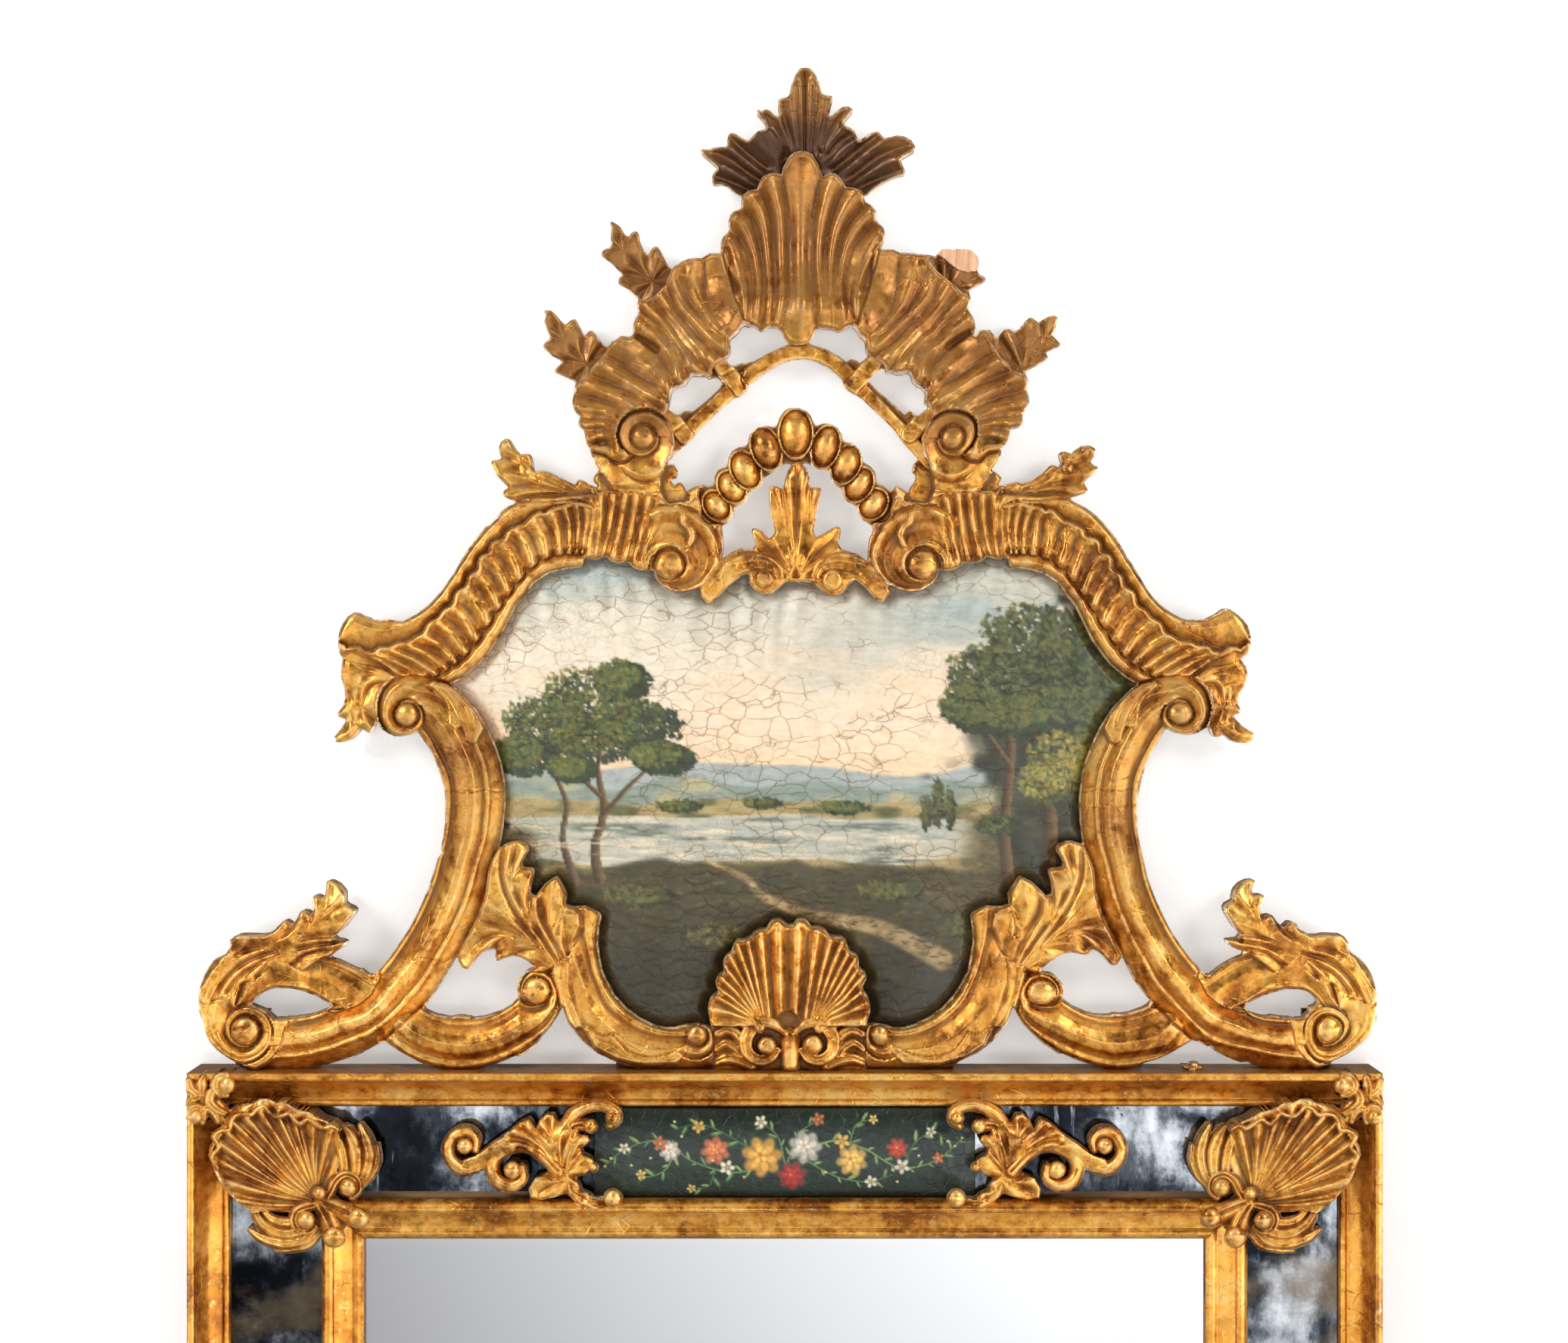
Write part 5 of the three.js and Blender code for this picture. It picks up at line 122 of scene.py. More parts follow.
# ---------------------------------------------------------------- carving kit
# Every carved piece is a relief: a height above the wall over a fine grid, cut to its outline.
STEP = 1.5           # grid step, in drawing units (0.8 mm)
UNIT = 0.8           # mm per drawing unit at the wall plane
EYE_X, EYE_Y, EYE_Z, REF = -0.8, 2875.0, 486.0, 2800.0


def arr(s):
    return np.array([[float(v) for v in p.split(",")] for p in s.split()])


def place(px, py, t):
    """Drawing coordinates and height above the wall to millimetres."""
    k = UNIT * (EYE_Y - t) / REF
    return EYE_X + (px - 1036.0) * k, EYE_Z - (py - 887.0) * k


def near(P, L):
    """Distance to a polyline, place along it, side of it, and its length."""
    L = np.asarray(L, float)[:, :2]
    A = L[:-1]
    E = L[1:] - A
    l2 = (E * E).sum(1) + 1e-9
    le = np.sqrt(l2)
    cum = np.concatenate([[0.0], np.cumsum(le)])
    n = len(P)
    D, S, T = np.empty(n), np.empty(n), np.empty(n)
    for i in range(0, n, 12000):
        p = P[i:i + 12000]
        rx = p[:, 0, None] - A[:, 0]
        ry = p[:, 1, None] - A[:, 1]
        t = np.clip((rx * E[:, 0] + ry * E[:, 1]) / l2, 0, 1)
        dx = rx - t * E[:, 0]
        dy = ry - t * E[:, 1]
        q = dx * dx + dy * dy
        j = q.argmin(1)
        r = np.arange(len(p))
        D[i:i + 12000] = np.sqrt(q[r, j])
        S[i:i + 12000] = cum[j] + t[r, j] * le[j]
        T[i:i + 12000] = np.sign(E[j, 0] * dy[r, j] - E[j, 1] * dx[r, j])
    return D, S, T, cum[-1]


def inside(P, rings):
    c = np.zeros(len(P), bool)
    for R in rings:
        A, B = R, np.roll(R, -1, 0)
        for i in range(0, len(P), 12000):
            p = P[i:i + 12000]
            y = p[:, 1, None]
            up = (A[:, 1] > y) != (B[:, 1] > y)
            xx = (B[:, 0] - A[:, 0]) * (y - A[:, 1]) / (B[:, 1] - A[:, 1] + 1e-12) + A[:, 0]
            c[i:i + 12000] ^= ((up & (p[:, 0, None] < xx)).sum(1) % 2).astype(bool)
    return c


def spline(pts, step=3.0):
    """A smooth curve through the points; further columns go along."""
    P = np.asarray(pts, float)
    if len(P) < 3:
        n = max(2, int(np.hypot(*(P[-1, :2] - P[0, :2])) / step))
        t = np.linspace(0, 1, n)[:, None]
        return P[0] * (1 - t) + P[-1] * t
    E = np.vstack([2 * P[0] - P[1], P, 2 * P[-1] - P[-2]])
    out = []
    for i in range(1, len(E) - 2):
        a, b, c, d = E[i - 1], E[i], E[i + 1], E[i + 2]
        n = max(2, int(np.hypot(*(c - b)[:2]) / step))
        for k in range(n):
            t = k / n
            q = 0.5 * (2 * b + (c - a) * t + (2 * a - 5 * b + 4 * c - d) * t * t + (3 * b - a - 3 * c + d) * t ** 3)
            q[2:] = b[2:] * (1 - t) + c[2:] * t
            out.append(q)
    out.append(P[-1])
    return np.array(out)


def lut(v, table, sig=0.014):
    """A section drawn by a few points, its corners softened."""
    T = np.array(table, float)
    n = 601
    x = np.linspace(0, 1, n)
    h = np.interp(x, T[:, 0], T[:, 1])
    k = int(3 * sig * n) + 1
    w = np.exp(-0.5 * ((np.arange(-k, k + 1) / n) / sig) ** 2)
    w /= w.sum()
    h = np.convolve(np.pad(h, k, mode="edge"), w, "valid")
    return np.interp(np.clip(v, 0, 1), x, h)


def step(a, b, x):
    t = np.clip((x - a) / (b - a + 1e-9), 0, 1)
    return t * t * (3 - 2 * t)


def dome(u):
    return np.sqrt(np.clip(1 - np.clip(u, 0, 1) ** 2, 0, 1))


def smax(a, b, k=1.5):
    return (a + b + np.sqrt((a - b) ** 2 + k * k)) / 2


def smin(a, b, k=1.5):
    return (a + b - np.sqrt((a - b) ** 2 + k * k)) / 2


_lat = {}


def noise(P, size, seed):
    """Smooth random numbers, about -1 to 1, with lumps of that size."""
    if seed not in _lat:
        _lat[seed] = np.random.RandomState(seed).uniform(-1, 1, (257, 257))
    N = _lat[seed]
    x, y = P[:, 0] / size, P[:, 1] / size
    i, j = np.floor(x).astype(int), np.floor(y).astype(int)
    u, v = x - i, y - j
    u, v = u * u * (3 - 2 * u), v * v * (3 - 2 * v)
    i, j, i1, j1 = i % 257, j % 257, (i + 1) % 257, (j + 1) % 257
    return (N[j, i] * (1 - u) + N[j, i1] * u) * (1 - v) + (N[j1, i] * (1 - u) + N[j1, i1] * u) * v


def blur(A, M, s):
    """Gaussian blur of a grid, inside its mask only."""
    k = int(3 * s) + 1
    w = np.exp(-0.5 * (np.arange(-k, k + 1) / s) ** 2)
    w /= w.sum()

    def run(Z):
        Z = np.pad(Z, ((k, k), (0, 0)))
        Z = sum(w[i] * Z[i:i + A.shape[0]] for i in range(2 * k + 1))
        Z = np.pad(Z, ((0, 0), (k, k)))
        return sum(w[i] * Z[:, i:i + A.shape[1]] for i in range(2 * k + 1))
    return run(np.where(M, A, 0)) / np.maximum(run(M.astype(float)), 1e-6)


class Relief:
    def __init__(s, name, rings=(), strokes=(), discs=(), flip=None, g=STEP, back=16.0):
        s.name, s.g, s.back = name, g, back
        rings = [np.asarray(r, float) for r in rings]
        strokes = [spline(q) for q in strokes]
        pts = [r for r in rings] + [np.vstack([q[:, :2] - q[:, 2:3], q[:, :2] + q[:, 2:3]]) for q in strokes]
        pts += [np.array([[x - r, y - r], [x + r, y + r]]) for x, y, r in discs]
        pts = np.vstack(pts)
        x0, y0 = pts.min(0) - 3 * g
        x1, y1 = pts.max(0) + 3 * g
        s.X, s.Y = np.meshgrid(x0 + g * np.arange(int((x1 - x0) / g) + 2), y0 + g * np.arange(int((y1 - y0) / g) + 2))
        P = np.stack([s.X.ravel(), s.Y.ravel()], 1)
        sd = np.full(len(P), 50.0)
        if rings:
            c = inside(P, rings)
            M = c.reshape(s.X.shape)
            for _ in range(3):
                M = M | np.roll(M, 1, 0) | np.roll(M, -1, 0) | np.roll(M, 1, 1) | np.roll(M, -1, 1)
            m = M.ravel()
            d = np.full(m.sum(), 1e9)
            for r in rings:
                d = np.minimum(d, near(P[m], np.vstack([r, r[:1]]))[0])
            sd[m] = np.where(c[m], -d, d)
        for q in strokes:
            m = ((P > q[:, :2].min(0) - q[:, 2].max() - 6) & (P < q[:, :2].max(0) + q[:, 2].max() + 6)).all(1)
            d, a, _, _ = near(P[m], q)
            l = np.concatenate([[0], np.cumsum(np.hypot(*np.diff(q[:, :2], axis=0).T))])
            sd[m] = np.minimum(sd[m], d - np.interp(a, l, q[:, 2]))
        for x, y, r in discs:
            sd = np.minimum(sd, np.hypot(P[:, 0] - x, P[:, 1] - y) - r)
        s.sd = sd.reshape(s.X.shape)
        s.act = s.sd < 2.6 * g
        s.P = P[s.act.ravel()]
        s.d = np.maximum(-s.sd[s.act], 0)
        s.Q = s.P if flip is None else flip(s.P)
        s.H = np.full(len(s.P), 30.0)

    # -- whole-piece shapes
    def edge(s, r=5.0, drop=3.5):
        """Rounded edge all round."""
        s.H = s.H - drop * (1 - dome(1 - s.d / r))
        return s

    def lip(s, at=4.0, w=2.2, h=1.2):
        s.H = s.H + h * np.exp(-((s.d - at) / w) ** 2)
        return s

    def lobes(s, valleys, amp, wref=22.0, where=None, sharp=1.0, soft=0.6):
        """Rounded lobes between valley lines."""
        m = np.ones(len(s.Q), bool) if where is None else where
        D = np.stack([near(s.Q[m], v)[0] for v in valleys])
        D.partition(1, axis=0)
        a, b = D[0], D[1]
        u = (2 * a / (a + b + 1e-6)) ** sharp
        A = amp * np.clip((a + b) / wref, 0, 1)
        f = dome(1 - u) * (1 - soft) + (0.5 - 0.5 * np.cos(math.pi * np.clip(u, 0, 1))) * soft
        s.H[m] += 1.15 * A * (f - 1)
        return s

    def trim(s, line, sign, y0):
        """Cut the outline back to a curve, below a given height."""
        d, _, side, _ = near(s.Q, spline(line))
        v = s.sd[s.act]
        s.sd[s.act] = np.where(s.Q[:, 1] > y0, np.maximum(v, sign * side * d), v)
        s.d = np.maximum(-s.sd[s.act], 0)
        return s

    def groove(s, pts, w, depth, fade=0.0):
        """A cut line; fade lets it run out at its ends."""
        q = spline(pts)
        m = s.near_box(q, w * 3 + 2)
        d, a, _, n = near(s.Q[m], q)
        f = 1.0 if not fade else np.clip(np.minimum(a, n - a) / (fade * n), 0, 1)
        s.H[m] -= depth * f * np.exp(-(d / w) ** 2)
        return s

    def near_box(s, q, r):
        return ((s.Q > q[:, :2].min(0) - r) & (s.Q < q[:, :2].max(0) + r)).all(1)

    def stroke(s, pts, shape="round", k=1.2, foot=None, add=False):
        """A bar along a line. Columns: x, y, half width, height of its top (or what it adds)."""
        q = spline(pts)
        m = s.near_box(q, q[:, 2].max() + 4)
        d, a, side, n = near(s.Q[m], q)
        l = np.concatenate([[0], np.cumsum(np.hypot(*np.diff(q[:, :2], axis=0).T))])
        w, h = np.interp(a, l, q[:, 2]), np.interp(a, l, q[:, 3])
        u = d / np.maximum(w, 0.3)
        f = {"round": lambda u: dome(u), "soft": lambda u: np.clip(1 - u * u, 0, 1) ** 1.5,
             "ridge": lambda u: np.clip(1 - u, 0, 1) ** 0.8,
             "flat": lambda u: np.clip((1 - u) / 0.22, 0, 1) ** 0.5,
             "gouge": lambda u: np.where(u < 0.72, 0.62 + 0.38 * (u / 0.72) ** 2, np.clip((1 - u) / 0.28, 0, 1) ** 0.6),
             "leaf": lambda u: dome(u) * (1 - 0.32 * np.exp(-(u / 0.2) ** 2)),
             }[shape](u)
        i = np.where(m)[0][u < 1]
        f, h, w = f[u < 1], h[u < 1], w[u < 1]
        if add:
            s.H[i] += h * f
        else:
            b = h - (foot if foot is not None else np.minimum(w * UNIT * 0.9, 14))
            s.H[i] = smax(s.H[i], b + (h - b) * f, k)
        return s

    def knob(s, x, y, r, top, rise=None, flat=0.0, k=0.8):
        """A round boss, or an eye."""
        e = np.hypot(s.Q[:, 0] - x, s.Q[:, 1] - y) / r
        i = e < 1
        rise = r * UNIT * 0.8 if rise is None else rise
        f = np.where(e[i] < flat, 1, dome((e[i] - flat) / (1 - flat)))
        s.H[i] = smax(s.H[i], top - rise + rise * f, k)
        return s

    def band(s, A, B, table, sig=0.014):
        da, db = near(s.Q, A)[0], near(s.Q, B)[0]
        v = da / (da + db + 1e-6)
        return lut(v, table, sig), v

    def volute(s, c, tab, table, eye, top, rise=0.0, wref=None, base=None, blend=35.0, dished=0.0):
        """A spiral band: tab holds (angle, outer radius) along the spiral; the table is its section, 0 outside."""
        T = np.array(tab, float)
        g = 1.0 if T[-1, 0] > T[0, 0] else -1.0
        prog = g * (T[:, 0] - T[0, 0])
        x, y = s.Q[:, 0] - c[0], s.Q[:, 1] - c[1]
        r, a = np.hypot(x, y), np.degrees(np.arctan2(y, x))
        p = (g * (a - T[0, 0])) % 360.0
        end = prog[-1]
        R = lambda q: np.where(q <= end, np.interp(q, prog, T[:, 1]), eye)
        done = np.zeros(len(r), bool)
        wgt = np.zeros(len(r))
        H = s.H.copy()
        for n in range(int(end // 360) + 2):
            q = p + 360.0 * n
            R0, R1 = R(q), R(q + 360.0)
            m = (~done) & (r <= R0 + (1.5 if n == 0 else 0)) & (r > R1) & (q <= end + 1)
            wdt = np.maximum(R0 - R1, 1e-3)
            h = lut((R0 - r) / wdt, table)
            lo = min(t[1] for t in table) if base is None else base
            if wref:
                h = lo + (h - lo) * np.clip(wdt / wref, 0.35, 1)
            h = h + rise * q / end
            H = np.where(m, h, H)
            wgt = np.where(m, np.clip(q / blend, 0, 1) if blend else 1.0, wgt)
            done |= m
        wgt = wgt * wgt * (3 - 2 * wgt)
        s.H = s.H * (1 - wgt) + H * wgt
        i = r < eye
        e = r[i] / eye
        s.H[i] = top + 2.2 - 5.0 * e ** 2 - 3.6 * np.clip((e - 0.78) / 0.22, 0, 1) ** 2 - dished * (1 - e ** 2)
        return s

    def sink(s, rings, by=8.0, over=4.0):
        """Below a piece that lies over this one."""
        lo, hi = np.min([r.min(0) for r in rings], 0), np.max([r.max(0) for r in rings], 0)
        m = ((s.P > lo - 1) & (s.P < hi + 1)).all(1)
        if not m.any():
            return s
        c = inside(s.P[m], rings)
        d = np.full(m.sum(), 1e9)
        for r in rings:
            d = np.minimum(d, near(s.P[m], np.vstack([r, r[:1]]))[0])
        s.H[m] -= by * step(0, over, np.where(c, d, 0))
        return s

    def finish(s, seed, rough=1.0, floor=None):
        s.H += rough * (0.55 * noise(s.P, 38, seed) + 0.28 * noise(s.P, 11, seed + 1) + 0.13 * noise(s.P, 4.5, seed + 2))
        s.H = np.maximum(s.H, (s.back + 3) if floor is None else floor)
        Z = np.zeros(s.X.shape)
        Z[s.act] = s.H
        M = s.act
        s.cav = np.zeros(s.X.shape)
        s.cav = (blur(Z, M, 2.0 / s.g) - Z) / 1.0 + (blur(Z, M, 6.5 / s.g) - Z) / 3.2 + (blur(Z, M, 15.0 / s.g) - Z) / 8.0
        s.cav = np.where(M, s.cav, 0)
        s.Z = Z
        return s


def axis_x(y):
    return 1041.0 + (1400.0 - y) * 0.0168


def mirror(P):
    Q = np.array(P, float)
    Q[:, 0] = 2 * axis_x(Q[:, 1]) - Q[:, 0]
    return Q


def densify(R, gap=4.0):
    out = []
    for a, b in zip(R, np.roll(R, -1, 0)):
        n = max(1, int(np.hypot(*(b - a)) / gap))
        for k in range(n):
            out.append(a + (b - a) * k / n)
    return np.array(out)


def spread(P, src, val, sig):
    out = np.empty((len(P), 2))
    for i in range(0, len(P), 8000):
        p = P[i:i + 8000]
        q = (p[:, 0, None] - src[:, 0]) ** 2 + (p[:, 1, None] - src[:, 1]) ** 2
        q = q - q.min(1)[:, None]
        w = np.exp(-q / (2 * sig * sig))
        out[i:i + 8000] = (w @ val) / w.sum(1)[:, None]
    return out


def normals(C):
    t = np.roll(C, -1, 0) - np.roll(C, 1, 0)
    t /= np.hypot(*t.T)[:, None] + 1e-9
    return np.stack([t[:, 1], -t[:, 0]], 1)


def fit_flip(right, left, reach=22.0):
    """The right piece's drawing, laid over the mirrored left one: returns the map from right points to left ones."""
    S = densify(right)
    Dm = mirror(densify(left))[::-1]
    ns, nd = normals(S), normals(Dm)
    cur = S.copy()
    for it in range(26):
        sig = 90.0 * (1 - it / 26) + 16.0
        q = ((cur[:, None, :] - Dm[None]) ** 2).sum(2)
        q = q + 400.0 * (1 - ns @ nd.T)
        j = q.argmin(1)
        v = Dm[j] - cur
        l = np.hypot(*v.T)
        ok = l < reach
        v = v * ok[:, None]
        cur = cur + 0.7 * spread(S, S[ok], v[ok], sig)
    val = cur - S

    def flip(P):
        return mirror(P + spread(P, S, val, 18.0))
    return flip


def notches(ring, turn=24.0, reach=5.0):
    """The inward corners of an outline."""
    C = densify(ring, 1.5)
    n = max(2, int(reach / 1.5))
    a, b = C - np.roll(C, n, 0), np.roll(C, -n, 0) - C
    area = np.sum(C[:, 0] * np.roll(C[:, 1], -1) - np.roll(C[:, 0], -1) * C[:, 1])
    ang = np.degrees(np.arctan2(a[:, 0] * b[:, 1] - a[:, 1] * b[:, 0], (a * b).sum(1))) * -np.sign(area)
    out = []
    for i in np.argsort(-ang):
        if ang[i] < turn:
            break
        if all(np.hypot(*(C[i] - q)) > 6.5 for q in out):
            out.append(C[i])
    return out


def veins(ring, rib, poly=None, lean=1.3, far=90.0, turn=24.0):
    """Lines that leave a rib (base to tip) and run out to the notches of the outline."""
    rib = spline(rib, 2.0)[:, :2]
    N = [q for q in notches(ring, turn) if poly is None or inside(q[None], [poly])[0]]
    out = []
    for q in N:
        d, s0, _, n = near(q[None], rib)
        d, s0 = d[0], s0[0]
        if d < 3 or d > far:
            continue
        cum = np.concatenate([[0], np.cumsum(np.hypot(*np.diff(rib, axis=0).T))])
        at = lambda s: np.array([np.interp(s, cum, rib[:, 0]), np.interp(s, cum, rib[:, 1])])
        p0, p1 = at(max(s0 - lean * d, 0)), at(max(s0 - .35 * lean * d, 0)) * .72 + q * .28
        t = np.linspace(0, 1, 14)[:, None]
        out.append(p0 * (1 - t) ** 2 + 2 * p1 * t * (1 - t) + q * t * t)
    return out


# ---------------------------------------------------------------- the carved pieces
OUT = {n: [arr(r) for r in rings] for n, rings in OUTLINES.items()}
FLIPS = {}


def flip_for(name):
    if not name.endswith("_right"):
        return None
    if name not in FLIPS:
        FLIPS[name] = fit_flip(OUT[name][0], OUT[name[:-5] + "left"][0])
    return FLIPS[name]


def relief(name, back=16.0, **kw):
    return Relief(name, OUT[name], flip=flip_for(name), back=back, **kw)


def pl(s):
    return arr(s)


def fan(R, seed):
    return R.finish(seed)


def crown():
    R = relief("crown_shell", 24)
    x, y = R.Q.T
    R.H = lut((y - 195) / 262, [(0, 50), (.08, 53), (.22, 47), (.42, 41), (.58, 43), (.70, 51), (.77, 58), (.83, 58.5), (.90, 51), (.95, 44), (1, 38)], .025)
    R.H -= 0.03 * np.abs(x - 1062)
    val = ["967,307 978,316 988,335 993,355 995,375 992,400 987,424",
           "981,277 992,286 1000,306 1005,334 1009,362 1010,390 1006,436",
           "1002,249 1012,265 1019,288 1021,316 1023,353 1024,390 1020,430",
           "1033,231 1036,250 1040,278 1042,316 1042,353 1042,390 1032,433",
           "1086,233 1081,250 1076,278 1074,306 1073,344 1074,372 1077,409 1079,433",
           "1117,247 1107,263 1098,288 1092,316 1091,344 1094,372 1098,400 1099,433",
           "1144,268 1128,286 1115,306 1109,327 1104,353 1101,390 1102,436",
           "1158,292 1139,310 1126,329 1120,353 1118,381 1124,409 1130,430",
           "953,318 958,345 966,370 976,398 981,424", "1167,322 1160,345 1152,372 1143,398 1137,428"]
    R.lobes([spline(pl(v)) for v in val], 9.5, 26, soft=.5)
    for pts in ([(956, 352, 6, 0), (962, 366, 9, 0), (970, 380, 11, 0)], [(1155, 342, 6, 0), (1149, 360, 9, 0), (1144, 378, 11, 0)]):
        R.stroke([(a, b, w + 4, 2.2) for a, b, w, _ in pts], "soft", add=True)
        R.stroke([(a, b, w - 1, -7.5) for a, b, w, _ in pts], "soft", add=True)
    R.lip(4.5, 2.0, 1.0)
    R.edge(6, 4.5)
    return R.finish(11)


def plume():
    R = relief("plume", 14)
    x, y = R.Q.T
    rho = np.hypot((x - 1062) * 0.9, y - 300)
    R.H = 23 + 25 * step(60, 185, rho) ** 1.3
    VP = ["1063,90 1063,215", "1052,112 1054,160 1056,215", "1077,112 1074,160 1070,215", "1033,135 1040,165 1050,195",
             "1003,146 1020,165 1035,190", "965,180 985,200 1012,222", "928,198 960,208 1002,238", "945,232 970,242 1000,255",
             "1095,132 1089,165 1080,200", "1122,144 1103,165 1088,192", "1125,178 1105,192 1095,205", "1158,178 1132,200 1102,224",
             "1203,190 1162,206 1122,238", "1192,224 1152,240 1118,256", "1019,172 1035,192 1045,215"]
    R.lobes([spline(pl(v)) for v in VP], 6.4, 20)
    R.groove([(1063, 96), (1063, 205)], 1.6, 1.6)
    R.lip(3.5, 2.0, 1.2)
    R.edge(5, 4)
    R.sink(OUT["crown_shell"], 6, 6)
    return R.finish(21)


ROC_OUT = "953,334 942,333 933,336 928,340 919,340 908,340 902,343 900,353 894,357 885,356 879,360 870,362 859,362 852,368 850,378 851,384 844,392 842,402 844,412 839,420 836,431 838,442 827,446 819,452 810,459 801,461 795,468 783,469 772,472 768,480 770,488 770,494 762,501 759,512 760,520 756,530 757,540 767,550 764,557 766,563 772,568 773,578 779,591"
ROC_IN = "979,422 977,431 970,439 962,444 964,450 965,459 963,467 958,472 950,475 943,480 937,488 928,493 915,492 908,497 902,506 891,509 887,514 885,525 883,533 872,541 855,541 838,550 826,562 820,578 822,592"
ROC_VAL = ["930,338 931,372 934,392 940,414 951,430 964,446", "900,350 896,366 906,390 925,418 948,440 962,446", "885,354 880,372 887,395 895,411 912,428 929,449 946,466 957,474",
           "851,384 868,405 887,431 899,449 917,470 934,490", "844,412 859,422 876,435 889,452 899,470 903,487 909,498",
           "836,440 852,452 868,464 880,485 890,510", "795,466 820,480 845,497 870,512 885,528", "770,490 800,504 830,516 858,531 872,541",
           "760,521 790,528 815,538 832,550", "765,550 790,553 808,556 824,562", "772,568 795,566 820,572", "779,590 800,583 820,580"]


def rocaille(name):
    R = relief(name)
    x, y = R.Q.T
    bowl = pl("782,597 793,598 802,600 806,606 813,610 824,609 834,603 839,597 853,604 866,610 880,600 893,585 894,560 885,543 874,536 893,530 899,560 903,600 899,625 880,650 850,652 820,650 790,625 778,600")
    H, v = R.band(pl(ROC_OUT), pl(ROC_IN), [(0, 47), (.1, 46), (.3, 41), (.5, 43), (.68, 52), (.8, 59), (.9, 61), (1, 56)], .03)
    R.H = H
    low = step(585, 600, y) * step(905, 895, x)
    shell = (y < 600)
    R.lobes([spline(pl(q)) for q in ROC_VAL], 8.5, 30, where=shell, soft=.5)
    R.stroke([(842, 444, 5, -5), (852, 450, 6, -5), (866, 461, 7, -5.5)], "soft", add=True)
    # smooth belly of the scroll below the shell
    b = inside(R.Q, [bowl])
    e = near(R.Q, np.vstack([bowl, bowl[:1]]))[0]
    cx = 42 + 7 * dome(np.clip(np.hypot((x - 838) / 62, (y - 612) / 40), 0, 1))
    cx = cx + 5 * step(20, 3, R.d) * step(596, 604, y)
    R.H = np.where(b & (y > 590), cx, R.H)
    R.groove([(781, 596), (794, 599), (804, 603), (812, 611), (825, 610), (835, 603), (839, 598)], 2.0, 5)
    R.stroke([(781, 591, 4, 50), (792, 593, 5, 52), (803, 595, 6, 52), (813, 602, 6, 52), (825, 601, 6, 53), (835, 594, 5, 54)], "round", foot=6)
    R.volute((850, 577), [(150, 46), (120, 53), (90, 60), (60, 58), (30, 50), (0, 42), (-45, 37), (-90, 36), (-135, 36), (-180, 34), (-225, 30), (-270, 26), (-315, 22.5), (-360, 20)],
             [(0, 44), (.1, 50), (.25, 54), (.45, 53), (.8, 50), (.93, 48), (1, 45)], 16.0, 56, rise=3, wref=18, base=45, blend=70)
    plates = [pl("885,600 897,612 900,626 899,634 909,643 912,662 882,668 868,640"), pl("778,636 783,622 796,626 806,640 812,650 790,655")]
    back = inside(R.Q, plates) & (np.hypot(x - 850, y - 577) > 44) & (y > 596)
    R.H = np.where(back & ((x > 872) | (x < 812)), 31, R.H)
    R.lip(4.0, 1.8, 1.0)
    R.edge(6, 4.5)
    for n in ("crown_shell",):
        R.sink(OUT[n], 7, 5)
    R.sink(OUT["fluted_scroll_" + name.split("_")[1]], 8, 4)
    return R.finish(31 + (name[-1] == "t"))


def lattice():
    R = relief("strap_lattice", 18)
    R.H[:] = 21
    C = [(884, 603), (912, 566), (936, 543), (963, 518), (985, 499), (1010, 481), (1035, 468), (1060, 465), (1085, 469), (1108, 483), (1131, 506), (1155, 532), (1180, 558), (1205, 585), (1232, 615)]
    R.stroke([(a, b, 10.5, 30.5) for a, b in C], "flat", foot=5, k=.4)
    for c in ([(944, 470), (956, 485), (966, 498), (984, 519)], [(876, 545), (890, 557), (907, 578)], [(1163, 472), (1150, 485), (1142, 493), (1126, 511)], [(1236, 541), (1222, 553), (1202, 574)]):
        R.stroke([(a, b, 11.0 + 1.5 * (i >= 1), 33.0 + 1.2 * (i > 0)) for i, (a, b) in enumerate(c)], "flat", foot=6, k=.4)
    for a, b in (((952, 497), (974, 486)), ((888, 572), (908, 557)), ((1132, 487), (1153, 502)), ((1200, 556), (1220, 570))):
        R.groove([a, b], 1.2, 1.4)
    R.groove([(980, 481), (982, 492), (979, 500), (984, 512)], 0.9, 5)
    R.edge(3, 1.6)
    for n in ("rocaille_left", "rocaille_right", "fluted_scroll_left", "fluted_scroll_right"):
        R.sink(OUT[n], 6, 4)
    return R.finish(41, .6)


SPRIG = {"sprig_upper_left": [(812, 300), (820, 325), (835, 345), (862, 372)], "sprig_lower_left": [(722, 412), (735, 435), (750, 455), (775, 482)],
         "sprig_lower_right": [(1401, 410), (1388, 440), (1372, 462), (1350, 488)], "sprig_upper_right": [(1302, 368), (1282, 372), (1262, 380), (1245, 388)]}


def sprig(name):
    R = Relief(name, OUT[name], back=16.0, g=1.2)
    rib = spline(SPRIG[name][::-1])
    d, s, _, n = near(R.Q, rib)
    R.H = 23 + 15 * (s / n) ** 1.5
    R.lobes(veins(OUT[name][0], SPRIG[name][::-1], None, 1.5, 60, 20) + [rib], 5.5, 15)
    R.lip(3.0, 1.6, .8)
    R.edge(4, 3)
    for n2 in ("rocaille_left", "rocaille_right"):
        R.sink(OUT[n2], 6, 5)
    if name == "sprig_upper_right":
        brk = inside(R.P, [BROKEN])
        R.H = np.where(brk, 30 + 1.4 * noise(R.P * [1, .5], 9, 5) + .9 * noise(R.P * [.3, 1.2], 4, 6), R.H)
    return R.finish(51 + len(name))


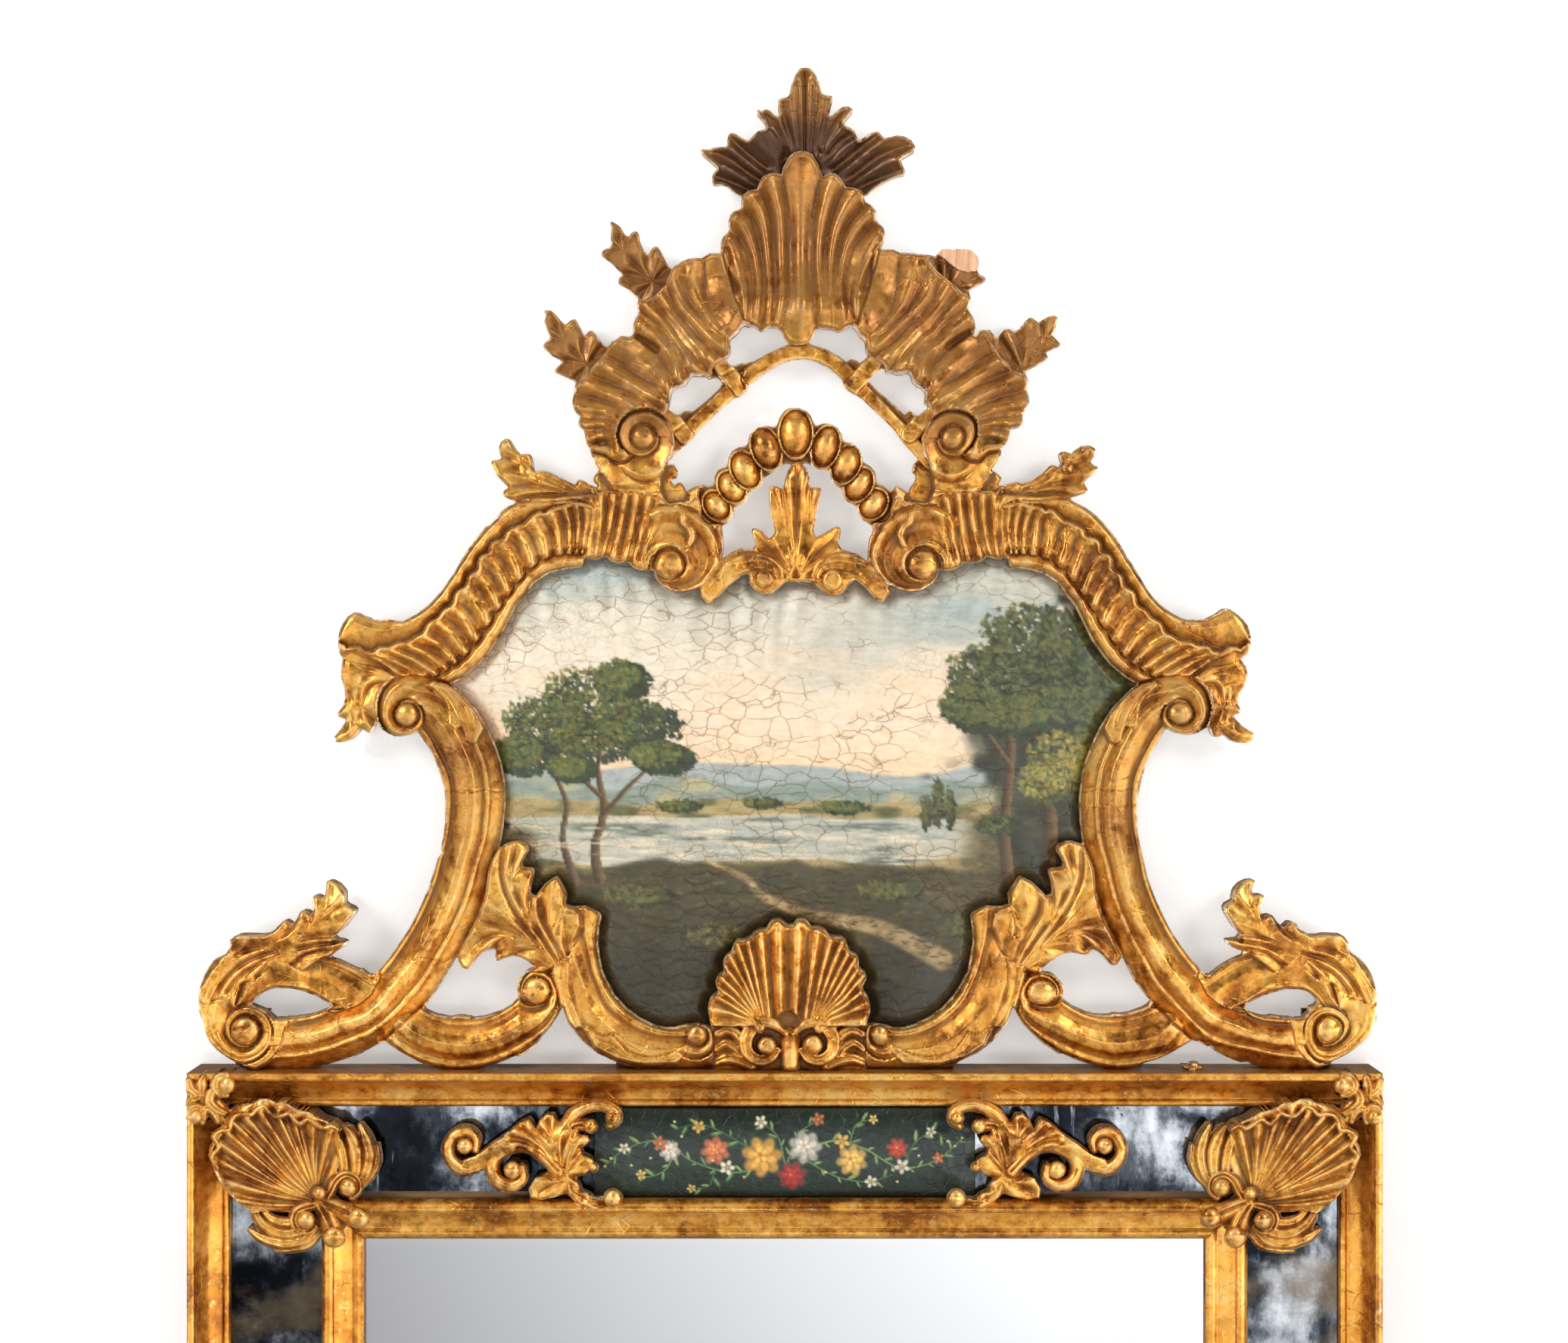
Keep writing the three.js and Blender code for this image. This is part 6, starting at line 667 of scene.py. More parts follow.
BROKEN = pl("1240,318 1306,318 1306,350 1291,357 1279,359 1266,356 1256,349 1247,341 1239,336")
EGGS = [(947, 668, 24.5, 19, 13.5, -40), (967, 643, 26, 20, 14.5, -35), (985, 621, 30, 21, 15.5, -30), (1012, 592, 33, 21.5, 17, -20),
        (1154, 666, 25, 20, 14, 38), (1135, 640, 27.5, 20, 15, 32), (1118, 613, 30, 21, 16, 26), (1091, 590, 32.5, 20.5, 17, 16), (1051.5, 572, 35.5, 24.5, 19, 0)]


def pearls():
    R = relief("pearl_arch", 22)
    R.H[:] = 29
    x, y = R.Q.T
    for cx, cy, b, a, _, tilt in EGGS:
        t = math.radians(tilt)
        u, v = (x - cx) * math.cos(t) + (y - cy) * math.sin(t), -(x - cx) * math.sin(t) + (y - cy) * math.cos(t)
        e = np.hypot(u / a, v / b)
        i = e < 1.03
        w = 1 - 3.6 / a
        egg = 31.0 + 15.0 * dome(e / w) + 1.2 * np.clip(-v / b, -1, 1)
        rim = 41.5 - 5.5 * np.clip(np.abs(e - (w + 1) / 2) / ((1 - w) / 2), 0, 1.3) ** 2
        h = np.where(e < w, egg, rim)
        h = np.where(np.abs(e - w) < .04, np.minimum(h, 35), h)
        R.H = np.where(i, np.maximum(h, 0), R.H)
    R.edge(3, 2.5)
    for n in ("fluted_scroll_left", "fluted_scroll_right", "palmette"):
        R.sink(OUT[n], 7, 4)
    return R.finish(61, .6)


def palmette():
    R = relief("palmette", 20)
    x, y = R.Q.T
    R.H = 40 + 5 * step(700, 640, y) + 7 * step(690, 760, y)
    R.H += 1.5 * dome(1 - R.d / 14)
    V = ["1051,615 1052,650 1052,700 1051,768", "1020,648 1028,670 1038,705 1045,745", "1083,648 1077,670 1066,705 1057,745",
         "1034,650 1038,690 1046,730", "1071,644 1069,690 1059,730",
         "993,698 1005,712 1022,728 1040,750", "1108,697 1100,712 1082,728 1062,750", "981,728 1000,738 1020,748 1036,760", "1124,732 1104,740 1086,748 1068,760"]
    R.lobes([spline(pl(v)) for v in V], 6.5, 18, where=(y < 764) & (np.abs(x - 1052) < 78))
    # the two arms curling into eyes
    for sg, cx, cy in ((1, 1100, 766), (-1, 1010, 764)):
        f = (lambda X: X) if sg == 1 else (lambda X: 2104 - X + 4)
        arm = [(1172, 786, 7, 45), (1160, 770, 11, 48), (1142, 752, 13, 50), (1120, 743, 13, 51), (1100, 742, 11, 51), (1084, 750, 8, 50), (1078, 764, 6, 49), (1082, 778, 5, 48), (1094, 786, 4, 47)]
        R.stroke([(f(a), b, w, h) for a, b, w, h in arm], "gouge", foot=9, k=.8)
        R.knob(cx, cy, 14.5 if sg == 1 else 12.5, 54, flat=.55, rise=6)
    R.edge(4, 3.5)
    for n in ("fluted_scroll_left", "fluted_scroll_right"):
        R.sink(OUT[n], 7, 5)
    return R.finish(71)


C_IN = "551,965 560,976 572,1000 578,1012 585,1029 588,1051 587,1076 584,1104 576,1136 570,1160 555,1198 538,1230 518,1260 501,1281 491,1292 484,1307 466,1321 438,1328 426,1335 412,1340 394,1343 376,1345 360,1347"
C_OUT = "537,890 545,891 564,892 584,897 598,905 612,918 627,935 642,959 653,982 662,1008 666,1034 667,1057 665,1083 661,1110 656,1130 648,1152 640,1183 629,1213 608,1254 591,1283 576,1309 558,1331 531,1356 510,1374 493,1385 480,1390 457,1399 430,1407 412,1412 394,1415 376,1416 351,1416 331,1412"
C_SEC = [(0, 42), (.03, 46), (.08, 47.5), (.12, 43.5), (.16, 45), (.26, 54), (.38, 59), (.5, 58.5), (.6, 53), (.645, 49), (.68, 52.5), (.73, 52.5), (.78, 48), (.9, 42), (1, 35)]


def c_scroll(name):
    R = relief(name)
    x, y = R.Q.T
    R.trim(pl(C_OUT), -1, 1396)
    H, v = R.band(spline(pl(C_IN)), spline(pl(C_OUT)), C_SEC, .012)
    R.H = H
    sec = [(1 - a, b) for a, b in C_SEC[::-1]]
    R.volute((537, 944), [(-30, 68), (-60, 60), (-90, 53.5), (-120, 47), (-150, 41), (-180, 37), (-225, 33.5), (-270, 30), (-315, 27), (-360, 24), (-405, 21), (-450, 19), (-490, 17.5)],
             [(0, 44), (.12, 50), (.3, 55), (.5, 55), (.75, 51), (.92, 48), (1, 42)], 15.4, 57, rise=3, wref=22, base=44, blend=75)
    # acanthus tongue laid on the turn of the scroll
    T = pl("563,905 574,912 584,922 589,931 592,945 594,959 601,965 609,961 612,970 613,980 621,984 630,982 634,974 640,962 632,944 618,926 603,911 588,902 572,899")
    m = inside(R.Q, [T])
    e = near(R.Q, np.vstack([T, T[:1]]))[0]
    R.H = np.where(m, np.maximum(R.H, 53) + 3.2 * step(0, 3.2, e), R.H)
    R.groove([(575, 906), (592, 920), (604, 940), (612, 958)], 1.6, 1.6, fade=.2)
    R.groove([(590, 905), (608, 922), (620, 942), (626, 966)], 1.6, 1.4, fade=.2)
    R.groove([(584, 1044), (610, 1046), (640, 1044), (667, 1046)], .7, 1.3)
    R.edge(4, 3)
    side = name.split("_")[-1]
    R.sink(OUT["u_scroll_" + side], 9, 4)
    R.sink(OUT["outer_volute_" + side], 7, 4)
    return R.finish(81 + (side == "right"))


F_CRIMP = "446,846 461,858 473,857 482,863 495,864 502,858 516,857 526,852 539,851 550,844 561,838 568,825 580,818 588,808 600,800 605,784 618,776 622,762 634,754 636,738 648,732 652,719 668,714 672,704 684,698 696,693 710,680 721,680 730,674 747,670 760,666 780,669"
F_NOTCH = [(462, 860), (478, 862), (499, 862), (521, 855), (545, 848), (565, 832), (584, 813), (602, 792), (620, 769), (635, 746), (650, 726), (670, 709), (690, 696), (716, 681), (738, 672), (753, 668), (768, 667), (781, 669)]
F_LOWN = [(535, 902), (552, 898), (568, 893), (581, 887), (594, 877), (607, 869), (621, 853), (636, 833), (651, 810), (664, 790), (678, 772), (694, 752), (712, 737), (731, 730), (747, 728), (758, 728), (766, 728), (772, 728)]
F_LOW = "500,915 520,905 545,898 566,893 580,888 590,879 604,872 615,862 628,846 638,834 650,819 657,806 663,794 668,784 676,774 682,765 690,755 699,750 708,743 721,735 736,730 752,728 772,728"
F_RAIL = "560,925 580,912 598,900 612,894 629,880 644,863 656,846 668,825 680,801 692,786 704,769 725,756 747,751 768,749"
F_SIL = "684,663 670,671 656,683 641,700 627,717 615,734 600,756 588,774 572,794 555,808 538,816 521,821 502,821 485,816 468,808 458,814 452,826 447,844 446,856"
F_TOP = "684,663 700,662 730,662 757,660 770,662 781,666"


def scallop(P, out=4.5):
    """Arcs between the points, swelling to the right of the way they run."""
    res = []
    for a, b in zip(P[:-1], P[1:]):
        a, b = np.array(a, float), np.array(b, float)
        t = (b - a) / (np.hypot(*(b - a)) + 1e-9)
        n = np.array([-t[1], t[0]])
        for k in range(6):
            u = k / 6
            res.append(a + (b - a) * u + n * out * math.sin(math.pi * u) ** .6)
    return np.array(res + [np.array(P[-1], float)])


def fluted(name):
    R = relief(name)
    x, y = R.Q.T
    crimp = pl(F_CRIMP)
    dc, sc, side_c, nc = near(R.Q, crimp)
    low = scallop([(512, 910)] + F_LOWN, 4.0)
    dl, _, side_l, _ = near(R.Q, low)
    ds = near(R.Q, np.vstack([spline(pl(F_SIL))[::-1], pl(F_TOP)]))[0]
    dr = near(R.Q, spline(pl(F_RAIL)))[0]
    above = side_c < 0
    below = (side_l > 0) & (x < 790)
    cove = lut(ds / (ds + dc + 1e-6), [(0, 44), (.08, 49), (.25, 52), (.5, 50), (.75, 45.5), (.93, 43), (1, 42)], .03)
    flute = lut(dc / (dc + dl + 1e-6), [(0, 57), (.07, 57), (.2, 52), (.45, 48.5), (.7, 50), (.88, 51), (1, 47)], .025)
    rail = lut(dl / (dl + dr + 1e-6), [(0, 39), (.15, 44), (.4, 49), (.65, 48.5), (.9, 44), (1, 39)], .03)
    zone = (~above) & (~below)
    R.H = np.where(above, cove, np.where(below, rail, flute))
    # the wide flutes next to the volute go on from the narrow ones
    top = "769,667 781,667 787,655 796,648 806,648 819,653 828,648 840,647 849,652 862,652 875,657 887,665"
    bot = "760,728 772,735 781,738 789,738 801,734 806,740 817,744 831,742 836,749 849,754 863,751"
    hw, v = R.band(pl(top), pl(bot), [(0, 52), (.1, 53), (.3, 47), (.55, 46), (.8, 54), (.92, 55), (1, 49)], .03)
    k = step(764, 790, x) * (((x < 905) & (y < 762)) * 1.0)
    R.H = R.H * (1 - k) + hw * k
    vals = [spline([a, ((a[0] + b[0]) / 2 + 3, (a[1] + b[1]) / 2 - 3), b]) for a, b in zip(F_NOTCH, F_LOWN)]
    wide = ["787,656 786,690 784,716 781,737", "801,650 800,684 796,712 791,737", "819,653 814,684 808,710 801,735", "834,649 829,684 823,714 817,742", "849,652 845,684 839,714 832,743", "866,655 859,684 851,712 843,738", "886,666 874,690 862,714 854,740"]
    fz = (zone & (x < 790) | (k > 0.5)) & (np.hypot(x - 885, y - 746) > 34)
    R.lobes(vals + [spline(pl(q)) for q in wide], 6.4, 15, where=fz, soft=.65)
    R.stroke([(p[0], p[1], 3.2, 57.5) for p in crimp[1:]], "round", foot=7, k=.8)
    R.volute((885, 746), [(-150, 40), (-125, 74), (-100, 80), (-80, 80), (-60, 78), (-40, 76), (-20, 73), (0, 69), (30, 58), (60, 45), (90, 35), (120, 31), (150, 28.5), (180, 26.5), (225, 24), (270, 22), (300, 21)],
             [(0, 46), (.05, 51), (.13, 55), (.22, 53), (.4, 46), (.6, 45), (.78, 51), (.92, 56), (1, 48)], 19.5, 58, rise=2, wref=30, base=44, blend=60)
    R.stroke([(893, 668, 3, 52), (901, 678, 4, 54), (903, 690, 4.5, 55), (911, 697, 5, 55), (915, 708, 5, 55), (910, 720, 4.5, 54), (903, 728, 4, 52)], "round", foot=5)
    # ear leaf at the outer end, in its own notches
    L = OUT["fluted_scroll_left"][0]
    ez = pl("440,858 470,858 500,872 524,892 534,905 520,925 505,940 500,975 470,985 435,985 425,940")
    ear = inside(R.Q, [ez])
    e = near(R.Q, np.vstack([ez, ez[:1]]))[0]
    kk = step(0, 7, e)
    R.H = np.where(ear, R.H * (1 - kk) + (44 + 3 * step(960, 880, y) + 3 * step(3, 10, R.d)) * kk, R.H)
    R.lobes(veins(L, [(530, 902), (505, 892), (484, 893), (468, 908), (458, 935), (452, 962), (440, 975)], ez, 1.1, 60, 20) + [spline([(534, 902), (508, 893), (486, 894), (470, 908), (461, 935), (455, 960)]), spline([(528, 896), (500, 880), (472, 876), (452, 868)]), spline([(520, 908), (500, 903), (486, 912), (478, 935), (474, 955)])], 6.0, 14, where=ear)
    # leaf on the shoulder
    sh = pl("640,560 700,560 712,600 760,615 790,640 790,655 758,657 730,661 705,661 684,664 664,664 640,640")
    leaf = inside(R.Q, [sh])
    kk = step(0, 6, near(R.Q, np.vstack([sh, sh[:1]]))[0])
    R.H = np.where(leaf, R.H * (1 - kk) + (37 + 10 * step(770, 665, x)) * kk, R.H)
    R.lobes(veins(L, [(786, 655), (750, 650), (716, 638), (694, 618), (680, 596), (671, 582)], sh, 1.6, 60, 20) + [spline([(786, 652), (750, 646), (716, 630), (696, 610), (682, 590)])], 6.0, 15, where=leaf)
    R.lip(4.0, 1.8, .8)
    R.edge(5.5, 4.5)
    side = name.split("_")[-1]
    R.sink(OUT["c_scroll_" + side], 9, 4)
    return R.finish(91 + (side == "right"))


FT_OUT = "480,1352 510,1374 523,1386 544,1399 565,1407 587,1412 608,1414 629,1412 651,1407 672,1399 693,1388 712,1373 727,1356 738,1337 741,1320 739,1305 732,1290 721,1280 710,1278"
FT_IN = "535,1312 558,1331 572,1339 591,1345 608,1347 629,1346 651,1340 668,1331 678,1324 687,1318 695,1325 706,1327 717,1325"


def foot(name):
    R = relief(name)
    R.trim(pl(FT_OUT), 1, 1396)
    H, v = R.band(spline(pl(FT_IN)), spline(pl(FT_OUT)), [(0, 40), (.04, 45), (.1, 47), (.15, 43.5), (.3, 51), (.5, 55), (.68, 52), (.8, 44.5), (.84, 45), (.9, 47), (.96, 45), (1, 39)], .014)
    R.H = H
    R.volute((709, 1309), [(60, 45), (30, 37), (0, 33), (-45, 30), (-90, 27.5), (-135, 24), (-180, 21), (-220, 19.2)],
             [(0, 43), (.12, 49), (.35, 54), (.6, 52), (.85, 48), (1, 42)], 17.5, 57, rise=2, wref=16, base=43, blend=60)
    R.edge(4, 3)
    side = name.split("_")[-1]
    R.sink(OUT["c_scroll_" + side], 9, 4)
    R.sink(OUT["u_scroll_" + side], 6, 3)
    return R.finish(101 + (side == "right"))


def outer(name):
    R = relief(name)
    x, y = R.Q.T
    R.trim(pl("262,1340 270,1362 279,1379 290,1390 305,1400 320,1407 335,1413 360,1419"), 1, 1380)
    R.H = 40 + 6 * dome(1 - R.d / 20)
    body_o = "301,1251 293,1262 284,1269 275,1280 267,1294 263,1312 262,1330 264,1344 270,1362 279,1379 290,1390"
    body_i = "421,1317 407,1310 390,1306 376,1305 362,1306 353,1309 344,1316 336,1323 332,1328 326,1332 316,1332 306,1336 302,1348 300,1362"
    strip_o = "407,1262 421,1262 439,1266 457,1272 475,1281 492,1292"
    strip_i = "376,1305 390,1306 407,1310 421,1317 438,1328 452,1334"
    hs, _ = R.band(spline(pl(strip_o)), spline(pl(strip_i)), [(0, 36), (.06, 40), (.12, 42), (.18, 39.5), (.4, 42), (.6, 42), (.8, 38.5), (.88, 41), (.94, 40), (1, 35)], .014)
    R.H = np.where((x > 395) & (y > 1258), hs, R.H)
    hb, v = R.band(spline(pl(body_o + " 340,1255 380,1262 407,1262")), spline(pl(body_i)), [(0, 44), (.1, 50), (.3, 53), (.55, 50), (.8, 45), (.92, 46), (1, 41)], .02)
    kb = step(412, 392, x) * step(1246, 1258, y)
    R.H = R.H * (1 - kb) + hb * kb
    R.volute((324, 1362), [(225, 70), (200, 62), (180, 57), (150, 47), (125, 43.5), (100, 44), (80, 42), (45, 39), (0, 36), (-45, 34), (-90, 31.5), (-135, 28.5), (-180, 26), (-225, 23.5), (-270, 21.5), (-300, 20.5)],
             [(0, 44), (.08, 50), (.18, 53), (.26, 49), (.4, 52), (.6, 52), (.85, 47), (1, 42)], 18.5, 58, rise=2, wref=20, base=44, blend=60)
    # leaf wrapped over the shoulder
    leaf = (y < 1262) & (x > 296) | (y < 1325) & (x < 372) & (x - 262 < 120)
    lz = pl("300,1236 336,1228 375,1205 410,1175 440,1150 480,1200 470,1225 440,1245 465,1240 460,1258 425,1268 400,1285 385,1276 366,1272 352,1284 336,1296 318,1302 305,1318 285,1322 268,1330 258,1310 275,1275 298,1258")
    leaf = inside(R.Q, [lz])
    e = near(R.Q, np.vstack([lz, lz[:1]]))[0]
    lh = 50 + 3 * dome(1 - R.d / 12) + 4 * step(1262, 1236, y) - 5 * step(1205, 1165, y)
    k = step(0, 4, e)
    R.H = np.where(leaf, np.maximum(R.H, 0) * (1 - k) + lh * k, R.H)
    rib = [(272, 1320), (284, 1292), (300, 1270), (324, 1256), (352, 1250), (382, 1243), (408, 1228), (426, 1208), (434, 1188), (436, 1170)]
    low = ["262,1342 270,1312 286,1286 306,1268", "276,1330 290,1304 310,1282 332,1268 360,1258", "300,1310 314,1292 334,1278 356,1268 384,1258", "340,1290 354,1272 374,1260 400,1252 440,1246", "386,1276 404,1262 430,1256 456,1254", "268,1300 280,1278 296,1262 312,1254"]
    R.lobes([spline(rib)] + veins(OUT["outer_volute_left"][0], rib, pl("280,1150 490,1150 490,1262 400,1262 300,1262 280,1262"), 2.2, 70, 20) + [spline(pl(q)) for q in low], 6.5, 15, where=leaf)
    R.lip(3.5, 1.8, .8)
    R.edge(5, 4)
    side = name.split("_")[-1]
    return R.finish(111 + (side == "right"))


U_OUT = "640,1180 655,1215 690,1245 712,1270 733,1290 742,1312 745,1335 749,1350 762,1366 776,1380 794,1393 816,1404 838,1411 852,1413 870,1414 895,1413 915,1413 940,1412"
U_IN = "793,1209 790,1227 789,1244 791,1262 794,1280 802,1299 812,1316 827,1332 843,1344 861,1353 879,1358 893,1359 905,1358 925,1354"


def u_scroll(name):
    R = relief(name)
    x, y = R.Q.T
    R.trim(pl(U_OUT), 1, 1396)
    H, v = R.band(spline(pl(U_IN)), spline(pl(U_OUT)), [(0, 38), (.04, 43), (.1, 47), (.18, 48), (.24, 43), (.3, 44), (.5, 52), (.7, 51), (.88, 45), (1, 38)], .014)
    R.H = H
    # overlaid leaves on the outer half
    for T, hh in (("735,1265 752,1267 753,1276 753,1299 757,1321 766,1341 770,1357 758,1360 744,1345 736,1310 728,1285", 53.5), ("770,1358 778,1357 787,1364 798,1368 809,1365 816,1373 830,1388 847,1397 863,1397 884,1392 899,1382 908,1378 910,1392 895,1406 850,1408 815,1400 785,1384", 52.5)):
        T = pl(T)
        m = inside(R.Q, [T])
        e = near(R.Q, np.vstack([T, T[:1]]))[0]
        R.H = np.where(m, hh - 3.5 + 3.5 * step(0, 3.5, e) - .02 * e ** 2, R.H)
    # acanthus cluster
    lz = pl("600,1240 618,1228 630,1205 634,1150 655,1105 700,1105 716,1140 745,1150 760,1196 770,1205 772,1225 752,1262 730,1285 706,1290 680,1272 650,1280 622,1292 600,1270")
    leaf = inside(R.Q, [lz])
    e = near(R.Q, np.vstack([lz, lz[:1]]))[0]
    lh = 48 + 4 * dome(1 - R.d / 12) + 4 * step(1255, 1165, y) - 2 * step(690, 630, x)
    k = step(0, 8, e)
    R.H = np.where(leaf, R.H * (1 - k) + lh * k, R.H)
    L = OUT["u_scroll_left"][0]
    A = [(744, 1282), (722, 1248), (700, 1215), (682, 1182), (676, 1150), (682, 1118)]
    B = [(750, 1278), (740, 1245), (733, 1215), (731, 1190), (734, 1166)]
    Cc = [(735, 1284), (712, 1256), (685, 1240), (655, 1236), (630, 1246), (610, 1268)]
    vs = [spline(q) for q in (A, Cc)] + veins(L, A, pl("620,1095 716,1095 716,1150 700,1215 720,1262 640,1205 620,1150"), 1.7, 60, 20) + veins(L, B, pl("712,1140 790,1140 790,1270 740,1270 712,1200"), 1.6, 50, 20) + veins(L, Cc, pl("590,1206 690,1222 735,1275 690,1300 590,1300"), 1.3, 50, 20)
    vs += [spline(pl(q)) for q in ("716,1172 714,1195 720,1222 736,1254 746,1280", "748,1178 744,1204 745,1232 752,1262", "626,1214 656,1222 686,1236 712,1258 728,1276", "662,1126 662,1156 670,1186 688,1218 712,1252")]
    R.lobes(vs, 7.0, 16, where=leaf)
    R.volute((921, 1368), [(150, 34), (110, 32), (70, 30), (30, 27), (0, 25), (-45, 22.5), (-90, 19.5), (-135, 16.5), (-170, 14.5)],
             [(0, 42), (.15, 47), (.4, 51), (.7, 49), (1, 42)], 13.2, 54, rise=1, wref=12, base=42, blend=70)
    R.lip(3.5, 1.8, .8)
    R.edge(5, 4)
    side = name.split("_")[-1]
    R.sink(OUT["bottom_shell"], 8, 4)
    return R.finish(121 + (side == "right"))


def bottom_shell():
    R = relief("bottom_shell")
    x, y = R.Q.T
    rho = np.hypot(x - 1040, (y - 1352))
    R.H = lut(rho / 140, [(0, 52), (.2, 58), (.5, 66), (.75, 69), (.88, 70), (.96, 68), (1, 64)], .03)
    V = ["943,1345 962,1344 985,1348", "937,1319 960,1330 988,1345", "950,1311 970,1325 992,1342", "946,1297 970,1316 995,1342", "956,1284 976,1306 998,1340", "957,1266 980,1300 1002,1342", "968,1252 986,1295 1005,1345", "980,1241 994,1290 1009,1350", "994,1235 1003,1290 1013,1355",
         "1015,1224 1018,1290 1023,1356", "1041,1223 1041,1290 1041,1358", "1069,1218 1064,1290 1058,1356", "1091,1232 1080,1290 1068,1355", "1107,1240 1090,1290 1073,1352", "1118,1250 1098,1295 1077,1346", "1127,1262 1104,1302 1081,1342", "1135,1270 1110,1310 1085,1342", "1137,1284 1114,1316 1088,1342", "1143,1296 1116,1324 1092,1342", "1142,1316 1120,1332 1094,1346", "1149,1336 1125,1342 1098,1350"]
    fanz = (y < 1356) & (rho > 14)
    R.lobes([pl(q) for q in V], 7.5, 13, where=fanz, soft=.8)
    R.lip(4.5, 2.2, 2.0)
    base = (y > 1356) | (rho < 16)
    R.H = np.where(base, 43 + 2 * dome(1 - R.d / 12), R.H)
    for sg in (1, -1):
        f = (lambda X: X) if sg == 1 else (lambda X: 2 * 1043.5 - X)
        for q in ([(944, 1404, 6, 50), (960, 1398, 9, 53), (976, 1400, 9, 54), (994, 1408, 8, 54)], [(946, 1386, 5, 50), (958, 1378, 7, 53), (970, 1382, 7, 55), (980, 1394, 7, 55)], [(948, 1366, 6, 53), (962, 1360, 8, 56), (974, 1366, 8, 57), (982, 1378, 7, 57)]):
            R.stroke([(f(a), b, w, h) for a, b, w, h in q], "leaf", foot=8)
    # small leaves at the foot, curling into eyes
    for sg in (1, -1):
        f = (lambda X: X) if sg == 1 else (lambda X: 2 * 1043.5 - X)
        arm = [(950, 1330, 5, 54), (962, 1338, 8, 57), (978, 1346, 10, 59), (992, 1356, 11, 60), (986, 1372, 10, 60), (988, 1390, 9, 60), (1002, 1400, 8, 60), (1018, 1398, 7, 60), (1027, 1388, 5, 59)]
        R.stroke([(f(a), b, w, h) for a, b, w, h in arm], "gouge", foot=9, k=.8)
        leafp = [(962, 1312, 4, 56), (974, 1328, 7, 59), (990, 1344, 9, 61), (1004, 1358, 8, 62)]
        R.stroke([(f(a), b, w, h) for a, b, w, h in leafp], "leaf", foot=7)
        R.stroke([(f(a), b, w, h) for a, b, w, h in [(992, 1352, 6, 58), (1008, 1350, 8, 61), (1024, 1354, 7, 61), (1034, 1362, 5, 58)]], "round", foot=7)
    R.knob(1013, 1382, 12.5, 64, flat=.4)
    R.knob(1074, 1381, 13.5, 64, flat=.4)
    R.stroke([(1044, 1370, 13, 60), (1045, 1392, 13, 61), (1045, 1408, 12.5, 60)], "round", foot=12)
    R.edge(4.5, 4)
    return R.finish(131)


def px_strokes(S):
    return [[(a, b, w) for a, b, w, h in q] for q in S]


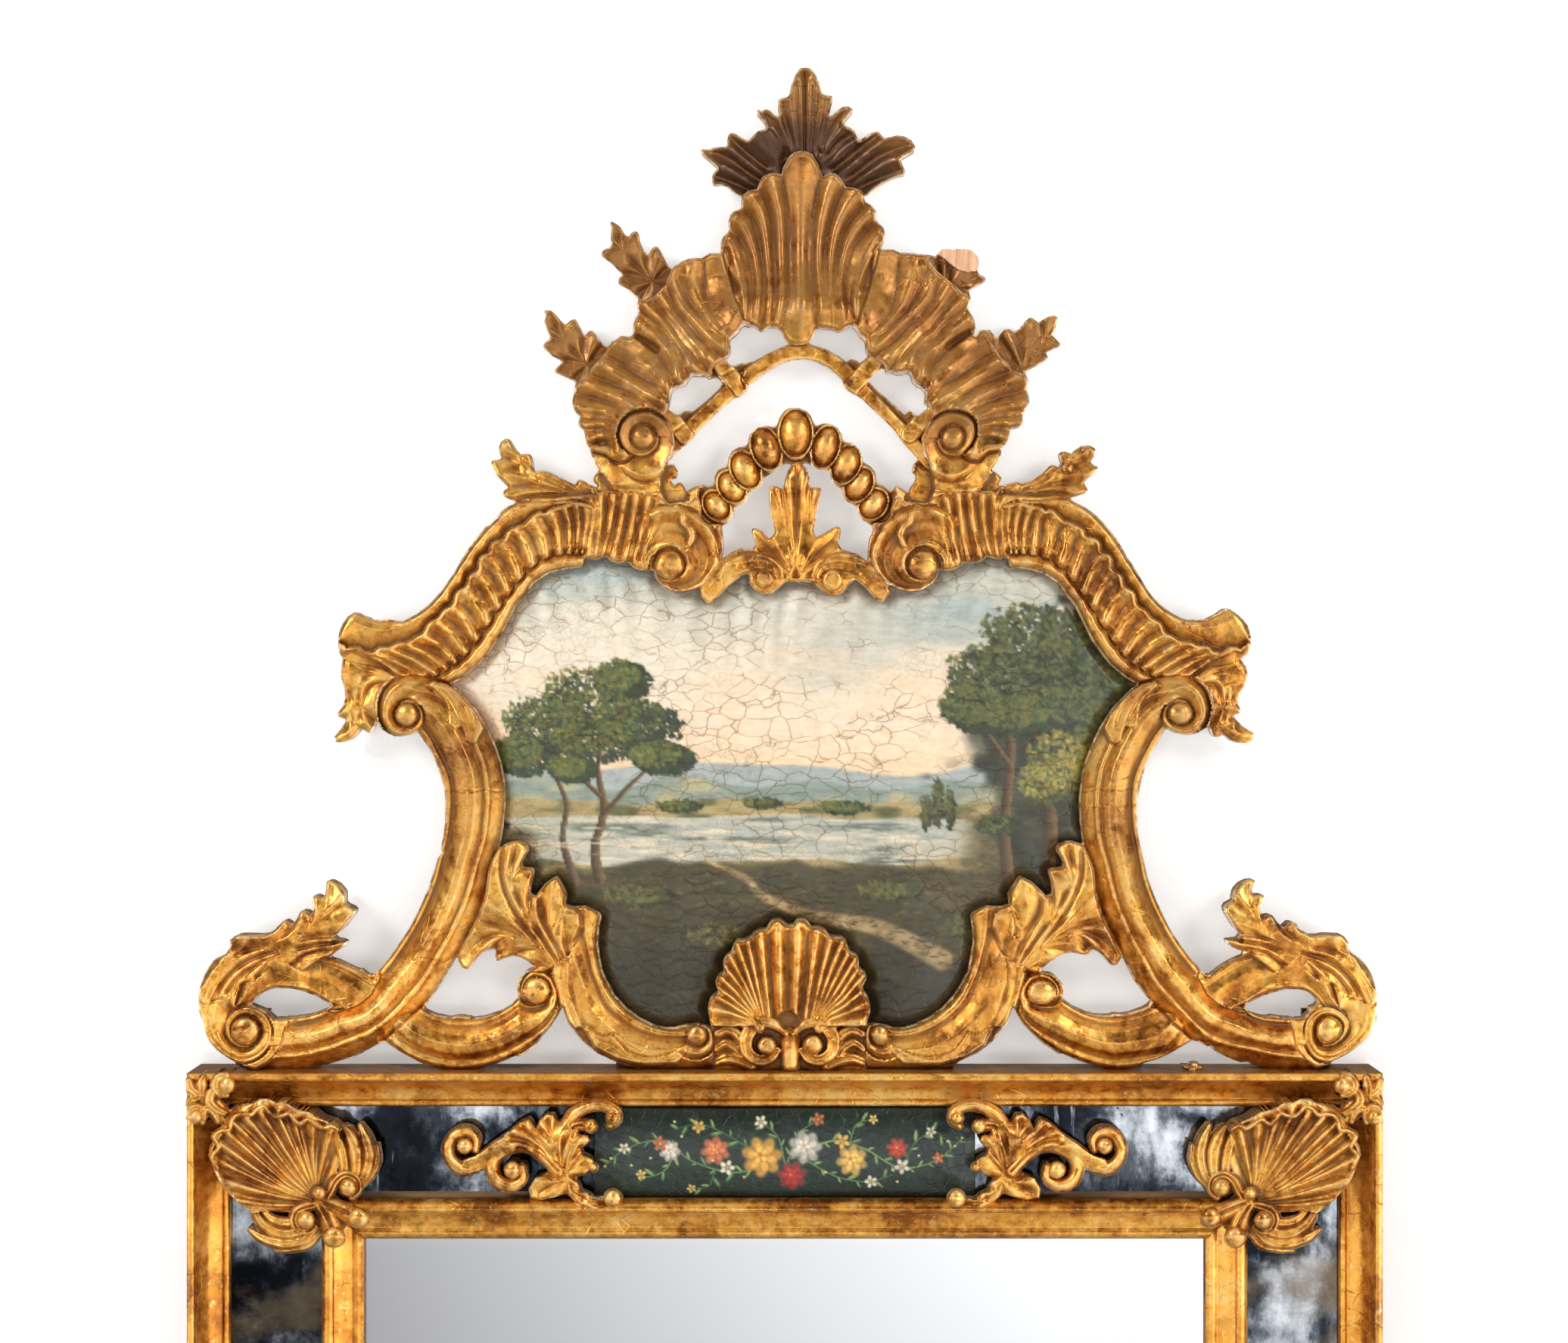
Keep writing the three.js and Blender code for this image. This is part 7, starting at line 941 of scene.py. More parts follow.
def corner():
    """Top left corner shell; the other three are turned copies."""
    rim = pl("275,1526 277,1514 281,1508 278,1502 280,1495 289,1489 297,1485 295,1477 301,1470 310,1460 322,1458 334,1456 343,1451 355,1451 366,1456 378,1456 386,1462 395,1466 409,1469 421,1477 434,1482 447,1492 450,1520 446,1550 438,1575 424,1594 404,1602 372,1602 348,1600 333,1603 320,1594 308,1583 292,1567 284,1550")
    leafs = [[(452, 1574, 5, 62), (455, 1548, 9, 67), (451, 1520, 10, 69), (443, 1500, 8, 66), (434, 1488, 4, 62)], [(462, 1572, 5, 62), (470, 1548, 9, 69), (470, 1522, 11, 71), (463, 1502, 9, 69), (455, 1489, 4, 63)],
             [(470, 1570, 5, 62), (483, 1550, 9, 68), (488, 1526, 10, 70), (483, 1504, 8, 68), (476, 1487, 4, 62)], [(474, 1570, 4, 60), (489, 1556, 6, 63), (498, 1536, 6, 64), (498, 1514, 4, 60)],
             [(414, 1612, 6, 66), (394, 1628, 9, 69), (370, 1630, 10, 69), (350, 1619, 8, 66), (339, 1604, 6, 62), (336, 1590, 3, 58)], [(418, 1622, 6, 64), (398, 1640, 9, 67), (371, 1643, 9, 67), (347, 1636, 8, 64), (330, 1625, 4, 58)],
             [(402, 1604, 6, 66), (384, 1615, 8, 69), (362, 1612, 8, 67), (348, 1600, 5, 62)], [(424, 1626, 5, 62), (408, 1644, 7, 64), (388, 1650, 6, 63), (366, 1652, 4, 59)]]
    curls = [[(425, 1590, 6, 68), (436, 1574, 8, 70), (444, 1560, 8, 71), (457, 1552, 8, 71), (471, 1558, 7, 70), (474, 1572, 6, 68), (465, 1582, 5, 66)], [(420, 1592, 6, 68), (408, 1594, 8, 70), (393, 1600, 8, 71), (388, 1612, 8, 71), (394, 1625, 7, 70), (407, 1627, 6, 68), (416, 1620, 5, 66)],
             [(424, 1588, 9, 71), (440, 1594, 12, 72), (458, 1602, 14, 72), (473, 1609, 14, 71)], [(422, 1592, 9, 71), (431, 1606, 13, 72), (438, 1621, 15, 72), (441, 1635, 14, 71)]]
    outc = [[(300, 1447, 4, 80), (288, 1444, 6, 81), (283, 1434, 7, 82), (288, 1424, 7, 82), (300, 1421, 5, 81)], [(287, 1438, 6, 81), (278, 1446, 8, 81), (277, 1457, 8, 81), (286, 1466, 7, 80), (300, 1472, 4, 78)],
            [(268, 1483, 4, 79), (269, 1472, 6, 80), (262, 1464, 7, 81), (252, 1466, 6, 81), (248, 1476, 4, 80)], [(266, 1470, 6, 80), (274, 1464, 7, 80), (283, 1470, 6, 79), (288, 1482, 4, 77)],
            [(262, 1447, 5, 79), (252, 1439, 8, 82), (249, 1430, 7, 81)], [(266, 1446, 5, 79), (266, 1434, 9, 82), (268, 1425, 7, 80)], [(262, 1450, 5, 79), (254, 1452, 8, 81), (248, 1458, 5, 80)]]
    plates = [[(462, 1572, 10, 60), (468, 1545, 20, 60), (466, 1515, 20, 60), (460, 1498, 12, 58)], [(420, 1612, 12, 60), (392, 1626, 19, 60), (362, 1626, 18, 60), (342, 1608, 10, 57)], [(424, 1580, 14, 62), (440, 1600, 20, 62), (452, 1606, 16, 62)],
              [(256, 1436, 11, 76), (268, 1450, 15, 76), (284, 1464, 15, 75), (298, 1476, 12, 74)]]
    discs = [(300, 1434, 13), (258, 1476, 11.5), (474, 1609, 15), (441, 1635, 15.5), (460, 1569, 15), (405, 1612, 15), (422, 1577, 10)]
    R = Relief("corner", [rim], px_strokes(leafs + curls + outc + plates), discs, back=34.8, g=1.15)
    x, y = R.Q.T
    R.H[:] = 46
    for q in plates:
        R.stroke(q, "round", foot=10, k=.8)
    for q in outc:
        R.stroke(q, "leaf", foot=8, k=.6)
    rho = np.hypot(x - 416, y - 1587)
    shell = inside(R.Q, [rim])
    R.H = np.where(shell, lut(rho / 172, [(0, 56), (.15, 60), (.4, 70), (.62, 79), (.76, 83), (.84, 82), (.9, 79), (.95, 72), (1, 60)], .02), R.H)
    inner = "287,1543 280,1531 282,1524 289,1516 283,1504 284,1499 293,1494 303,1493 306,1481 312,1474 322,1472 332,1473 339,1466 349,1462 356,1470 364,1475 374,1474 382,1471 390,1481 397,1485 407,1479 417,1485 428,1491 438,1487 448,1491"
    V = ["289,1545 330,1560 380,1578 412,1586", "287,1520 325,1545 375,1572 412,1585", "288,1497 330,1530 378,1568 412,1585", "305,1490 345,1528 385,1564 413,1583", "310,1475 350,1515 388,1558 414,1582", "334,1473 362,1510 394,1554 415,1581", "356,1470 376,1506 400,1550 416,1580",
         "376,1474 390,1510 406,1550 418,1580", "397,1485 404,1515 412,1550 419,1580", "425,1490 420,1520 418,1552 419,1580", "446,1500 436,1530 426,1558 421,1580", "300,1576 345,1584 385,1588 410,1588", "318,1594 355,1598 390,1596 412,1590"]
    R.lobes([spline(pl(q)) for q in V], 8.0, 17, where=shell & (rho < 151) & (rho > 12), soft=.9)
    for q in V:
        R.stroke([(a, b, w, h) for (a, b), w, h in zip(spline(pl(q)), np.interp(np.linspace(0, 1, len(spline(pl(q)))), [0, 1], [3.0, 1.6]), np.interp(np.linspace(0, 1, len(spline(pl(q)))), [0, .12, 1], [0, 1.6, 1.2]))], "soft", add=True)
    R.stroke([(a, b, 3.4, 84.0) for a, b in pl(inner)], "round", foot=7, k=.8)
    for q in leafs + curls:
        R.stroke(q, "leaf", foot=14, k=.6)
    for q in leafs:
        s2 = spline(q)
        R.stroke([(a, b, w * .30, h - 1.2) for a, b, w, h in q], "ridge", foot=4, k=.4)
    for a, b, r, h in ((300, 1434, 11.5, 87), (258, 1476, 10.0, 86.5), (460, 1569, 11.5, 79), (405, 1612, 12, 79), (422, 1577, 9, 79), (474, 1609, 13.5, 80), (441, 1635, 14, 80)):
        R.knob(a, b, r, h, rise=9)
    R.edge(4, 4)
    return R.finish(141, .8, floor=38)


def clasp():
    """Leaf clasp beside the top painted panel, left; the other three are turned copies."""
    fanp = pl("664,1502 675,1492 681,1487 688,1482 699,1478 703,1483 708,1491 713,1479 722,1472 731,1473 737,1481 745,1481 752,1486 756,1492 763,1492 766,1498 777,1500 780,1507 774,1514 768,1517 770,1525 784,1532 784,1544 774,1552 762,1556 770,1572 786,1582 800,1584 800,1600 780,1598 760,1588 748,1577 734,1582 716,1586 700,1583 698,1570 706,1556 722,1550 726,1544 718,1532 704,1522 686,1518 664,1530 640,1546 612,1552 612,1532 634,1524 650,1512")
    S = [([(637, 1533, 6, 60), (628, 1542, 9, 62), (610, 1544, 10, 64), (595, 1531, 9, 66), (592, 1514, 9, 67), (602, 1499, 9, 68), (618, 1496, 8, 68), (629, 1506, 7, 68), (628, 1519, 6, 67)], "round"),
         ([(612, 1541, 8, 62), (634, 1535, 11, 64), (652, 1522, 12, 66), (674, 1511, 12, 66), (698, 1512, 11, 67), (718, 1527, 10, 68), (738, 1548, 9, 70)], "leaf"),
         ([(700, 1516, 8, 64), (680, 1514, 10, 65), (660, 1522, 11, 66), (650, 1540, 10, 67), (656, 1559, 10, 68), (674, 1567, 9, 68), (690, 1558, 8, 68), (690, 1543, 7, 68)], "round"),
         ([(744, 1490, 8, 66), (757, 1474, 10, 68), (775, 1463, 9, 69), (795, 1461, 8, 69), (812, 1468, 8, 69), (816, 1480, 7, 68), (806, 1488, 6, 66)], "round"),
         ([(748, 1500, 7, 66), (760, 1488, 8, 67), (776, 1487, 9, 67)], "leaf")]
    discs = [(614, 1514, 12), (677, 1546, 13), (809, 1477, 10), (780, 1488, 10.5), (810, 1583, 13), (796, 1590, 9), (784, 1542, 8)]
    R = Relief("clasp", [fanp], px_strokes([q for q, _ in S]), discs, back=34.8, g=1.0)
    x, y = R.Q.T
    fan_ = inside(R.Q, [fanp])
    R.H[:] = 46
    R.H = np.where(fan_, 58 + 10 * step(1552, 1508, y) - 5 * step(1500, 1478, y) - 3 * step(1556, 1590, y) + 3 * dome(1 - R.d / 9), R.H)
    up = spline([(744, 1558), (738, 1530), (730, 1504), (724, 1480)])
    vs = veins(fanp, [(744, 1560), (738, 1532), (732, 1506), (726, 1484)], pl("655,1470 790,1470 790,1530 742,1556 700,1524 655,1512"), 1.8, 70, 18)
    vs += veins(fanp, [(744, 1546), (752, 1566), (770, 1580), (796, 1590)], pl("742,1540 800,1540 800,1604 742,1604"), 1.2, 40, 18) + veins(fanp, [(748, 1556), (734, 1562), (716, 1564), (704, 1576)], pl("690,1540 744,1548 744,1592 690,1592"), 1.2, 40, 18)
    vs += [up, spline([(742, 1556), (726, 1528), (708, 1506), (690, 1490)]), spline([(746, 1556), (752, 1530), (756, 1508), (756, 1494)]), spline([(740, 1556), (720, 1524), (700, 1510), (676, 1504)]), spline([(748, 1560), (760, 1576), (780, 1588), (798, 1592)]), spline([(746, 1562), (728, 1566), (712, 1576)])]
    R.lobes(vs, 7.0, 13, where=fan_, soft=.7)
    for q, f in S:
        R.stroke(q, f, foot=13, k=.6)
    for a, b, r, h in ((614, 1514, 10.5, 74), (677, 1546, 11.5, 75), (809, 1477, 9, 74), (780, 1488, 9.5, 74), (810, 1583, 12, 74), (784, 1542, 6.5, 66)):
        R.knob(a, b, r, h, rise=9)
    R.edge(3.5, 3.5)
    return R.finish(151, .7, floor=38)


def carve_all(names=None):
    todo = [("crown_shell", crown), ("plume", plume), ("strap_lattice", lattice), ("pearl_arch", pearls), ("palmette", palmette), ("bottom_shell", bottom_shell)]
    todo += [(n, (lambda n=n: sprig(n))) for n in SPRIG]
    for base, f in (("rocaille", rocaille), ("c_scroll", c_scroll), ("fluted_scroll", fluted), ("foot_scroll", foot), ("outer_volute", outer), ("u_scroll", u_scroll)):
        for side in ("left", "right"):
            todo.append((base + "_" + side, (lambda n=base + "_" + side, f=f: f(n))))
    todo += [("corner", corner), ("clasp", clasp)]
    return {n: f() for n, f in todo if names is None or n in names}


# ---------------------------------------------------------------- materials
class Mat:
    """Small helper that builds a node tree."""

    def __init__(s, name):
        s.m = bpy.data.materials.new(name)
        s.m.use_nodes = True
        s.t = s.m.node_tree
        s.t.nodes.clear()
        s.out = s.t.nodes.new("ShaderNodeOutputMaterial")
        s.b = s.t.nodes.new("ShaderNodeBsdfPrincipled")
        s.t.links.new(s.b.outputs[0], s.out.inputs["Surface"])
        s.tc = s.t.nodes.new("ShaderNodeTexCoord")
        s.pos = s.tc.outputs["Object"]

    def _in(s, node, key, v):
        if v is None:
            return
        sock = node.inputs[key]
        if isinstance(v, bpy.types.NodeSocket):
            s.t.links.new(v, sock)
        elif isinstance(v, (tuple, list)) and len(v) == 3 and sock.type == "RGBA":
            sock.default_value = (*v, 1)
        else:
            sock.default_value = v

    def scaled(s, sc, vec=None, turn=None):
        n = s.t.nodes.new("ShaderNodeMapping")
        s._in(n, "Vector", vec or s.pos)
        n.inputs["Scale"].default_value = sc if isinstance(sc, (tuple, list)) else (sc, sc, sc)
        if turn:
            n.inputs["Rotation"].default_value = turn
        return n.outputs[0]

    def noise(s, scale, detail=6.0, rough=0.55, vec=None, dist=0.0, color=False):
        n = s.t.nodes.new("ShaderNodeTexNoise")
        s._in(n, "Vector", vec or s.pos)
        s._in(n, "Scale", float(scale))
        s._in(n, "Detail", float(detail))
        s._in(n, "Roughness", rough)
        s._in(n, "Distortion", dist)
        return n.outputs["Color" if color else "Fac"]

    def vor(s, scale, feature="F1", vec=None, rand=1.0):
        n = s.t.nodes.new("ShaderNodeTexVoronoi")
        n.feature = feature
        s._in(n, "Vector", vec or s.pos)
        s._in(n, "Scale", float(scale))
        s._in(n, "Randomness", rand)
        return n.outputs["Distance"]

    def math(s, op, a, b=None, c=None, clamp=False):
        n = s.t.nodes.new("ShaderNodeMath")
        n.operation = op
        n.use_clamp = clamp
        for i, v in enumerate((a, b, c)):
            if v is not None:
                s._in(n, i, v)
        return n.outputs[0]

    def mul(s, a, b):
        return s.math("MULTIPLY", a, b)

    def add(s, a, b):
        return s.math("ADD", a, b)

    def fit(s, v, a, b, c=0.0, d=1.0, smooth=True):
        n = s.t.nodes.new("ShaderNodeMapRange")
        n.interpolation_type = "SMOOTHSTEP" if smooth else "LINEAR"
        s._in(n, "Value", v)
        for k, x in (("From Min", a), ("From Max", b), ("To Min", c), ("To Max", d)):
            s._in(n, k, float(x))
        return n.outputs[0]

    def mix(s, f, a, b, mode="MIX"):
        n = s.t.nodes.new("ShaderNodeMix")
        n.data_type = "RGBA"
        n.blend_type = mode
        n.clamp_factor = True
        s._in(n, "Factor", f)
        s._in(n, 6, a)
        s._in(n, 7, b)
        return n.outputs[2]

    def ramp(s, f, stops, ease=False):
        n = s.t.nodes.new("ShaderNodeValToRGB")
        s._in(n, "Fac", f)
        r = n.color_ramp
        r.interpolation = "EASE" if ease else "LINEAR"
        while len(r.elements) > 1:
            r.elements.remove(r.elements[-1])
        for i, (p, c) in enumerate(stops):
            e = r.elements[0] if i == 0 else r.elements.new(p)
            e.position = p
            e.color = (*c, 1)
        return n.outputs["Color"]

    def attr(s, name, color=False):
        n = s.t.nodes.new("ShaderNodeAttribute")
        n.attribute_name = name
        return n.outputs["Color" if color else "Fac"]

    def sep(s, v=None):
        n = s.t.nodes.new("ShaderNodeSeparateXYZ")
        s._in(n, 0, v or s.pos)
        return n.outputs

    def bump(s, h, strength=0.5, dist=0.001, normal=None):
        n = s.t.nodes.new("ShaderNodeBump")
        s._in(n, "Height", h)
        n.inputs["Strength"].default_value = strength
        n.inputs["Distance"].default_value = dist
        if normal is not None:
            s._in(n, "Normal", normal)
        return n.outputs[0]

    def warped(s, amount, scale, vec=None):
        """Coordinates shaken by a noise, for lines that wander."""
        base = vec or s.pos
        c = s.noise(scale, 3, .5, base, color=True)
        a = s.t.nodes.new("ShaderNodeVectorMath")
        a.operation = "SUBTRACT"
        s._in(a, 0, c)
        a.inputs[1].default_value = (.5, .5, .5)
        b = s.t.nodes.new("ShaderNodeVectorMath")
        b.operation = "MULTIPLY_ADD"
        s._in(b, 0, a.outputs[0])
        b.inputs[1].default_value = (amount, amount, amount)
        s._in(b, 2, base)
        return b.outputs[0]

    def put(s, **kw):
        names = {"color": "Base Color", "metal": "Metallic", "rough": "Roughness", "normal": "Normal", "coat": "Coat Weight", "coat_rough": "Coat Roughness",
                 "spec": "Specular IOR Level", "sheen": "Sheen Weight"}
        for k, v in kw.items():
            s._in(s.b, names[k], v)
        return s.m


def gold_leaf(name, relief=True, along=None):
    """Old water gilding over red bole and gesso, toned brown in the hollows."""
    M = Mat(name)
    p = M.pos
    big = M.noise(14, 4, .55)
    mid = M.noise(75, 7, .62)
    fine = M.noise(420, 5, .6)
    if along is not None:
        # streaks of the burnisher and of wiped toning, along the moulding
        streak = M.noise(30, 5, .6, M.scaled(along))
        streak2 = M.noise(120, 4, .6, M.scaled(along))
    else:
        streak = M.noise(46, 5, .6, M.scaled((1, 1, .35), turn=(0, .5, 0)))
        streak2 = M.noise(150, 4, .6, M.scaled((.35, 1, 1), turn=(0, -.4, 0)))
    tone = M.add(M.add(M.mul(big, .42), M.mul(mid, .33)), M.mul(streak, .25))
    gold = M.ramp(tone, [(.41, (.28, .092, .013)), (.46, (.54, .215, .030)), (.50, (.74, .345, .054)), (.54, (.87, .455, .090)), (.60, (.98, .62, .18))])
    if relief:
        cav, edge, depth = M.attr("cav"), M.attr("edge"), M.attr("depth")
    else:
        cav, edge, depth = M.attr("cav"), M.attr("edge"), M.attr("depth")
    lap = M.noise(190, 6, .68)
    gold = M.mix(M.mul(M.fit(lap, .55, .66), .55), gold, (.36, .125, .025))
    gold = M.mix(M.mul(M.fit(M.noise(130, 6, .66), .55, .67), .45), gold, (1.0, .70, .28))
    # bright gold on the raised spots: painted highlight, partly worn high spots
    high = M.mul(M.fit(cav, -.45, -2.4), M.fit(mid, .36, .62))
    gold = M.mix(M.mul(high, .65), gold, (1.0, .68, .27))
    # toning and painted shade, heavier on the upper carving
    age = M.attr("age")
    shade_film = M.math("MINIMUM", M.mul(age, M.fit(M.add(M.mul(mid, .5), M.mul(streak, .5)), .30, .66, .45, 1.15, False)), .9)
    gold = M.mix(shade_film, gold, (.225, .088, .018))
    # strongest darkening: painted shadow in the plume's hollow behind the crown shell, and on the sprigs
    gold = M.mix(M.fit(age, .95, 1.7, 0, .92), gold, (.050, .020, .008))
    # red bole showing through in rubbed patches
    rub = M.mul(M.fit(M.noise(52, 9, .72), .57, .68), M.fit(cav, 1.2, -.6))
    gold = M.mix(M.mul(rub, .62), gold, (.30, .095, .035))
    # brown toning in the hollows and in drifts
    dirt = M.add(M.fit(M.add(cav, M.mul(M.fit(mid, .3, .7, -.5, .5, False), 1.1)), .22, 2.7), M.mul(M.fit(big, .52, .72), .20))
    drift = M.mul(M.fit(M.noise(30, 8, .72), .55, .72), .26)
    dirt = M.math("MAXIMUM", dirt, drift)
    dirt = M.math("MINIMUM", dirt, .86)
    gold = M.mix(dirt, gold, M.ramp(mid, [(.3, (.085, .030, .008)), (.7, (.190, .078, .018))]))
    # fly specks and small dents
    sp = M.mul(M.fit(M.vor(210), .15, .08), M.fit(M.noise(50, 3, .5), .46, .58))
    gold = M.mix(M.mul(sp, .85), gold, (.035, .016, .008))
    # chips to bole and gesso along the edges
    chipn = M.noise(64, 9, .7)
    chip = M.mul(M.fit(chipn, .585, .61), M.fit(edge, .20, .7))
    gold = M.mix(M.mul(M.mul(M.fit(chipn, .52, .56), M.fit(edge, .12, .65)), .8), gold, (.24, .075, .035))
    gold = M.mix(M.mul(chip, .9), gold, (.72, .60, .48))
    # painted highlight: bright gold along the rims of the carving, partly rubbed edges
    rim = M.mul(M.fit(edge, .22, .85), M.fit(M.noise(90, 5, .6), .36, .56))
    gold = M.mix(M.mul(rim, .62), gold, (.96, .68, .36))
    # the flanks go from toned gold to bare wood towards the wall
    side = M.fit(M.add(depth, M.mul(M.fit(M.noise(40, 6, .65), .2, .8, -.5, .5, False), .55)), .52, .88)
    wood = M.ramp(M.noise(60, 6, .6, M.scaled((1, 6, 1))), [(.25, (.16, .075, .030)), (.5, (.30, .165, .075)), (.75, (.42, .26, .13))])
    wood = M.mix(M.fit(M.noise(9, 5, .6), .42, .7), wood, (.085, .045, .022))
    col = M.mix(side, gold, wood)
    metal = M.mul(M.mul(M.fit(M.math("MAXIMUM", dirt, M.mul(shade_film, .6)), 0, 1, .90, .15, False), M.fit(chip, 0, 1, 1, 0, False)), M.fit(side, 0, 1, 1, 0, False))
    rough = M.add(M.add(M.fit(mid, .38, .62, .26, .46, False), M.mul(dirt, .18)), M.mul(side, .3))
    h = M.add(M.add(M.mul(mid, .55), M.mul(fine, .30)), M.add(M.mul(streak2, .35), M.mul(chipn, .25)))
    h = M.add(h, M.mul(chip, -.9))
    # hairline cracks in the gesso, here and there
    cr = M.mul(M.fit(M.vor(34, "DISTANCE_TO_EDGE", M.warped(.012, 30)), .022, .0), M.fit(M.noise(11, 3, .5), .50, .60))
    h = M.add(h, M.mul(cr, -.8))
    n = M.bump(h, .55, .0009)
    return M.put(color=col, metal=metal, rough=rough, normal=n)


def bare_wood(name, along="x", dark=0.0, dusty=.35):
    """Old unpainted pine or lime wood: grain, saw marks, age and dust."""
    M = Mat(name)
    sc = {"x": (.05, 1, 1), "z": (1, 1, .05)}[along]
    g = M.noise(95, 7, .6, M.scaled(sc), dist=.6)
    g2 = M.noise(26, 4, .5, M.scaled(sc), dist=1.2)
    f = M.add(M.mul(g, .6), M.mul(g2, .4))
    k = 1 - dark
    col = M.ramp(f, [(.28, (.12 * k, .060 * k, .026 * k)), (.42, (.25 * k, .140 * k, .065 * k)), (.55, (.38 * k, .235 * k, .12 * k)), (.72, (.50 * k, .34 * k, .19 * k))])
    stain = M.fit(M.noise(5, 6, .65), .45, .72)
    col = M.mix(M.mul(stain, .6), col, (.075, .042, .022))
    col = M.mix(M.mul(M.fit(M.noise(16, 8, .7), .52, .75), dusty), col, (.42, .37, .31))
    knot = M.fit(M.vor(3.4, vec=M.scaled({"x": (.55, 1, 1.3), "z": (1.3, 1, .55)}[along])), .085, .03)
    col = M.mix(M.mul(knot, .8), col, (.06, .028, .012))
    worm = M.fit(M.vor(75), .055, .03)
    col = M.mix(M.mul(worm, M.fit(M.noise(6, 3, .5), .52, .62)), col, (.02, .01, .006))
    saw = M.noise(260, 3, .5, M.scaled({"x": (1, .2, .12), "z": (.12, .2, 1)}[along]))
    h = M.add(M.mul(g, .7), M.add(M.mul(saw, .35), M.mul(worm, -.8)))
    return M.put(color=col, rough=M.fit(f, .3, .7, .72, .9, False), normal=M.bump(h, .6, .0012))


def antique_glass(name):
    """Old mercury glass: a dark, clouded silver with foxing and scuffs."""
    M = Mat(name)
    cloud = M.noise(7.5, 6, .62, M.warped(.10, 5))
    cloud2 = M.noise(30, 7, .65)
    smear = M.noise(11, 6, .65, M.scaled((1.6, 1, .55), turn=(0, .7, 0)))
    t = M.add(M.mul(cloud, .55), M.add(M.mul(smear, .3), M.mul(cloud2, .15)))
    col = M.ramp(t, [(.42, (.001, .0015, .003)), (.475, (.004, .0055, .009)), (.504, (.017, .021, .028)), (.529, (.072, .080, .092)), (.56, (.23, .245, .265)), (.63, (.48, .51, .54))])
    warm = M.mul(M.fit(M.noise(5.5, 5, .6, M.scaled((1, 1, 1.5))), .42, .56), M.fit(M.sep()[2], -.115, -.165))
    col = M.mix(M.mul(warm, .80), col, (.125, .094, .060))
    scuff = M.mul(M.fit(M.noise(120, 5, .6, M.scaled((1, 1, .12), turn=(0, .5, 0))), .60, .70), M.fit(M.noise(12, 4, .6), .48, .60))
    col = M.mix(M.mul(scuff, .45), col, (.34, .36, .39))
    fox = M.mul(M.fit(M.noise(85, 9, .75), .60, .68), M.fit(M.noise(9, 4, .5), .44, .62))
    col = M.mix(M.mul(fox, .85), col, (.010, .009, .009))
    dots = M.mul(M.fit(M.vor(210), .13, .07), M.fit(M.noise(20, 3, .5), .48, .62))
    col = M.mix(M.mul(dots, .8), col, (.015, .013, .012))
    haze = M.fit(M.noise(18, 8, .7), .50, .72)
    col = M.mix(M.mul(haze, .12), col, (.30, .33, .36))
    # the silver is best kept beside the mouldings and the carving
    wear = M.mul(M.fit(M.attr("rim"), .12, .9), M.fit(M.noise(30, 9, .72, M.scaled((1, 1, .7))), .37, .56))
    col = M.mix(M.mul(wear, .80), col, (.50, .53, .56))
    metal = M.fit(fox, 0, 1, .88, .25, False)
    rough = M.add(M.fit(haze, 0, 1, .05, .20, False), M.add(M.mul(fox, .3), M.mul(M.fit(M.noise(140, 5, .6), .3, .7, 0, .06, False), 1.0)))
    wave = M.add(M.noise(5, 2, .5), M.mul(M.noise(160, 4, .6), .02))
    return M.put(color=col, metal=metal, rough=rough, normal=M.bump(wave, .18, .004), coat=.03, coat_rough=.05, spec=.25)


def clear_mirror(name):
    """The main plate: a clean silvered glass with the least haze of dust."""
    M = Mat(name)
    dust = M.fit(M.noise(3.5, 6, .6), .35, .75)
    scr = M.fit(M.noise(700, 3, .5, M.scaled((1, 1, .02), turn=(0, .9, 0))), .70, .80)
    col = M.mix(M.mul(dust, .25), (.52, .525, .53), (.49, .495, .50))
    rough = M.add(M.fit(dust, 0, 1, .012, .045, False), M.mul(scr, .05))
    wave = M.noise(1.6, 2, .4)
    return M.put(color=col, metal=.97, rough=rough, normal=M.bump(wave, .04, .003))


def green_lacquer(name):
    """Dark green painted panel; the spray comes from the painted colour layer."""
    M = Mat(name)
    ptc = M.attr("paint", True)
    al = M.attr("cover")
    n1 = M.noise(22, 6, .6)
    g = M.ramp(n1, [(.3, (.003, .009, .006)), (.5, (.006, .016, .010)), (.7, (.011, .026, .016))])
    g = M.mix(M.mul(M.fit(M.noise(60, 8, .7), .5, .72), .35), g, (.022, .032, .022))
    col = M.mix(al, g, ptc)
    craze = M.vor(64, "DISTANCE_TO_EDGE", M.warped(.010, 60))
    lump = M.noise(34, 6, .62, M.warped(.02, 20))
    pit = M.noise(160, 6, .65)
    h = M.add(M.add(M.mul(lump, 1.0), M.mul(pit, .32)), M.add(M.mul(M.fit(craze, .03, 0), -.30), M.mul(al, .16)))
    rough = M.add(M.fit(pit, .3, .7, .24, .42, False), M.mul(al, .1))
    return M.put(color=col, rough=rough, normal=M.bump(h, .8, .0016), spec=.5, coat=.12, coat_rough=.2)


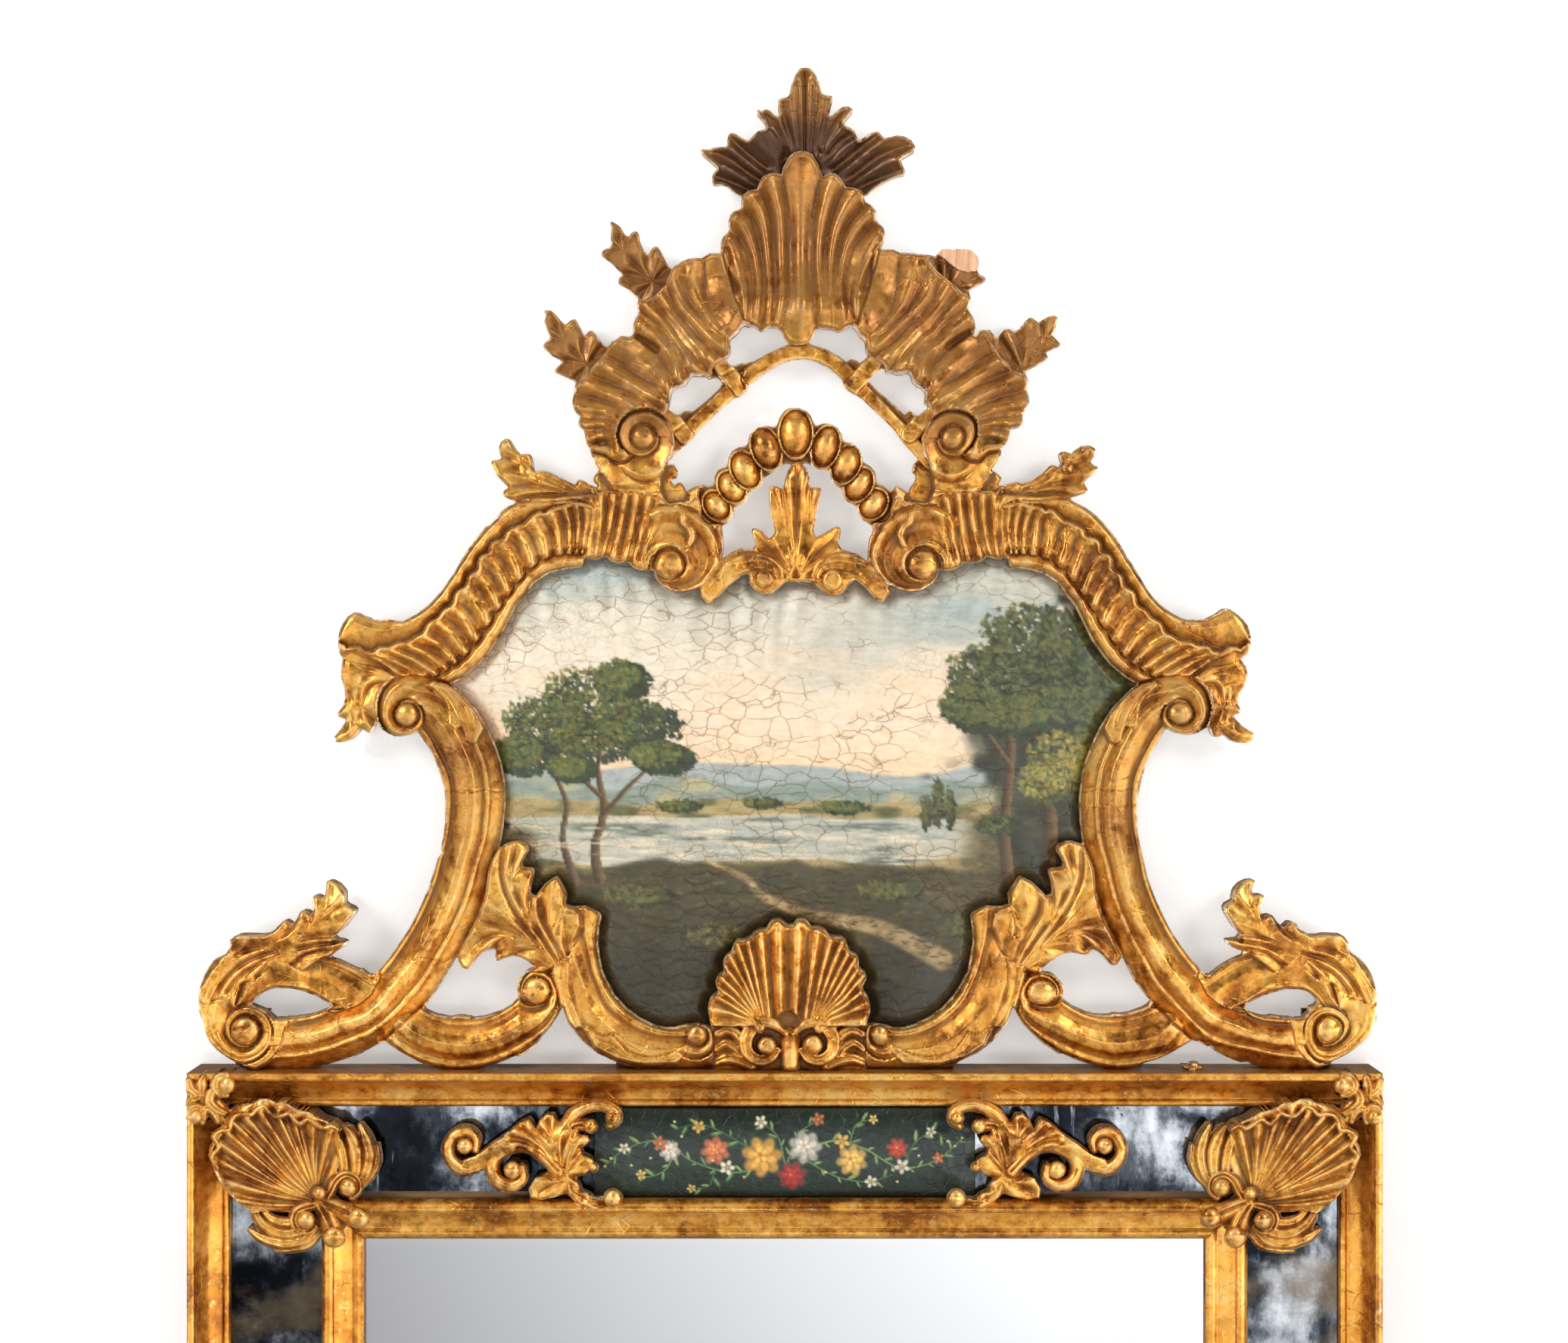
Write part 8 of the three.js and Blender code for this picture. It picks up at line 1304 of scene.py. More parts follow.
def painted_canvas(name):
    """Oil paint on canvas: crackle, brush ridges and a yellowed, half-gloss varnish."""
    M = Mat(name)
    col = M.attr("paint", True)
    n1 = M.noise(40, 7, .62)
    brush = M.noise(170, 5, .6, M.scaled((.28, 1, 1), turn=(0, .25, 0)))
    col = M.mix(M.mul(M.fit(brush, .35, .68), .22), col, (1.0, .93, .80), "SOFT_LIGHT")
    col = M.mix(M.mul(M.fit(brush, .60, .35), .25), col, (.25, .20, .14), "SOFT_LIGHT")
    # crackle: a coarse and a fine net, with gaps
    w1 = M.warped(.016, 45)
    w2 = M.warped(.006, 90)
    c1 = M.vor(50, "DISTANCE_TO_EDGE", M.scaled((.75, 1, 1.3), w1))
    c2 = M.vor(118, "DISTANCE_TO_EDGE", w2)
    gap1 = M.fit(M.noise(15, 4, .6), .40, .55)
    gap2 = M.fit(M.noise(12, 4, .6, M.scaled((1, 1, 1.7))), .47, .60)
    k1 = M.mul(M.fit(c1, .026, .004), gap1)
    k2 = M.mul(M.fit(c2, .045, .006), gap2)
    crack = M.math("MAXIMUM", M.mul(k1, .68), M.mul(k2, .36))
    col = M.mix(crack, col, (.36, .27, .18), "MULTIPLY")
    # grime beside the cracks, and brown stains near the top
    col = M.mix(M.mul(M.mul(M.fit(c1, .12, 0), gap1), .22), col, (.62, .50, .36), "MULTIPLY")
    st = M.mul(M.fit(M.noise(21, 7, .7, M.scaled((2.2, 1, .7))), .635, .70), M.fit(M.sep()[2], .28, .48))
    col = M.mix(M.mul(st, .55), col, (.14, .085, .045))
    col = M.mix(.05, col, (.55, .42, .22))
    weave = M.add(M.noise(900, 1, .4, M.scaled((1, 1, .25))), M.noise(900, 1, .4, M.scaled((.25, 1, 1))))
    cup = M.fit(c1, 0, .16)
    h = M.add(M.add(M.mul(cup, M.mul(gap1, .55)), M.mul(crack, -.55)), M.add(M.mul(brush, .45), M.mul(weave, .10)))
    h = M.add(h, M.mul(M.noise(9, 4, .55, M.warped(.05, 8)), 1.4))
    rough = M.add(M.fit(n1, .3, .7, .30, .46, False), M.mul(crack, .3))
    return M.put(color=col, rough=rough, normal=M.bump(h, .55, .0014), spec=.42)


def black_iron(name):
    M = Mat(name)
    n1 = M.noise(60, 8, .65)
    col = M.ramp(n1, [(.3, (.018, .015, .013)), (.5, (.045, .036, .030)), (.7, (.085, .062, .045))])
    rust = M.fit(M.noise(35, 9, .7), .55, .68)
    col = M.mix(M.mul(rust, .75), col, (.17, .060, .022))
    col = M.mix(M.mul(M.fit(M.noise(240, 4, .6), .58, .7), .5), col, (.16, .15, .14))
    return M.put(color=col, metal=M.fit(rust, 0, 1, .85, .2, False), rough=M.fit(n1, .3, .7, .42, .75, False),
                 normal=M.bump(M.add(n1, M.mul(M.noise(400, 4, .6), .4)), .6, .0008))


def broken_wood(name):
    """Fresh pink-brown break of a lost leaf."""
    M = Mat(name)
    g = M.noise(240, 6, .6, M.scaled((1, .4, .12), turn=(0, 1.2, 0)))
    col = M.ramp(g, [(.3, (.50, .26, .14)), (.5, (.66, .38, .23)), (.7, (.76, .50, .33))])
    return M.put(color=col, rough=.82, normal=M.bump(g, .8, .0015))


def plain(name, col, rough=.9, spot=.04):
    M = Mat(name)
    n1 = M.noise(3, 6, .6)
    c = M.mix(M.fit(n1, .3, .7), tuple(x * (1 - spot) for x in col), col)
    return M, c, n1


# ---------------------------------------------------------------- build
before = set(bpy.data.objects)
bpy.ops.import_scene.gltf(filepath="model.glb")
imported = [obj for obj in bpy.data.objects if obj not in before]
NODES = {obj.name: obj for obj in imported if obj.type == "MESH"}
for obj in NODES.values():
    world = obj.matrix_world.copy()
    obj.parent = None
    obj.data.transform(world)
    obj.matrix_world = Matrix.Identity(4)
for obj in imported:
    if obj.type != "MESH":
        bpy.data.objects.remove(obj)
lo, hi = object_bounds()
CAD_BOX = [list(map(float, lo)), list(map(float, hi))]
LO, HI = np.array(CAD_BOX[0]) * 1000 + 0.05, np.array(CAD_BOX[1]) * 1000 - 0.05
MM = 0.001


def srgb(*c):
    return tuple(((v / 255 + 0.055) / 1.055) ** 2.4 if v > 10 else v / 255 / 12.92 for v in c)


def new_mesh(name, co, faces, mats, floats=None, colours=None, mat_index=None, smooth=True, body="frame", node=()):
    """co in mm; faces a list of index arrays (quads or n-gons)."""
    me = bpy.data.meshes.new(name)
    co = np.asarray(co, np.float32) * MM
    quads = np.concatenate([np.asarray(f, np.int32).ravel() for f in faces])
    sizes = np.concatenate([np.full(len(f), len(f[0]), np.int32) for f in faces])
    me.vertices.add(len(co))
    me.vertices.foreach_set("co", co.ravel())
    me.loops.add(len(quads))
    me.loops.foreach_set("vertex_index", quads)
    me.polygons.add(len(sizes))
    me.polygons.foreach_set("loop_start", np.concatenate([[0], np.cumsum(sizes)[:-1]]).astype(np.int32))
    me.polygons.foreach_set("loop_total", sizes)
    if mat_index is not None:
        me.polygons.foreach_set("material_index", np.asarray(mat_index, np.int32))
    me.polygons.foreach_set("use_smooth", np.full(len(sizes), smooth, bool))
    me.update(calc_edges=True)
    me.validate()
    for k, v in (floats or {}).items():
        me.attributes.new(k, "FLOAT", "POINT").data.foreach_set("value", np.asarray(v, np.float32))
    for k, v in (colours or {}).items():
        a = me.attributes.new(k, "FLOAT_COLOR", "POINT")
        a.data.foreach_set("color", np.concatenate([v, np.ones((len(v), 1))], 1).astype(np.float32).ravel())
    for m in mats:
        me.materials.append(m)
    o = bpy.data.objects.new(name, me)
    bpy.context.scene.collection.objects.link(o)
    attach(o, body)
    if node:
        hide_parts(*node)
    return o


def sheet_grid(R, back=True, chamfer=5.0):
    """Grid nodes, faces and per-point values of a relief."""
    g, sd = R.g, R.sd
    M = sd < -0.35 * g
    near8 = M.copy()
    for dy in (-1, 0, 1):
        for dx in (-1, 0, 1):
            near8 |= np.roll(np.roll(M, dy, 0), dx, 1)
    gy, gx = np.gradient(sd, g)
    n = np.hypot(gx, gy) + 1e-6
    X, Y = R.X.copy(), R.Y.copy()
    rim = near8 & ~M
    X[rim] -= (sd * gx / n)[rim]
    Y[rim] -= (sd * gy / n)[rim]
    cell = M[:-1, :-1] | M[1:, :-1] | M[:-1, 1:] | M[1:, 1:]
    idx = np.full(sd.shape, -1)
    idx[near8] = np.arange(near8.sum())
    a, b, c, d = idx[:-1, :-1][cell], idx[:-1, 1:][cell], idx[1:, 1:][cell], idx[1:, :-1][cell]
    F = np.stack([a, d, c, b], 1)
    t = R.Z[near8]
    x, z = place(X[near8], Y[near8], t)
    x, z = np.clip(x, LO[0], HI[0]), np.clip(z, LO[2], HI[2])
    N = len(t)
    dist = np.maximum(-sd[near8], 0)
    dist[rim[near8]] = 0
    co = np.stack([x, -t, z], 1)
    fl = {"cav": R.cav[near8], "edge": np.exp(-(dist / 2.4) ** 2), "depth": np.zeros(N)}
    faces, mi = [F], [np.zeros(len(F), int)]
    if back:
        tb = np.minimum(R.back + chamfer * np.clip(1 - dist / 7.0, 0, 1) + 0.5 * noise(np.stack([X[near8], Y[near8]], 1), 14, 77), t - 2.0)
        co = np.vstack([co, np.stack([x, -tb, z], 1)])
        fl = {k: np.concatenate([v, np.full(N, {"cav": 0.0, "edge": 0.0, "depth": 1.0}[k])]) for k, v in fl.items()}
        E = np.concatenate([F[:, [0, 1]], F[:, [1, 2]], F[:, [2, 3]], F[:, [3, 0]]])
        key, rev = E[:, 0] * N + E[:, 1], E[:, 1] * N + E[:, 0]
        E = E[~np.isin(key, rev)]
        faces += [np.stack([E[:, 1], E[:, 0], E[:, 0] + N, E[:, 1] + N], 1), F[:, ::-1] + N]
        mi += [np.zeros(len(E), int), np.ones(len(F), int)]
    return co, faces, fl, np.concatenate(mi), (X[near8], Y[near8], N)


# ---------------------------------------------------------------- finishes
GOLD = gold_leaf("gilt_carving")
GOLD_X = gold_leaf("gilt_moulding_level", along=(.06, 1, 1))
GOLD_Z = gold_leaf("gilt_moulding_upright", along=(1, 1, .06))
RAW = bare_wood("carving_back", "x", dark=.25)
PINE_X = bare_wood("bare_pine_level", "x")
PINE_Z = bare_wood("bare_pine_upright", "z", dark=.08)
OLDGLASS = antique_glass("antique_mirror")
MIRROR = clear_mirror("mirror_plate")
GREEN = green_lacquer("painted_panel")
PAINTED = painted_canvas("painted_canvas")
IRON = black_iron("iron")
BREAK = broken_wood("broken_leaf")

# ---------------------------------------------------------------- carved pieces
# how much each carved piece is darkened: part toning, part painted shade on the upper carving
TONE_AND_SHADE = {"plume": 1.14, "c_scroll": .52, "crown_shell": .92, "rocaille": .86, "sprig_upper": 1.15, "sprig_lower": 1.08, "palmette": .22, "pearl_arch": .18, "fluted_scroll": .40, "bottom_shell": .16, "outer_volute": .12, "u_scroll": .30, "corner": .22}
for name, R in carve_all().items():
    co, faces, fl, mi, (px, py, N) = sheet_grid(R)
    a0 = max([v for k, v in TONE_AND_SHADE.items() if name.startswith(k)] + [.04])
    # painted shade: the plume darkest in its hollow behind the crown shell; crown, rocailles, fluted and C-scrolls
    # darker towards their tops
    shade_and_tone_gradient = 1.0
    if name == "plume":
        rr = np.hypot((px - 1062) * .9, py - 290)
        shade_and_tone_gradient = np.interp(rr, [60, 105, 140, 175, 210], [1.95, 1.6, 1.15, .98, .88])
    elif name.startswith("fluted"):
        shade_and_tone_gradient = np.where(py < 700, 1.0, .8)
    elif name.startswith("c_scroll"):
        shade_and_tone_gradient = step(1290, 1080, py) * .9 + .1
    elif name.startswith("rocaille"):
        shade_and_tone_gradient = step(640, 560, py) * .75 + .25
    elif name == "crown_shell":
        shade_and_tone_gradient = step(470, 380, py) * .55 + .45
    fl["age"] = np.tile(a0 * shade_and_tone_gradient * np.ones(N), 2)
    if name in ("corner", "clasp"):
        for v in ("top", "bottom"):
            for h in ("left", "right"):
                c = co.copy()
                fs = faces
                if h == "right":
                    c[:, 0] *= -1
                if v == "bottom":
                    c[:, 2] = 2 * -619.75 - c[:, 2]
                if (h == "right") != (v == "bottom"):
                    fs = [f[:, ::-1] for f in faces]
                n = ("corner_shell_" if name == "corner" else "clasp_") + v + "_" + h
                c[:, 0] = np.clip(c[:, 0], -633.0, 633.0)
                c[:, 2] = np.clip(c[:, 2], -1299.8, 62.4)
                new_mesh("carved_" + n, c, fs, [GOLD, RAW], fl, None, mi, node=[n])
        continue
    mats = [GOLD, RAW]
    if name == "sprig_upper_right":
        mats.append(BREAK)
        c = faces[0]
        q = (px[c].mean(1), py[c].mean(1))
        brk = inside(np.stack(q, 1), [BROKEN])
        mi[:len(c)][brk] = 2
    new_mesh("carved_" + name, co, faces, mats, fl, None, mi, node=[name])

# ---------------------------------------------------------------- mouldings
OUTER = [(0, 2), (0, 67), (1.5, 72), (4.5, 75), (7.5, 73.8), (9, 70), (10.5, 66), (13.5, 58), (18.5, 49.5), (25, 44), (31, 41.8), (33, 43.4), (35.5, 44.6), (38.5, 43), (40, 39.5), (40, 34.6), (32.5, 34.6), (32.5, 30.4), (6.5, 30.4), (6.5, 2)]
INNER = [(0, 34.6), (0, 44), (2.5, 50), (6, 54), (10, 55), (13, 53), (14.5, 49.5), (19, 45.5), (25, 42), (31, 40), (34, 40.8), (37, 42), (40, 41), (43, 37.5), (45, 34), (45, 30.7), (6.4, 30.7), (6.4, 34.6)]


def section(raw, first, last, cuts):
    """Front curve drawn smooth, small fillet grooves cut at the given places, back left square."""
    out = [raw[i] for i in range(first)]
    front = spline([(s, t) for s, t in raw[first:last + 1]], .9)
    for s0, dp in cuts:
        front[:, 1] -= dp * np.exp(-((front[:, 0] - s0) / .75) ** 2)
    pts = [(raw[first - 1][0], t) for t in np.linspace(raw[first - 1][1], front[0, 1], 10)[1:-1]] if first else []
    return np.array(out + pts + [tuple(p) for p in front] + [raw[i] for i in range(last + 1, len(raw))])


def member(name, raw, first, last, cuts, side, hw, top, bot, node):
    S = section(raw, first, last, cuts)
    K = len(S)
    half = hw if side in ("top", "bottom") else (top - bot) / 2
    mid = 0 if side in ("top", "bottom") else (top + bot) / 2
    u = np.linspace(-1, 1, int(half * 2 / 5.5) + 1)
    u = np.concatenate([[-1, -1 + 1.2 / half], u[1:-1], [1 - 1.2 / half, 1]])
    s, t = S[:, 0], S[:, 1].copy()
    L = np.outer(u, half - s) + mid
    seed = sum(map(ord, name))
    T = np.tile(t, (len(u), 1))
    q = np.stack([L.ravel() / .8, np.tile(s, len(u)) / .8 + seed], 1)
    wob = (.35 * noise(q * [1, .4], 60, seed % 97) + .22 * noise(q * [1, .8], 17, seed % 89) + .16 * noise(q, 5.5, seed % 83)).reshape(T.shape)
    front = (t > 36) & (s < 44)
    T = T + np.where(front, wob, 0) * step(44, 38, s)
    T[[0, -1]] -= np.where(front, .8, 0)
    Sx = np.tile(s, (len(u), 1))
    flank = (s < .01)
    Sx = Sx + np.where(flank & (t > 4), np.abs(.5 * wob) + .02, 0)
    if side == "top":
        co = np.stack([L, -T, top - Sx], 2)
    elif side == "bottom":
        co = np.stack([-L, -T, bot + Sx], 2)
    elif side == "left":
        co = np.stack([-hw + Sx, -T, L], 2)
    else:
        co = np.stack([hw - Sx, -T, 2 * mid - L], 2)
    co = co.reshape(-1, 3)
    i, j = np.meshgrid(np.arange(len(u) - 1), np.arange(K), indexing="ij")
    j1 = (j + 1) % K
    F = np.stack([i * K + j, (i + 1) * K + j, (i + 1) * K + j1, i * K + j1], -1).reshape(-1, 4)
    caps = [np.arange(K)[None, ::-1][:, ::-1], (np.arange(K) + (len(u) - 1) * K)[None, ::-1]]
    # toning gathers in the hollows of the section
    fs = np.linspace(0, s.max(), 300)
    fi = [k for k in range(K) if front[k]]
    prof = np.interp(fs, s[fi], t[fi])
    w = np.exp(-.5 * (np.arange(-45, 46) / 15) ** 2)
    sm = np.convolve(np.pad(prof, 45, mode="edge"), w / w.sum(), "valid")
    w2 = np.exp(-.5 * (np.arange(-12, 13) / 4) ** 2)
    sm2 = np.convolve(np.pad(prof, 12, mode="edge"), w2 / w2.sum(), "valid")
    cav = np.interp(s, fs, (sm - prof) / 2.4 + (sm2 - prof) / .55)
    cav = np.where(front, np.clip(cav * .7, -2.2, 1.9), 0)
    depth = np.where(flank, np.clip((70 - t) / 60, 0, 1), np.where(front, 0, 1.0))
    edge = np.where(front, np.clip(-cav * .55, 0, 1), 0)
    # Winding: faces point out
    v = co[F[:2000, 1]] - co[F[:2000, 0]]
    fl = {"cav": np.tile(cav, len(u)) + .4 * noise(q, 9, 5), "edge": np.tile(edge, len(u)), "depth": np.tile(depth, len(u)), "age": np.tile(np.where(flank, .75, .05), len(u))}
    vol = 0.0
    P0 = co - co.mean(0)
    for tri in ((0, 1, 2), (0, 2, 3)):
        vol += np.einsum("ij,ij->i", P0[F[:, tri[0]]], np.cross(P0[F[:, tri[1]]], P0[F[:, tri[2]]])).sum()
    if vol < 0:
        F = F[:, ::-1]
        caps = [caps[0][:, ::-1], caps[1][:, ::-1]]
    level = side in ("top", "bottom")
    o = new_mesh("moulding_" + name, co, [F, caps[0], caps[1]], [GOLD_X if level else GOLD_Z], fl, node=[node])
    # square back edges stay crisp
    at = o.data.attributes.new("sharp_face", "BOOLEAN", "FACE")
    at.data.foreach_set("value", np.concatenate([np.tile(~(front | flank) , len(u) - 1), [True, True]]))
    return o


for side in ("top", "right", "bottom", "left"):
    member("outer_" + side, OUTER, 2, 14, ((9.2, .6), (31.6, .5)), side, 633, 60.5, -1300, "outer_moulding_" + side)
    member("inner_" + side, INNER, 1, 14, ((14.2, .6), (32.2, .5)), side, 495, -77.5, -1162, "inner_moulding_" + side)


# ---------------------------------------------------------------- painting on the canvas
def dabs(C, X, Y, g, pts, col, alpha=.85, soft=.6):
    """Brush dabs: rows of x, y, half length, half width, angle; col rows of rgb."""
    x0, y0 = X[0, 0], Y[0, 0]
    ny, nx = X.shape
    for (x, y, a, b, th), c in zip(pts, col):
        r = max(a, b) + 1.5
        i0, i1 = max(int((x - r - x0) / g), 0), min(int((x + r - x0) / g) + 2, nx)
        j0, j1 = max(int((y - r - y0) / g), 0), min(int((y + r - y0) / g) + 2, ny)
        if i1 <= i0 or j1 <= j0:
            continue
        dx, dy = X[j0:j1, i0:i1] - x, Y[j0:j1, i0:i1] - y
        ct, st = math.cos(th), math.sin(th)
        e = np.hypot((dx * ct + dy * st) / a, (-dx * st + dy * ct) / b)
        m = alpha * np.clip((1.15 - e) / soft, 0, 1)
        C[j0:j1, i0:i1] = C[j0:j1, i0:i1] * (1 - m[..., None]) + np.array(c) * m[..., None]


def blend(C, m, c):
    c = np.asarray(c, float)
    C[:] = C * (1 - m[..., None]) + c * m[..., None]


def ramp_y(Y, stops):
    ys = [s[0] for s in stops]
    cs = np.array([s[1] for s in stops], float)
    return np.stack([np.interp(Y, ys, cs[:, k]) for k in range(3)], -1)


def paint_view(X, Y, g):
    """A made-up lake view: two tall trees on a bank, water, low hills. Colours 0 to 255."""
    rs = np.random.RandomState(7)
    P = np.stack([X.ravel(), Y.ravel()], 1)
    nz = lambda s, k, sx=1.0, sy=1.0: noise(P * [sx, sy], s, k).reshape(X.shape)
    C = ramp_y(Y + 14 * nz(120, 301) + 6 * nz(40, 302), [(740, (172, 184, 182)), (800, (196, 202, 196)), (860, (222, 217, 204)), (930, (240, 226, 207)), (985, (244, 223, 198)), (1040, (240, 210, 172)), (1075, (228, 192, 146))])
    blend(C, np.clip(nz(95, 303, .7, 1.5) * 1.4, 0, .8) * step(1000, 860, Y) * .8, (236, 230, 220))
    blend(C, np.clip(nz(110, 304, .6, 1.6) * 1.3 - .1, 0, .7) * step(960, 800, Y), (148, 170, 178))
    blend(C, np.clip(nz(60, 305, .5, 1.8), 0, .6) * step(800, 900, Y) * step(1040, 980, Y) * .8, (242, 218, 190))
    blend(C, np.clip(nz(26, 306, .45, 2.0), 0, .5) * .35 * step(1060, 1000, Y), (214, 214, 206))
    hill = lambda y0, k, amp, s: step(0, 5, Y - (y0 + amp * nz(s, k, 1, .02)))
    blend(C, hill(1012, 311, 20, 150) * .9, (152, 168, 174))
    blend(C, hill(1032, 312, 14, 90) * .9, (132, 150, 140))
    blend(C, np.clip(nz(22, 313, .5, 1.5), 0, 1) * hill(1034, 312, 14, 90) * .7, (196, 178, 128))
    blend(C, hill(1056, 314, 7, 60) * .9, (176, 154, 102))
    blend(C, np.clip(nz(16, 315, .6, 1.6) * 1.4, 0, 1) * hill(1056, 314, 7, 60) * .8, (92, 104, 62))
    # water
    water = step(0, 3, Y - (1078 + 4 * nz(70, 316, 1, .05))) * step(0, 4, (1142 + 10 * nz(90, 317, 1, .05)) - Y) * step(600, 660, X) * step(1330, 1250, X + .6 * (Y - 1100))
    blend(C, water * .95, np.array([186, 192, 186]) + 14 * nz(30, 318, .25, 2.2)[..., None] * np.array([1.2, .8, .4]))
    blend(C, water * np.clip(nz(14, 319, .18, 2.4) * 1.5 - .3, 0, .8), (112, 124, 112))
    blend(C, water * np.clip(nz(10, 320, .2, 2.4) * 1.5 - .5, 0, .8), (238, 226, 204))
    # banks and foreground
    bank = np.clip(step(0, 8, Y - (1092 + 16 * nz(80, 321, 1, .1))) * step(760, 640, X), 0, 1)
    blend(C, bank * .95, (104, 92, 56))
    bank2 = np.clip(step(0, 8, Y - (1082 + 18 * nz(70, 322, 1, .1))) * step(1240, 1330, X), 0, 1)
    blend(C, bank2 * .95, (98, 88, 58))
    fg = step(0, 14, Y - (1146 + 22 * nz(110, 323, 1, .15) + 8 * nz(30, 324)))
    blend(C, fg * .97, (66, 62, 42))
    blend(C, fg * step(1190, 1300, Y) * .9, (38, 40, 30))
    blend(C, fg * np.clip(nz(34, 325, .6, 1.4) * 1.5 - .2, 0, 1) * .75, (104, 92, 56))
    blend(C, fg * np.clip(nz(15, 326, .8, 1.3) * 1.5 - .5, 0, 1) * .7, (46, 66, 40))
    # a pale path running down the slope
    d = near(P, spline([(930, 1136), (985, 1160), (1010, 1185), (1075, 1210), (1160, 1226), (1245, 1268)]))
    w = np.interp(d[1] / d[3], [0, 1], [5, 17])
    blend(C, (np.clip((w - d[0]) / 5, 0, 1).reshape(X.shape)) * .75, np.array([196, 166, 118]) + 20 * nz(9, 327)[..., None])
    # grass and earth touches
    n = 2600
    x, y = rs.uniform(450, 1660, n), rs.uniform(1088, 1365, n)
    ok = (y > 1150) | (x < 700) | (x > 1290)
    pts = np.stack([x, y, rs.uniform(3, 9, n), rs.uniform(1.2, 2.6, n), rs.uniform(-.5, .3, n)], 1)[ok]
    pal = np.array([(118, 104, 62), (78, 92, 50), (52, 58, 38), (142, 120, 74), (88, 70, 44), (40, 52, 36)])
    k = rs.randint(0, 6, n)[ok]
    shade = np.clip(1.25 - (pts[:, 1:2] - 1100) / 300, .55, 1.15)
    dabs(C, X, Y, g, pts, pal[k] * shade, .55)
    # boulders
    for bx, by, br in ((1392, 1150, 34), (1440, 1168, 24), (1352, 1176, 18), (560, 1172, 22), (1120, 1262, 20)):
        m = np.hypot((X - bx) / br, (Y - by) / (br * .6)) + .18 * nz(12, 330)
        blend(C, np.clip((1 - m) * 6, 0, 1) * .95, np.array([128, 116, 96]) + 22 * nz(8, 331)[..., None])
        blend(C, np.clip((1 - m) * 6, 0, 1) * step(-.1, .5, (Y - by) / br + .4 * (X - bx) / br), (66, 58, 46))
        blend(C, np.clip((1 - m) * 6, 0, 1) * step(-.25, -.6, (Y - by) / br + .4 * (X - bx) / br) * .7, (204, 186, 154))

    # trees: trunk, limbs, then leaves in dark, middle and light dabs
    def tree(base, limbs, crowns, n, dark, midc, light, leaf=5.0):
        for L in limbs:
            q = spline(L)
            lo_, hi_ = q[:, :2].min(0) - 12, q[:, :2].max(0) + 12
            m = ((P > lo_) & (P < hi_)).all(1)
            dd, aa, sd_, _ = near(P[m], q)
            l = np.concatenate([[0], np.cumsum(np.hypot(*np.diff(q[:, :2], axis=0).T))])
            ww = np.interp(aa, l, q[:, 2])
            a = np.zeros(len(P))
            a[m] = np.clip((ww - dd) / 1.6 + .5, 0, 1)
            li = np.zeros(len(P))
            li[m] = np.clip(.5 + sd_ * dd / np.maximum(ww, .5) * .7, 0, 1)
            a, li = a.reshape(X.shape), li.reshape(X.shape)
            cc = np.array([58, 44, 32]) * (1 - li[..., None]) + np.array([138, 108, 76]) * li[..., None]
            C[:] = C * (1 - a[..., None]) + cc * a[..., None]
        for layer, (cl, cnt, off) in enumerate(((dark, n, 0), (midc, n, -.12), (light, int(n * .55), -.34))):
            k = rs.randint(0, len(crowns), cnt)
            cr = np.array(crowns, float)[k]
            an, rr = rs.uniform(0, 2 * math.pi, cnt), np.sqrt(rs.uniform(0, 1, cnt)) * (1.0 if layer < 2 else .86)
            x = cr[:, 0] + cr[:, 2] * (rr * np.cos(an) + off)
            y = cr[:, 1] + cr[:, 3] * (rr * np.sin(an) + off * 1.1)
            pts = np.stack([x, y, rs.uniform(.7, 1.4, cnt) * leaf, rs.uniform(.45, .9, cnt) * leaf, rs.uniform(0, 3.14, cnt)], 1)
            c = np.array(cl, float)[rs.randint(0, len(cl), cnt)] * rs.uniform(.85, 1.12, (cnt, 1))
            dabs(C, X, Y, g, pts, c, .8)

    dk, md, lt = [(24, 44, 34), (32, 52, 36), (28, 38, 30)], [(38, 68, 48), (48, 76, 46), (34, 60, 46)], [(140, 132, 58), (92, 112, 56), (104, 126, 66)]
    grove = np.clip((1.05 - np.hypot((X - 1610) / 330, (Y - 1010) / 225) + .20 * nz(46, 351) + .12 * nz(18, 352)) * 6, 0, 1)
    blend(C, grove * .96, np.array([38, 52, 46]) + 14 * nz(20, 353)[..., None])
    glow = np.clip(nz(30, 354, .7, 1.2) * 1.5 - .35, 0, 1) * grove * step(960, 1060, Y) * step(1190, 1120, Y)
    blend(C, glow * .7, (128, 124, 96))
    tree((0, 0), [[(1332, 1166, 9), (1328, 1090, 7), (1336, 990, 6), (1330, 900, 4)], [(1384, 1160, 11), (1388, 1080, 9), (1378, 960, 7), (1390, 860, 5)], [(1446, 1166, 9), (1440, 1090, 8), (1450, 970, 6), (1440, 880, 4)], [(1390, 980, 5), (1420, 930, 3.5), (1440, 900, 2)], [(1334, 1010, 4), (1306, 970, 3), (1290, 940, 2)]],
         [(1330, 900, 70, 40), (1390, 850, 80, 44), (1450, 880, 80, 54), (1300, 940, 50, 30), (1500, 930, 60, 60), (1420, 940, 70, 30), (1356, 950, 50, 24)], 2600, [(22, 40, 34), (30, 48, 38), (26, 36, 30)], [(40, 66, 50), (50, 76, 50), (36, 60, 46)], [(104, 116, 66), (84, 104, 62), (124, 124, 70)], 4.0)
    tree((0, 0), [], [(1540, 930, 60, 44), (1480, 986, 50, 40), (1590, 900, 50, 46), (1530, 1010, 70, 60), (1600, 1010, 60, 80), (1452, 1050, 40, 40), (1520, 1090, 70, 36)], 1500, [(20, 36, 28), (30, 44, 32)], [(38, 62, 42), (54, 74, 44)], [(92, 110, 58), (120, 126, 66)], 4.2)
    tree((0, 0), [[(560, 1130, 3), (556, 1080, 2.2), (560, 1040, 1.5)]], [(545, 1040, 34, 44), (570, 1062, 40, 34), (520, 1070, 26, 30)], 620, dk, md, lt, 3.6)
